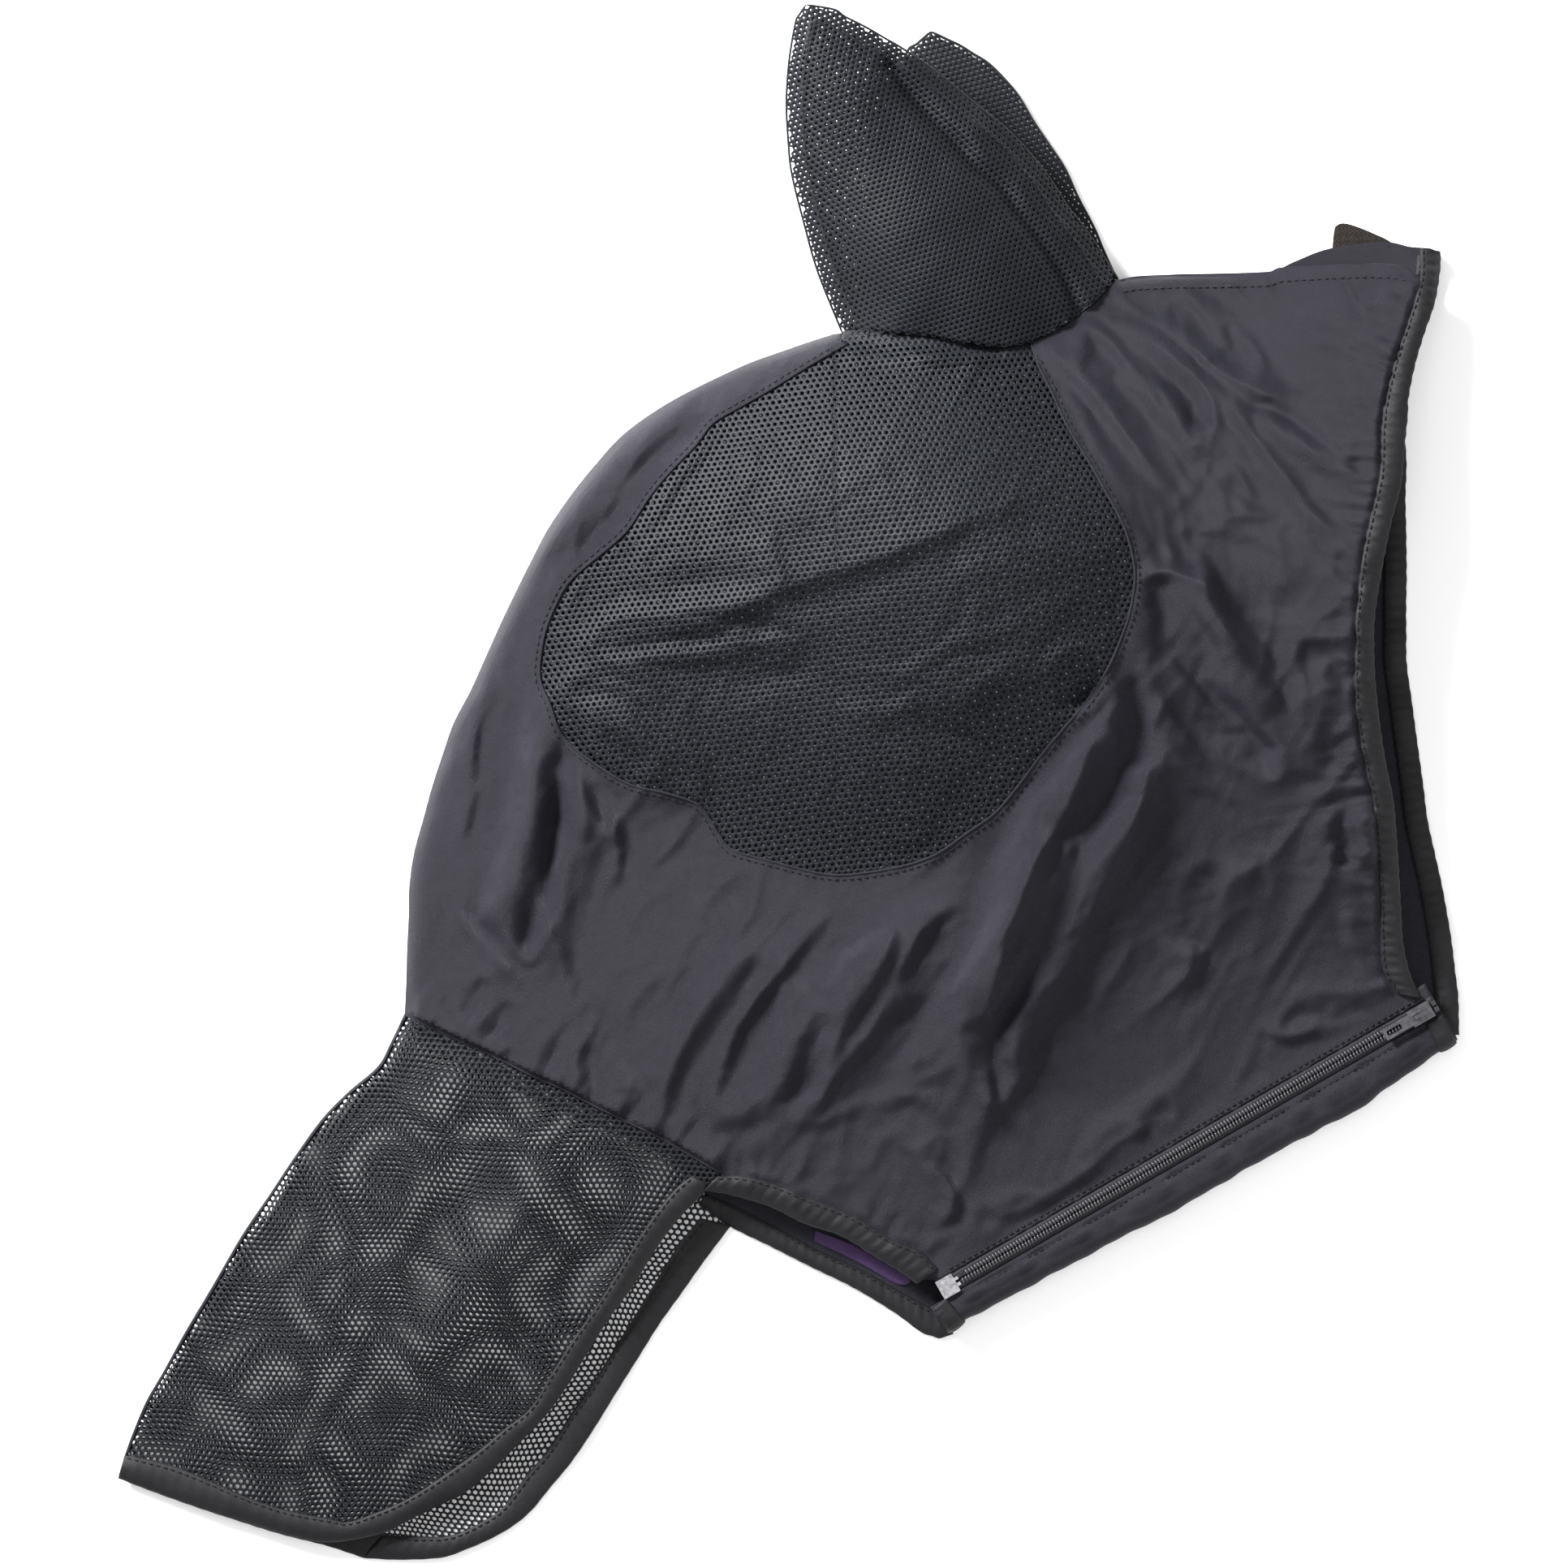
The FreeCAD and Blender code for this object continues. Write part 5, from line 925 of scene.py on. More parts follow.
# ------------------------------------------------------------------ cloth simulation
CLOTH_SCALE = 0.01     # simulated ten times too large, which the solver prefers
CLOTH_STEP = 4.0       # mm between cloth points
CLOTH_FRAMES = 26
CLOTH_GAP = 0.008      # collision distance, in simulated units
CLOTH_GROW = 0.024     # most growth of the cloth, as a part of its size
CLOTH_MOVE = 13.0      # mm, cap on how far a point may move
SUPPORT_DROP = 2.6     # mm from the resting surface down to the support
SUPPORT_STEP = 7.0
SAMPLE_STEP = 2.0
CLOTH_SETTINGS = dict(
    quality=6, mass=0.2, air_damping=2.0,
    tension_stiffness=25, compression_stiffness=25, shear_stiffness=12, bending_stiffness=0.5,
    tension_damping=6, compression_damping=6, shear_damping=6, bending_damping=0.5,
    vertex_group_mass="pin", pin_stiffness=1.0,
    vertex_group_shrink="grow", shrink_min=0.0, shrink_max=-CLOTH_GROW)
PIN_CURVES = [(amp, width, curve(line, 5.0)) for amp, width, line in FOLDS]


def left_pins(pts):
    """1 at the sewn edge, a little round the eye opening and along the folds."""
    pins = 1 - ease((dist_to(pts, LEFT_LOOP, True) - 1.0) / 6.0)
    pins = np.maximum(pins, 0.10 * np.exp(-(dist_to(pts, EYE) / 6.0) ** 2))
    soft = np.full(len(pts), 0.012)
    for amp, width, line in PIN_CURVES:
        hold = min(0.07, 0.012 + 0.008 * abs(amp))
        soft = np.maximum(soft, hold * np.exp(-(dist_to(pts, line) / (0.9 * width)) ** 2))
    return np.clip(np.maximum(pins, soft), 0, 1)


def left_slack(pts):
    """Loose cloth: little in the stiff eye net, more in the cheek and by the seams."""
    x, y = pts[:, 0], pts[:, 1]
    slack = np.where(inside(pts, EYE_LOOP), 0.22, np.full(len(pts), 0.55))
    slack = slack + 0.45 * np.exp(-((x - 235) ** 2 + (y - 10) ** 2) / 85.0 ** 2)
    slack = slack + 0.35 * np.exp(-((x + 140) ** 2 + (y + 90) ** 2) / 60.0 ** 2)
    for line in (LEFT_RIM[4], SEAM):  # throat edge and nose seam
        slack = slack + 0.35 * np.exp(-(dist_to(pts, line) / 22.0) ** 2)
    return np.clip(np.where(y > 235, 0.3, slack), 0, 1)


def link_mesh(name, verts, faces):
    mesh = bpy.data.meshes.new(name)
    mesh.from_pydata(verts.tolist(), [], faces)
    mesh.update()
    ob = bpy.data.objects.new(name, mesh)
    bpy.context.scene.collection.objects.link(ob)
    return ob


def make_support(name, lo, hi):
    """Collision surface under the cloth."""
    gx, gy, pts = grid(lo, hi, SUPPORT_STEP)
    z = base_height(pts, False) - SUPPORT_DROP
    faces = grid_faces(len(gx), len(gy))
    ob = link_mesh(name, np.column_stack([pts, z]) * CLOTH_SCALE, faces)
    ob.modifiers.new("hit", "COLLISION")
    ob.collision.thickness_outer = CLOTH_GAP
    ob.collision.cloth_friction = 12.0
    return ob


def drape(name, loop):
    """Simulates the left panel as cloth, held at its edge and lying on a support.

    Returns the change of height it makes, as a function of place."""
    flat, tris = plane_mesh(loop, CLOTH_STEP, ())
    z = base_fast(flat)
    face_up(flat, tris)
    pins = left_pins(flat)
    start_z = z + 0.25 * fbm(flat, 16.0, 21.7, 2) * (1 - pins)
    ob = link_mesh(name, np.column_stack([flat, start_z]) * CLOTH_SCALE, tris.tolist())
    pin_group = ob.vertex_groups.new(name="pin")
    for i, weight in enumerate(pins):
        if weight > 0.001:
            pin_group.add([i], float(weight), "REPLACE")
    lo, hi = loop.min(0) - 25, loop.max(0) + 25
    support = make_support(name + "_support", lo, hi)
    mod = ob.modifiers.new("cloth", "CLOTH")
    grow_group = ob.vertex_groups.new(name="grow")
    for i, weight in enumerate(left_slack(flat)):
        grow_group.add([i], float(weight), "REPLACE")
    for key, value in CLOTH_SETTINGS.items():
        setattr(mod.settings, key, value)
    mod.settings.effector_weights.gravity = 0.25
    hits = mod.collision_settings
    hits.use_collision = True
    hits.distance_min = CLOTH_GAP
    hits.collision_quality = 2
    hits.use_self_collision = False
    mod.point_cache.frame_start = 1
    mod.point_cache.frame_end = CLOTH_FRAMES
    scene = bpy.context.scene
    scene.frame_start, scene.frame_end = 1, CLOTH_FRAMES
    for frame_number in range(1, CLOTH_FRAMES + 1):
        scene.frame_set(frame_number)
    settled = ob.evaluated_get(bpy.context.evaluated_depsgraph_get())
    out = np.empty(len(settled.data.vertices) * 3, dtype=np.float32)
    settled.data.vertices.foreach_get("co", out)
    out = out.reshape(-1, 3).astype(float) / CLOTH_SCALE
    scene.frame_set(1)
    bpy.data.objects.remove(ob)
    bpy.data.objects.remove(support)

    # cap the move, then sample on a grid from above
    rest = np.column_stack([flat, z])
    move = out - rest
    size = np.linalg.norm(move, axis=1, keepdims=True)
    out = rest + move * np.minimum(1, CLOTH_MOVE / np.maximum(size, 1e-9))
    tree = bvhtree.BVHTree.FromPolygons([Vector(p) for p in out], tris.tolist())
    gx, gy, pts = grid(lo, hi, SAMPLE_STEP)
    base = base_fast(pts)
    change = np.zeros(len(pts))
    within = inside(pts, loop)
    down = Vector((0, 0, -1))
    for i in np.nonzero(within)[0]:
        hit = tree.ray_cast(Vector((pts[i, 0], pts[i, 1], 400.0)), down)
        if hit[0] is not None:
            change[i] = hit[0].z - base[i]
    change *= np.where(within, ease(dist_to(pts, loop, True) / 5.0), 0)
    change = change.reshape(len(gx), len(gy))
    change[1:-1, 1:-1] = (4 * change[1:-1, 1:-1] + change[:-2, 1:-1] + change[2:, 1:-1]
                          + change[1:-1, :-2] + change[1:-1, 2:]) / 8.0
    return grid_lookup(gx, gy, SAMPLE_STEP, change)


# ------------------------------------------------------------------ left panel, finished
def panel_on_left(line):
    """The same line, run so that the panel is on its left."""
    i = len(line) // 2
    step = line[i + 1] - line[i - 1]
    beside = line[i] + 4.0 * np.array([-step[1], step[0]]) / np.linalg.norm(step)
    beside = np.array([beside])
    deeper = (dist_to(beside, LEFT_LOOP, True)[0]
              > dist_to(line[i:i + 1], LEFT_LOOP, True)[0] - 2.0)
    return line if inside(beside, LEFT_LOOP)[0] and deeper else line[::-1]


# Puckers along sewn lines: line, height, spacing, reach, seed, distance to full height.
THROAT_SEWN, MUZZLE_SEWN, NOSE_SEWN = map(panel_on_left, (THROAT_NEAR_IN, MUZZLE_NEAR_IN, SEAM))
GATHERS = [
    (THROAT_SEWN, 1.3, 8.0, 15.0, 101, 2.5),
    (THROAT_SEWN, 1.3, 19.0, 36.0, 111, 2.5),
    (MUZZLE_SEWN, 1.2, 9.0, 14.0, 121, 2.5),
    (NOSE_SEWN, 1.9, 11.0, 15.0, 131, 1.5),
    (NOSE_SEWN, 2.6, 24.0, 36.0, 141, 3.0),
]
# Small creases by region: height, direction in degrees, width, length, seed, sharpness.
CHEEK_CREASES = [(1.9, 58, 22.0, 80.0, 201, 1.6), (0.45, 68, 10.0, 34.0, 211, 2.0),
                 (0.35, 30, 12.0, 38.0, 216, 2.0)]
NECK_CREASES = [(1.6, -52, 20.0, 64.0, 221, 1.6), (0.45, -75, 10.0, 32.0, 231, 2.0)]
FACE_CREASES = [(1.2, 78, 15.0, 50.0, 241, 1.6), (0.4, 60, 9.0, 26.0, 251, 2.0)]


def gather_along(pts, line, amp, period, reach, seed, lead):
    """Uneven puckers standing square to a sewn line, on its left-hand side."""
    dist, side, along, length = measure(pts, line)
    coarse = pnoise(along / period, dist / (reach * 1.7), seed)
    fine = pnoise(along / (period * 0.45) + 5.1, dist / (reach * 1.1), seed + 7)
    wave = (1 - np.abs(coarse) * 3.2) + 0.45 * (1 - np.abs(fine) * 3.0)
    fade = (ease(dist / lead) * np.exp(-(dist / reach) ** 1.5)
            * ease(np.minimum(along, length - along) / 8.0))
    fade = fade * (0.55 + 0.9 * np.clip(pnoise(along / 31.0, along * 0 + 0.5, seed + 3) + 0.4, 0, 1))
    return np.where(side > 0, amp * wave * fade, 0.0)


def crease_sum(pts, rows):
    return sum(amp * creases(pts, math.radians(degrees), wide, long, seed, sharp)
               for amp, degrees, wide, long, seed, sharp in rows)


def wrinkles(pts):
    """Small creases of the stretch knit: up the cheek, across the neck, down the face edge."""
    neck = ease((pts[:, 1] - 60.0) / 70.0) * ease((pts[:, 0] - 120.0) / 50.0)
    face = ease((-60.0 - pts[:, 0]) / 50.0)
    cheek = np.clip(1 - neck - face, 0, 1)
    z = cheek * crease_sum(pts, CHEEK_CREASES)
    z = z + neck * crease_sum(pts, NECK_CREASES)
    z = z + face * crease_sum(pts, FACE_CREASES)
    across = (pts - ZIP_START) @ ZIP_ACROSS
    calm = np.where(inside(pts, EYE_LOOP), 0.35, 1.0)
    calm = calm * (0.35 * ease((across - 14.0) / 14.0) + 0.65 * ease((across - 30.0) / 60.0))
    return z * calm * ease(dist_to(pts, LEFT_LOOP, True) / 9.0)


def sharp_folds(pts):
    """Creases that fall away steeply on their left-hand side and gently on the other."""
    out = np.zeros(len(pts))
    for amp, steep, soft, line in SHARP:
        near = near_box(pts, line, 4 * soft)
        here = pts[near]
        dist, side, along, length = measure(here, line)
        dist = dist + 0.8 * pnoise(here[:, 0] / 9.0, here[:, 1] / 9.0, 301)
        part = along / length
        ends = ease(np.minimum(part, 1 - part) / 0.3)
        width = np.where(side > 0, steep, soft)
        crest = np.exp(-np.maximum(dist, 0) ** 1.5 / width ** 1.5)
        trough = 0.25 * amp * ends * np.exp(-((dist - 2.6 * steep) / (1.5 * steep)) ** 2)
        out[near] += amp * ends * crest - np.where(side > 0, trough, 0)
    return out * ease((dist_to(pts, LEFT_LOOP, True) + 1.0) / 8.0)


cloth_change = None
cloth_change = drape("left_cloth", LEFT_LOOP)


def full_height(pts):
    z = base_fast(pts)
    # the stiff eye net takes only part of the broad folds
    eye_depth = np.where(inside(pts, EYE_LOOP), dist_to(pts, EYE_LOOP, True), 0.0)
    z = z - 0.6 * ease(eye_depth / 14.0) * (z - left_plain(pts))
    z = z + sum(gather_along(pts, *row) for row in GATHERS) + wrinkles(pts) + sharp_folds(pts)
    if cloth_change is not None:
        z = z + cloth_change(pts)
    return np.maximum(z, 1.4)


left_height = tabulate(full_height, 1.5)


# ------------------------------------------------------------------ materials
def new_material(name, color, rough):
    mat = bpy.data.materials.new(name)
    mat.use_nodes = True
    tree = mat.node_tree
    shader = tree.nodes["Principled BSDF"]
    shader.inputs["Base Color"].default_value = (*color, 1)
    shader.inputs["Roughness"].default_value = rough
    return mat, tree, shader


def coords(tree, turn=(0, 0, 0)):
    source = tree.nodes.new("ShaderNodeTexCoord")
    mapping = tree.nodes.new("ShaderNodeMapping")
    mapping.inputs["Rotation"].default_value = turn
    tree.links.new(source.outputs["Object"], mapping.inputs["Vector"])
    return mapping.outputs["Vector"]


def noise_node(tree, vector, scale, detail=3.0, rough=0.55):
    node = tree.nodes.new("ShaderNodeTexNoise")
    node.inputs["Scale"].default_value = scale
    node.inputs["Detail"].default_value = detail
    node.inputs["Roughness"].default_value = rough
    tree.links.new(vector, node.inputs["Vector"])
    return node.outputs["Fac"]


def ramp(tree, factor, dark, light, start, end):
    node = tree.nodes.new("ShaderNodeValToRGB")
    first, last = node.color_ramp.elements
    first.position = start
    last.position = end
    first.color = (*dark, 1)
    last.color = (*light, 1)
    tree.links.new(factor, node.inputs["Fac"])
    return node.outputs["Color"]


def to_range(tree, factor, low, high):
    node = tree.nodes.new("ShaderNodeMapRange")
    node.inputs["To Min"].default_value = low
    node.inputs["To Max"].default_value = high
    tree.links.new(factor, node.inputs["Value"])
    return node.outputs["Result"]


def bump(tree, shader, height, strength, distance):
    node = tree.nodes.new("ShaderNodeBump")
    node.inputs["Strength"].default_value = strength
    node.inputs["Distance"].default_value = distance
    tree.links.new(height, node.inputs["Height"])
    tree.links.new(node.outputs["Normal"], shader.inputs["Normal"])


def wave_node(tree, vector, scale, direction):
    node = tree.nodes.new("ShaderNodeTexWave")
    node.wave_type = "BANDS"
    node.bands_direction = direction
    node.inputs["Scale"].default_value = scale
    node.inputs["Distortion"].default_value = 0.6
    node.inputs["Detail"].default_value = 1.0
    node.inputs["Detail Scale"].default_value = 3.0
    tree.links.new(vector, node.inputs["Vector"])
    return node.outputs["Fac"]


def math_node(tree, operation, *values):
    node = tree.nodes.new("ShaderNodeMath")
    node.operation = operation
    for socket, value in zip(node.inputs, values):
        if isinstance(value, (int, float)):
            socket.default_value = value
        else:
            tree.links.new(value, socket)
    return node.outputs[0]


def fabric(name, dark, light, rough, sheen, weave, relief, specular, patches,
           tint=(0.8, 0.85, 1.0)):
    """Woven or knitted cloth, or plain nylon when relief is small.

    rough: range of roughness; weave: thread frequency; relief: bump strength;
    patches: frequency of the broad colour changes; tint: colour of the sheen."""
    mat, tree, shader = new_material(name, light, 0.7)

    def add(a, b):
        return math_node(tree, "ADD", a, b)

    def times(a, b):
        return math_node(tree, "MULTIPLY", a, b)

    vector = coords(tree)
    broad = noise_node(tree, vector, patches, 5.0, 0.6)
    medium = noise_node(tree, vector, 220.0, 2.0)
    fine = noise_node(tree, vector, 1400.0, 1.0, 0.5)
    mix = add(add(times(broad, 0.45), times(medium, 0.2)), times(fine, 0.55))
    tree.links.new(ramp(tree, mix, dark, light, 0.42, 0.78), shader.inputs["Base Color"])
    tree.links.new(to_range(tree, broad, *rough), shader.inputs["Roughness"])
    grain = noise_node(tree, vector, 1100.0, 1.0, 0.5)
    wave_a = wave_node(tree, vector, weave, "DIAGONAL")
    wave_b = wave_node(tree, coords(tree, turn=(0, 0, 0.6)), weave * 1.1, "X")
    height = add(add(times(wave_a, 0.4), times(wave_b, 0.4)),
                 add(times(medium, 0.5), times(grain, 1.3)))
    bump(tree, shader, height, strength=relief, distance=0.0004)
    shader.inputs["Sheen Weight"].default_value = sheen
    shader.inputs["Sheen Roughness"].default_value = 0.35
    shader.inputs["Sheen Tint"].default_value = (*tint, 1)
    shader.inputs["Specular IOR Level"].default_value = specular
    return mat


def netting(name, color, specular):
    mat, tree, shader = new_material(name, color, 0.7)
    vector = coords(tree)
    broad = noise_node(tree, vector, 60.0)
    fine = noise_node(tree, vector, 900.0, 2.0)
    tree.links.new(to_range(tree, broad, 0.46, 0.62), shader.inputs["Roughness"])
    bump(tree, shader, fine, strength=0.25, distance=0.0003)
    shader.inputs["Sheen Weight"].default_value = 0.02
    shader.inputs["Sheen Roughness"].default_value = 0.4
    shader.inputs["Specular IOR Level"].default_value = specular
    return mat


def metal(name, color, color_rough, dark, light, stain, rough, scratch, metallic):
    """Mottled metal. stain: noise scale, detail and end of the colour ramp;
    rough: range of roughness; scratch: scale of the noise that drives it."""
    mat, tree, shader = new_material(name, color, color_rough)
    vector = coords(tree)
    scale, detail, end = stain
    mottle = noise_node(tree, vector, scale, detail)
    tree.links.new(ramp(tree, mottle, dark, light, 0.3, end), shader.inputs["Base Color"])
    wear = noise_node(tree, vector, scratch, 2.0)
    tree.links.new(to_range(tree, wear, *rough), shader.inputs["Roughness"])
    shader.inputs["Metallic"].default_value = metallic
    return mat


KNIT = fabric(
    "stretch_knit", dark=(0.0066, 0.0063, 0.0098), light=(0.0160, 0.0154, 0.0226),
    rough=(0.44, 0.58), sheen=0.03, weave=900.0, relief=0.6, specular=0.16, patches=14.0,
    tint=(0.75, 0.75, 1.0))
BINDING = fabric(
    "binding_tape", dark=(0.0052, 0.0052, 0.0060), light=(0.0120, 0.0118, 0.0138),
    rough=(0.5, 0.62), sheen=0.04, weave=500.0, relief=0.35, specular=0.2, patches=30.0)
ZIP_TAPE = fabric(
    "zip_tape_weave", dark=(0.0080, 0.0080, 0.0105), light=(0.0180, 0.0178, 0.0225),
    rough=(0.5, 0.7), sheen=0.05, weave=420.0, relief=0.45, specular=0.22, patches=30.0)
THREAD = fabric(
    "thread", dark=(0.0040, 0.0040, 0.0050), light=(0.0095, 0.0095, 0.0115),
    rough=(0.45, 0.6), sheen=0.04, weave=1200.0, relief=0.5, specular=0.25, patches=60.0)
EYE_NET = netting("eye_netting", color=(0.0092, 0.0105, 0.0140), specular=0.15)
EAR_NET = netting("ear_netting", color=(0.0075, 0.0086, 0.0112), specular=0.12)
NOSE_NET = netting("nose_netting", color=(0.0085, 0.0094, 0.0120), specular=0.13)
COIL = fabric(
    "coil_nylon", dark=(0.034, 0.034, 0.040), light=(0.060, 0.060, 0.068),
    rough=(0.28, 0.40), sheen=0.0, weave=300.0, relief=0.05, specular=0.5, patches=40.0)
PLASTIC = fabric(
    "moulded_plastic", dark=(0.014, 0.014, 0.016), light=(0.026, 0.026, 0.029),
    rough=(0.32, 0.45), sheen=0.0, weave=300.0, relief=0.04, specular=0.4, patches=50.0)
DARK_METAL = metal(
    "lacquered_metal", color=(0.05, 0.05, 0.055), color_rough=0.34,
    dark=(0.055, 0.055, 0.062), light=(0.125, 0.125, 0.14), stain=(300.0, 3.0, 0.8),
    rough=(0.22, 0.40), scratch=700.0, metallic=0.80)
BRIGHT_METAL = metal(
    "bright_box", color=(0.4, 0.4, 0.43), color_rough=0.4,
    dark=(0.17, 0.17, 0.18), light=(0.50, 0.50, 0.53), stain=(400.0, 4.0, 0.75),
    rough=(0.2, 0.42), scratch=900.0, metallic=0.9)
HOOK_LOOP = fabric(
    "hook_and_loop", dark=(0.009, 0.007, 0.006), light=(0.022, 0.017, 0.014),
    rough=(0.7, 0.9), sheen=0.1, weave=260.0, relief=0.9, specular=0.2, patches=40.0,
    tint=(0.8, 0.7, 0.6))
LABEL_CLOTH = fabric(
    "label_cloth", dark=(0.034, 0.017, 0.060), light=(0.058, 0.030, 0.098),
    rough=(0.6, 0.75), sheen=0.05, weave=600.0, relief=0.4, specular=0.25, patches=40.0,
    tint=(0.7, 0.6, 0.9))


# ------------------------------------------------------------------ bodies
def hinge(start_xy, end_xy, near, far, z):
    """Blend start and end: near and far mm to the left of a hinge line's middle."""
    start_xy, end_xy = np.array(start_xy), np.array(end_xy)
    along = (end_xy - start_xy) / np.linalg.norm(end_xy - start_xy)
    normal = np.array([-along[1], along[0]])
    middle = (start_xy + end_xy) / 2
    return [Vector((*((middle + normal * dist) * MM), z * MM)) for dist in (near, far)]


HINGES = {
    "left_ear": hinge((31.71, 228.69), (165.27, 253.05), 10, 50, 30),
    "nose_flap": hinge((-37.17, -199.29), (-198.45, -118.65), 14, 62, 15),
    "poll_tab": hinge((284.55, 282.45), (312.9, 284.97), 0, 4, 1),
}


def fit(ob, body, material, node=None):
    """Gives a piece its material and hides the CAD node it replaces. A piece of a body without a hinge
    is attached to that body; a piece of a hinged body only has its placing baked into its mesh.
    """
    ob.data.materials.clear()
    ob.data.materials.append(material)
    if node:
        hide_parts(node)
    if body in HINGES:
        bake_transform(ob)
    else:
        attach(ob, body)


# ------------------------------------------------------------------ right panel, on the floor
STRIP_RADIUS = 7.4    # of the fold beside the zip
STRIP_BOTTOM = 0.55
FAR_CORNER = (-36.0, -220.5)
THROAT_FAR_COARSE = curve(THROAT_FAR_OUT, 4.0)


def right_height(pts):
    x, y = pts[:, 0], pts[:, 1]
    z = 1.0 + 0.35 * (1 + np.sin(x / 19.0 + np.sin(y / 23.0))) + 0.25 * (1 + np.sin(y / 15.0))
    # ripples beside the throat edge
    dist, _, along, _ = measure(pts, THROAT_FAR_COARSE)
    ripple = 1 + np.sin(along / 7.5 + 1.4 * np.sin(along / 31.0))
    return z + 1.1 * np.exp(-(dist / 26.0) ** 2) * ripple


def strip_frame(i, span=1):
    """Point i on the strip's folded edge, direction along it, direction to the zip."""
    along = STRIP[min(i + span, len(STRIP) - 1)] - STRIP[max(i - span, 0)]
    along = along / np.linalg.norm(along)
    return STRIP[i], along, np.array([-along[1], along[0]])


def strip_ring(i):
    """Section of the strip: from the floor round the fold and back to the zip tape."""
    point, _, inward = strip_frame(i)
    centre = point + inward * STRIP_RADIUS
    along = (centre - ZIP_START) @ ZIP_ALONG
    edge = zip_xy(along, -5.0)
    ripple = (0.55 * math.sin(along / 5.1 + 2.2 * math.sin(along / 29.0))
              + 0.4 * math.sin(along / 2.6 + 1.0))
    profile = [(-3.0, 0.9), (0.0, STRIP_BOTTOM)]
    for degrees in np.linspace(-90, 90, 17)[1:-1]:
        turn = math.radians(degrees)
        profile.append((STRIP_RADIUS * math.cos(turn),
                        STRIP_BOTTOM + STRIP_RADIUS * (1 + math.sin(turn))))
    ring = []
    for out, z in profile:
        wobble = ripple * 0.5 * max(0.0, math.sin(math.pi * (z / (2 * STRIP_RADIUS + 0.6))))
        ring.append([*(centre - inward * (out + (wobble if out > 0 else 0))), z])
    for part in np.linspace(0, 1, 15):
        rise = math.sin(math.pi * part) * (0.9 + ripple * 0.9)
        groove = 1.5 * math.exp(-((part - 0.72) / 0.1) ** 2) * 0.5
        ring.append([*(centre + (edge - centre) * part), 15.3 - 0.3 * part + rise - groove])
    return ring


def right_panel():
    fold_inner = []
    for i in range(len(STRIP)):
        point, _, inward = strip_frame(i)
        fold_inner.append(point + inward * STRIP_RADIUS)
    loop = loop_of(FACE, FAR_SEAM, curve([FAR_SEAM[-1], FAR_CORNER]),
                   curve([FAR_CORNER] + MUZZLE_FAR_OUT[2:]), fold_inner,
                   curve(THROAT_FAR_OUT, 2.2), POLL_FAR, EAR_BASE)
    flat, tris = plane_mesh(loop, 5.0, (1.0, 2.6), [EYE])
    panel = make("right_panel_flat", np.column_stack([flat, right_height(flat)]), tris)
    rings = np.array([strip_ring(i) for i in range(len(STRIP))])
    strip = make("right_panel_strip", rings.reshape(-1, 3), grid_faces(*rings.shape[:2]))
    bpy.ops.object.select_all(action="DESELECT")
    panel.select_set(True)
    strip.select_set(True)
    bpy.context.view_layer.objects.active = panel
    bpy.ops.object.join()
    thicken(panel, 0.8, -0.2)
    panel.name = "right_panel"
    fit(panel, "mask", KNIT, "right_face_panel")


right_panel()

# ------------------------------------------------------------------ left panel and eye nets
# the eye opening reaches the ear base between these two points of that line
base_start = int(np.argmin(np.linalg.norm(EAR_BASE - EYE[-1], axis=1)))
base_end = int(np.argmin(np.linalg.norm(EAR_BASE - EYE[0], axis=1)))
panel_loop = loop_of(*LEFT_RIM, EAR_BASE[:base_start], EYE[::-1])
fit(sheet("left_panel", panel_loop, left_height, step=2.2, rows=(0.7, 1.8, 3.2, 5.0, 7.4),
          thick=0.9), "mask", KNIT, "left_face_panel")

eye_hole = loop_of(EYE, EAR_BASE[base_start:base_end])
eye_middle = (eye_hole[:, 0].min() + eye_hole[:, 0].max()) / 2
EYE_LAP = 4.5  # how far the near eye net reaches under the panel


def eye_cells(pts):
    """Cells in the opening or under its rim, but none beyond the ear base."""
    within = inside(pts, eye_hole)
    lapped = within | (dist_to(pts, eye_hole, True) < EYE_LAP)
    return lapped & ~(~within & (dist_to(pts, EAR_BASE) < EYE_LAP + 1))


for name, keep, node in (
        ("left_eye_net_a", lambda pts: eye_cells(pts) & (pts[:, 0] < eye_middle),
         "left_eye_mesh"),
        ("left_eye_net_b", lambda pts: eye_cells(pts) & (pts[:, 0] >= eye_middle), None)):
    fit(net(name, eye_hole, keep, lambda pts: left_height(pts) - 1.15,
            pitch=3.3, hole=0.98, angle=0.10, snap=False), "mask", EYE_NET, node)
fit(net("right_eye_net", eye_hole,
        lambda pts: inside(pts, eye_hole) | (dist_to(pts, eye_hole, True) < 4.0),
        lambda pts: right_height(pts) + 0.9,
        pitch=3.3, hole=0.52, angle=0.62, thick=0.4, warp=0.6, snap=False),
    "mask", EYE_NET, "right_eye_mesh")

# ------------------------------------------------------------------ near ear
base_xy = EAR_BASE_STATIONS[::-1]
base_z = left_plain(np.array(base_xy))
ear_top_plate = plate(EAR_RIM + EAR_TOP_MIDDLE
                      + [(x, y, z + 1.3) for (x, y), z in zip(base_xy, base_z)])
ear_low_plate = plate([(x, y, z - EAR_RIM_GAP) for x, y, z in EAR_RIM] + EAR_LOW_MIDDLE
                      + [(x, y, z + 0.3) for (x, y), z in zip(base_xy, base_z)])
ear_loop = loop_of(EAR_FACE_EDGE, EAR_BASE[::-1], EAR_POLL_EDGE)
EAR_SEAM_INSET = 8.4


def ear_edge_dist(pts):
    return np.minimum(dist_to(pts, EAR_FACE_EDGE), dist_to(pts, EAR_POLL_EDGE))


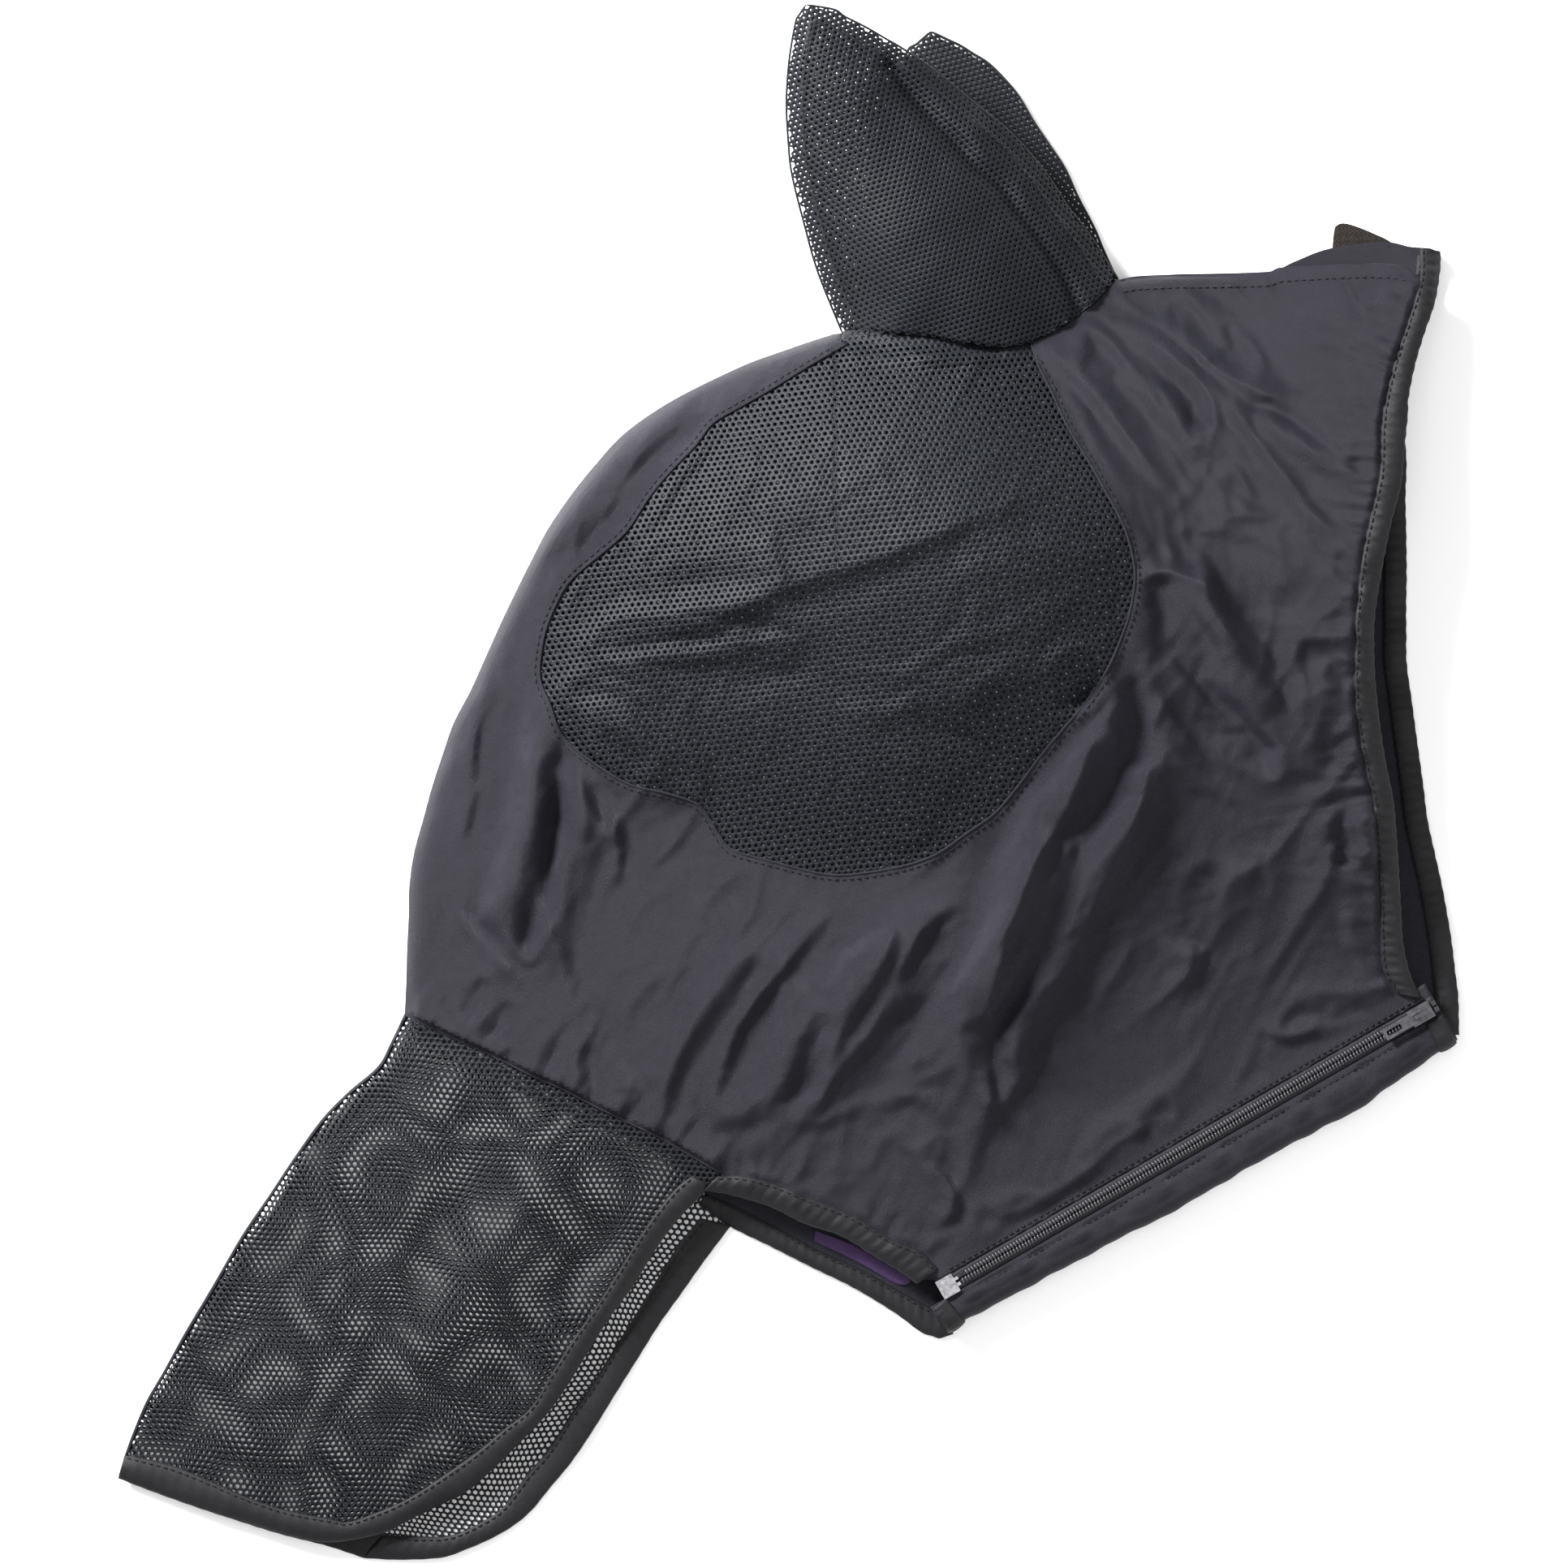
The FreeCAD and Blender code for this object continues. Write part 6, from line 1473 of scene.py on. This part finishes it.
def ear_top_height(pts):
    """Upper layer, with a crease down the middle and a ridge inside each edge."""
    dist = dist_to(pts, EAR_VALLEY)
    z = -3.2 * np.exp(-(dist / 4.2) ** 2) + 1.2 * np.exp(-((dist - 9.0) / 5.0) ** 2)
    edge = ear_edge_dist(pts)
    z = z + 0.7 * np.exp(-((edge - 8.6) / 1.3) ** 2)
    z = z + 1.4 * fbm(pts, 38.0, 5.5, 2) * np.clip(edge / 14.0, 0, 1)
    return ear_top_plate(pts) + z


def ear_low_height(pts):
    return np.minimum(ear_low_plate(pts), ear_top_height(pts) - EAR_RIM_GAP)


def ear_cells(pts):
    return inside(pts, ear_loop) & (dist_to(pts, ear_loop, True) > 0.6)


fit(net("left_ear_front_net", ear_loop, ear_cells, ear_top_height,
        pitch=3.0, hole=0.70, angle=0.30), "left_ear", EAR_NET, "left_ear_front_mesh")
fit(net("left_ear_back_net", ear_loop,
        lambda pts: ear_cells(pts) & (ear_edge_dist(pts) > 7.0), ear_low_height,
        pitch=3.1, hole=0.34, angle=0.84), "left_ear", EAR_NET, "left_ear_back_mesh")
fit(net("left_ear_hem_net", ear_loop,
        lambda pts: ear_cells(pts) & (ear_edge_dist(pts) < 8.8),
        lambda pts: ear_low_height(pts) + 0.5,
        pitch=3.0, hole=0.42, angle=0.30), "left_ear", EAR_NET)

# rolled edges, and a stitched ridge inside each
ear_edges = (EAR_FACE_EDGE, EAR_POLL_EDGE)
ear_seams = [inner_line(line, ear_loop, EAR_SEAM_INSET) for line in ear_edges]
fit(tubes("left_ear_edges", [on_surface(line, ear_top_height, -0.5) for line in ear_edges],
          0.6), "left_ear", BINDING)
rows = [run for line in ear_seams for run in stitches(line, ear_top_height)]
fit(tubes("left_ear_stitches", rows, 0.3, 5), "left_ear", THREAD)
ridges = [on_surface(smoothed(line), ear_top_height, -0.35) for line in ear_seams]
fit(tubes("left_ear_seam_ridge", ridges, 0.55), "left_ear", EAR_NET)

# ------------------------------------------------------------------ far ear
far_ear_base = np.array([(x, y + 2.1) for x, y in EAR_BASE_STATIONS[1:-2]])[::-1]
far_ear_loop = loop_of(FAR_EAR_FACE_EDGE, curve([FAR_EAR_FACE_EDGE[-1], (36.8, 236.7)]),
                       far_ear_base, FAR_EAR_POLL_EDGE)


def far_ear_height(pts):
    lumps = fbm(pts, 30.0, 2.2, 2) * np.clip(dist_to(pts, far_ear_loop, True) / 12, 0, 1)
    return np.maximum(far_ear_plate(pts), 3.2) + 0.8 * lumps


def far_ear_back_cells(pts):
    edge = np.minimum(dist_to(pts, FAR_EAR_POLL_EDGE), dist_to(pts, FAR_EAR_FACE_EDGE))
    return inside(pts, far_ear_loop) & (edge > 1.0)


fit(net("right_ear_front_net", far_ear_loop, lambda pts: inside(pts, far_ear_loop),
        far_ear_height, pitch=3.1, hole=0.72, angle=0.25),
    "mask", EAR_NET, "right_ear_front_mesh")
fit(net("right_ear_back_net", far_ear_loop, far_ear_back_cells,
        lambda pts: np.full(len(pts), 1.7), pitch=3.1, hole=0.45, angle=0.25),
    "mask", EAR_NET, "right_ear_back_mesh")
fit(tubes("right_ear_edges", [on_surface(line, far_ear_height, -0.4)
                              for line in (FAR_EAR_POLL_EDGE, FAR_EAR_FACE_EDGE)], 0.75),
    "mask", BINDING)

# ------------------------------------------------------------------ ear base seams
below_ears = loop_of([(20, 236), (20, 100), (180, 100), (180, 262)], EAR_BASE)
base_inner = even(inner_line(EAR_BASE, below_ears, 5.2), count=len(EAR_BASE))
if np.linalg.norm(base_inner[0] - EAR_BASE[0]) > np.linalg.norm(base_inner[-1] - EAR_BASE[0]):
    base_inner = base_inner[::-1]
fit(ribbon("left_ear_base_roll", base_inner, EAR_BASE, lambda pts: left_height(pts) - 1.9,
           across=7, step=1.5, over=0.1, under=1.0, bulge=0.15, pucker=0.1, wave=7.0, seed=3),
    "mask", BINDING, "left_ear_base_seam")
fit(ribbon("right_ear_base_roll", base_inner, EAR_BASE, lambda pts: right_height(pts) + 0.8,
           across=5, step=2.5, over=0.5, under=0.7, bulge=0.3, pucker=0.1, wave=5.0, seed=4),
    "mask", KNIT, "right_ear_base_seam")

# ------------------------------------------------------------------ nose flap
NOSE_PITCH = 3.15
NOSE_HOLE = 1.08
nose_angle = math.atan2(*(NOSE_FOLD[-1] - NOSE_FOLD[0])[::-1])
near_nose = loop_of(SEAM, curve([SEAM[-1], NOSE_NEAR_OUT[-1]]), NOSE_NEAR_OUT[::-1],
                    curve([NOSE_NEAR_OUT[0], NOSE_FOLD[-1]]), NOSE_FOLD[::-1])
far_nose = loop_of(FAR_SEAM, NOSE_FAR_OUT[::-1], FAR_HEM[::-1], NOSE_FOLD[::-1])


def nose_height(pts):
    z = np.maximum(nose_plate(pts), 4.0)
    for amp, width, line in NOSE_FOLDS:
        dist, _, along, length = measure(pts, line)
        part = along / length
        z = z + amp * ease(np.minimum(part, 1 - part) / 0.3) * np.exp(-0.5 * (dist / width) ** 2)
    z = z + 0.7 * fbm(pts, 30.0, 8.8, 2)
    # one surface with the face panel at the seam
    dist = dist_to(pts, SEAM)
    mix = ease(dist / 14.0)
    z = np.where(dist < 14.0, left_plain(pts) * (1 - mix) + z * mix, z)
    # rolled down at the folded edge
    dist, side = measure(pts, NOSE_FOLD)[:2]
    dist = np.where(side > 0, dist, 0)
    return 1.4 + (z - 1.4) * edge_round(dist + 0.1, 8.0)


def far_nose_height(pts):
    return 0.9 + 0.5 * (1 + np.sin(pts[:, 0] / 17.0 + pts[:, 1] / 29.0))


def nose_fold_roll():
    """Slim roll of net joining the two layers at the folded edge."""
    across = 7
    inward = left_normals(NOSE_FOLD)
    top = nose_height(NOSE_FOLD + inward * 3.0)
    bottom = far_nose_height(NOSE_FOLD + inward * 3.0)
    rows = []
    for k in range(across):
        turn = math.pi * (k / (across - 1) - 0.5)
        line = NOSE_FOLD + inward * (1.5 * (1 - math.cos(turn)) + 0.05)
        z = bottom + (top - bottom) * (0.5 + 0.5 * math.sin(turn))
        rows.append(np.column_stack([line, z]))
    ob = make("nose_fold_roll", np.stack(rows, 1).reshape(-1, 3),
              grid_faces(len(NOSE_FOLD), across))
    thicken(ob, 0.5)
    return ob


fit(net("nose_net_near", near_nose, lambda pts: inside(pts, near_nose), nose_height,
        pitch=NOSE_PITCH, hole=NOSE_HOLE, angle=nose_angle),
    "nose_flap", NOSE_NET, "nose_mesh")
fit(net("nose_net_far", far_nose,
        lambda pts: inside(pts, far_nose) & ~(dist_to(pts, NOSE_FAR_OUT_STATIONS) < 2.0),
        far_nose_height, pitch=NOSE_PITCH, hole=NOSE_HOLE, angle=nose_angle + 0.02, warp=2.3),
    "nose_flap", NOSE_NET)
fit(nose_fold_roll(), "nose_flap", NOSE_NET)

# doubled net at the nose seam
band_inner = smoothed(inner_line(SEAM, near_nose, 10.5))
band_loop = loop_of(SEAM[2:-2], band_inner[::-1])
fit(net("nose_band_net", band_loop, lambda pts: inside(pts, band_loop),
        lambda pts: nose_height(pts) - 0.8, pitch=3.0, hole=0.8, angle=nose_angle + 0.5),
    "nose_flap", NOSE_NET, "nose_seam_band")
fit(tubes("nose_band_stitches", stitches(band_inner, nose_height, 2.4, 1.2), 0.3, 5),
    "nose_flap", THREAD)

fit(ribbon("nose_binding_near", NOSE_NEAR_IN, NOSE_NEAR_OUT, nose_height,
           across=10, step=1.6, over=0.9, under=1.5, bulge=1.1, pucker=0.2, wave=7.5, seed=11),
    "nose_flap", BINDING, "nose_binding")
fit(ribbon("nose_binding_far_side", NOSE_FAR_IN, NOSE_FAR_OUT, far_nose_height,
           across=8, step=1.8, over=0.8, under=0.9, bulge=0.9, pucker=0.18, wave=7.5, seed=12),
    "nose_flap", BINDING)
fit(ribbon("nose_binding_far_hem", HEM_IN, HEM_OUT, far_nose_height,
           across=6, step=2.2, over=0.6, under=0.8, bulge=0.5, pucker=0.3, wave=6.5, seed=13),
    "nose_flap", BINDING)
rows = stitches(between(NOSE_NEAR_IN, NOSE_NEAR_OUT, 0.10),
                lambda pts: nose_height(pts) + 1.3, 2.6, 1.3)
rows += stitches(between(NOSE_FAR_IN, NOSE_FAR_OUT, 0.12),
                 lambda pts: far_nose_height(pts) + 1.2, 2.6, 1.3)
fit(tubes("nose_binding_stitches", rows, 0.32, 5), "nose_flap", THREAD)

# ------------------------------------------------------------------ muzzle and throat bindings
muzzle_near_out = curve(MUZZLE_NEAR_OUT[:-1] + [(68.5, -257.5)])
muzzle_far_out = curve(MUZZLE_FAR_OUT + [(80.5, -286.6), (87.0, -284.2)])
throat_far_out = curve([(349.4, -129.5)] + THROAT_FAR_OUT[1:])
throat_far_in = throat_far_out + left_normals(throat_far_out) * 11.3


def far_binding_height(pts):
    return right_height(pts) + 0.3


fit(ribbon("muzzle_binding_near", MUZZLE_NEAR_IN, muzzle_near_out, left_height,
           across=8, step=1.4, over=0.7, under=1.4, bulge=1.0, pucker=0.36, wave=6.0, seed=21),
    "mask", BINDING, "muzzle_binding_left")
fit(ribbon("muzzle_binding_far", MUZZLE_FAR_IN, muzzle_far_out, far_binding_height,
           across=8, step=1.6, over=0.6, under=0.9, bulge=0.9, pucker=0.3, wave=6.0, seed=22),
    "mask", BINDING, "muzzle_binding_right")
fit(ribbon("throat_binding_near", THROAT_NEAR_IN, THROAT_NEAR_OUT, left_height,
           across=10, step=1.3, over=0.8, under=1.5, bulge=1.2, pucker=0.42, wave=5.5, seed=23),
    "mask", BINDING, "throat_binding_left")
fit(ribbon("throat_binding_far", throat_far_in, throat_far_out, far_binding_height,
           across=8, step=1.5, over=0.7, under=0.9, bulge=0.9, pucker=0.34, wave=6.0, seed=24),
    "mask", BINDING, "throat_binding_right")

rows = stitches(between(MUZZLE_NEAR_IN, muzzle_near_out, 0.14),
                lambda pts: left_height(pts) + 1.2)
rows += stitches(between(THROAT_NEAR_IN, THROAT_NEAR_OUT, 0.12),
                 lambda pts: left_height(pts) + 1.35, 2.6, 1.2)
rows += stitches(between(throat_far_in, throat_far_out, 0.12),
                 lambda pts: right_height(pts) + 1.5, 2.6, 1.2)
rows += stitches(between(MUZZLE_FAR_IN, muzzle_far_out, 0.14),
                 lambda pts: right_height(pts) + 1.4)
fit(tubes("binding_stitches", rows, 0.32, 5), "mask", THREAD)


def strip_end(name, i, sign):
    """Binding folded over one end of the strip; sign points it along the strip."""
    width = 9.5
    across = 9
    point, along, inward = strip_frame(i, 2)
    centre = point + inward * STRIP_RADIUS
    edge = zip_xy((centre - ZIP_START) @ ZIP_ALONG, -6.2)
    reach = np.linalg.norm(edge - centre)
    profile = [(centre + inward * part * reach, 15.6) for part in np.linspace(1.0, 0.0, 8)]
    for degrees in np.linspace(75, -75, 9):
        turn = math.radians(degrees)
        profile.append((centre - inward * (STRIP_RADIUS + 0.5) * math.cos(turn),
                        0.5 + STRIP_RADIUS * (1 + math.sin(turn)) + 0.3))
    verts = []
    for place, z in profile:
        # the lift points straight up on the flat part, outwards round the fold
        if z < 15.2:
            rise = max(-1.0, min(1.0, (z - (0.5 + STRIP_RADIUS)) / STRIP_RADIUS))
            out = math.sqrt(max(0, 1 - rise * rise))
        else:
            rise, out = 1.0, 0.0
        for k in range(across):
            u = k / (across - 1)
            lift = 0.85 * math.sin(math.pi * u) ** 0.6
            spot = place + along * sign * (u * width - 0.8)
            verts.append([*(spot - inward * lift * out), z + lift * rise])
    ob = make(name, verts, grid_faces(len(profile), across, across_first=True))
    thicken(ob, 1.0)
    return ob


fit(strip_end("strip_end_binding_a", 1, 1), "mask", BINDING)
fit(strip_end("strip_end_binding_b", len(STRIP) - 2, -1), "mask", BINDING)

# ------------------------------------------------------------------ left panel seams
SEAM_STITCH_LIFT = 0.1
eye_rim = EYE[4:-4]
rows = []
for line, length in (
        (eye_rim - left_normals(eye_rim) * 2.3, 2.5),   # round the eye net
        (SEAM + left_normals(SEAM) * 2.4, 2.5),         # above the nose seam
        (POLL_NEAR[3:] + np.array([0, -7.6]), 2.5)):    # below the poll edge
    rows += stitches(line, lambda pts: left_height(pts) + SEAM_STITCH_LIFT, length, 1.4)
fit(tubes("panel_stitches", rows, 0.3, 5), "mask", THREAD)
# raised lap edge round the eye opening and along the nose seam
laps = [on_surface(eye_rim, left_height, -0.25), on_surface(SEAM, left_height, -0.2)]
fit(tubes("panel_lap_edge", laps, 0.75, 7), "mask", KNIT)

# ------------------------------------------------------------------ zip
TAPE_Z = 14.35          # under the coils
TAPE_OUTER_Z = 13.6
TAPE_ACROSS = np.array([0.35, 1.2, 3.0, 4.5, 4.9, 5.5, 7.5, 10.5, 12.4])
COIL_PITCH = 1.8
COIL_END = 283.2
# one turn of coil, out from the tape, over the head and back: across, height, part of turn
COIL_TURN = [
    (2.75, 0.15, 0.0), (2.75, 0.75, 0.02), (2.35, 1.35, 0.08), (1.4, 1.62, 0.2),
    (0.62, 1.5, 0.3), (0.28, 1.0, 0.42), (0.3, 0.45, 0.52), (0.8, 0.1, 0.62),
    (1.8, 0.02, 0.8), (2.75, 0.08, 0.92)]


def zip_tape(name, side):
    count = 150
    along = np.linspace(-5, 287, count)
    rows = []
    for across in TAPE_ACROSS:
        weave = 0.05 * np.sin(along / 1.1 + across) * (across > 4)
        z = (TAPE_Z if across < 4.7 else TAPE_OUTER_Z) + weave
        rows.append(np.column_stack([zip_xy(along, across * side), z]))
    ob = make(name, np.stack(rows, 1).reshape(-1, 3),
              grid_faces(count, len(TAPE_ACROSS), across_first=True))
    thicken(ob, 0.6)
    return ob


def zip_coil(name, side, start):
    runs = []
    while start < COIL_END:
        runs.append([(*zip_xy(start + part * 0.9, side * across), TAPE_Z + height)
                     for across, height, part in COIL_TURN])
        start += COIL_PITCH
    return tubes(name, runs, 0.5)


fit(zip_tape("zip_tape_l", 1), "mask", ZIP_TAPE, "zip_tape_left")
fit(zip_tape("zip_tape_r", -1), "mask", ZIP_TAPE, "zip_tape_right")
fit(zip_coil("zip_coil_l", 1, 6.2), "mask", COIL, "zip_coil_left")
fit(zip_coil("zip_coil_r", -1, 2.5), "mask", COIL, "zip_coil_right")
# cords along the coils, and a topstitch row on each side
cord_along = np.linspace(5, 283, 330)
cord_z = 15.75 + 0.06 * np.sin(cord_along * 3.4)
cords = [np.column_stack([zip_xy(cord_along, across), cord_z]) for across in (2.5, -2.5)]
fit(tubes("zip_coil_cords", cords, 0.22, 5), "mask", THREAD)
rows = stitches(zip_xy(np.linspace(-2, 281, 280), 7.4),
                lambda pts: left_height(pts) + 0.05, 2.4, 1.2)
rows += stitches(zip_xy(np.linspace(0, 281, 280), -7.8),
                 lambda pts: np.full(len(pts), 15.35), 2.4, 1.2)
fit(tubes("zip_topstitch", rows, 0.3, 5), "mask", THREAD)

# ------------------------------------------------------------------ label and poll tab
fit(sheet("label_patch", loop_of(LABEL, curve([LABEL[-1], LABEL[0]], 1.5)),
          lambda pts: right_height(pts) + 1.0 + 0.3 * np.sin(pts[:, 0] / 3.0),
          step=1.6, rows=(0.6,), thick=0.4), "mask", LABEL_CLOTH, "inner_label")

tab_loop = loop_of(curve([POLL_TAB[-1], POLL_TAB[0]], 1.5), curve(POLL_TAB, 1.5))


def tab_ribs(pts):
    return 0.10 * np.sin(pts[:, 1] / 0.55) + 0.05 * np.sin(pts[:, 0] / 0.6)


for name, level, node in (("poll_tab_hook_face", 0.55, "poll_tab_hook"),
                          ("poll_tab_loop_face", 1.5, "poll_tab_loop")):
    fit(sheet(name, tab_loop, lambda pts: level + tab_ribs(pts),
              step=0.9, rows=(0.5,), thick=0.75, offset=-0.5),
        "poll_tab", HOOK_LOOP, node)

# ------------------------------------------------------------------ hard zip parts
# these keep their CAD shapes and get new materials
for node, material in (
        ("zip_slider_body", DARK_METAL), ("zip_pull_tab", DARK_METAL),
        ("zip_retainer_box", BRIGHT_METAL), ("zip_insertion_pin", BRIGHT_METAL),
        ("zip_top_stops", PLASTIC)):
    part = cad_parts[node]
    if part.material_slots:
        for slot in part.material_slots:
            slot.material = material
    else:
        part.data.materials.append(material)

# ------------------------------------------------------------------ stage (metres)
FLOOR_HALF = 6
FLOOR_Z = -0.0006
CAMERA_Z = 3.2
FOCUS_Z = 0.02       # height at which the view is VIEW_WIDTH wide
VIEW_WIDTH = 0.81144
SENSOR = 36.0        # mm


def make_floor():
    mesh = bpy.data.meshes.new("floor")
    corners = [(-1, -1), (1, -1), (1, 1), (-1, 1)]
    mesh.from_pydata([(x * FLOOR_HALF, y * FLOOR_HALF, FLOOR_Z) for x, y in corners],
                     [], [(0, 1, 2, 3)])
    floor = bpy.data.objects.new("floor", mesh)
    bpy.context.scene.collection.objects.link(floor)
    mat, _, shader = new_material("pale_floor", (0.93, 0.93, 0.93), 0.9)
    shader.inputs["Specular IOR Level"].default_value = 0.1
    shader.inputs["Emission Color"].default_value = (1, 1, 1, 1)
    shader.inputs["Emission Strength"].default_value = 0.15
    mesh.materials.append(mat)


def area_light(name, place, aim, size, power):
    light = bpy.data.lights.new(name, "AREA")
    light.shape = "RECTANGLE"
    light.size = light.size_y = size
    light.energy = power
    ob = bpy.data.objects.new(name, light)
    bpy.context.scene.collection.objects.link(ob)
    ob.location = place
    direction = Vector(aim) - Vector(place)
    ob.rotation_euler = direction.to_track_quat("-Z", "Y").to_euler()


make_floor()
scene = bpy.context.scene
world = bpy.data.worlds.new("studio")
scene.world = world
world.use_nodes = True
background = world.node_tree.nodes["Background"]
background.inputs["Color"].default_value = (1, 1, 1, 1)
background.inputs["Strength"].default_value = 0.5

area_light("key", place=(-1.5, 1.45, 1.15), aim=(0, 0, 0.02), size=0.7, power=230)
area_light("fill", place=(1.4, -0.9, 1.2), aim=(0, 0, 0.02), size=1.2, power=16)
area_light("top", place=(0.0, 0.1, 2.2), aim=(0, 0, 0), size=1.6, power=10)

scene.view_settings.view_transform = "Standard"
scene.view_settings.look = "None"
scene.view_settings.exposure = 0.0
lens = bpy.data.cameras.new("camera")
lens.sensor_width = SENSOR
lens.lens = SENSOR * (CAMERA_Z - FOCUS_Z) / VIEW_WIDTH
lens.clip_end = 50
camera = bpy.data.objects.new("camera", lens)
scene.collection.objects.link(camera)
camera.location = (-0.00105, 0.00105, CAMERA_Z)
camera.rotation_euler = (0, 0, 0)
scene.camera = camera
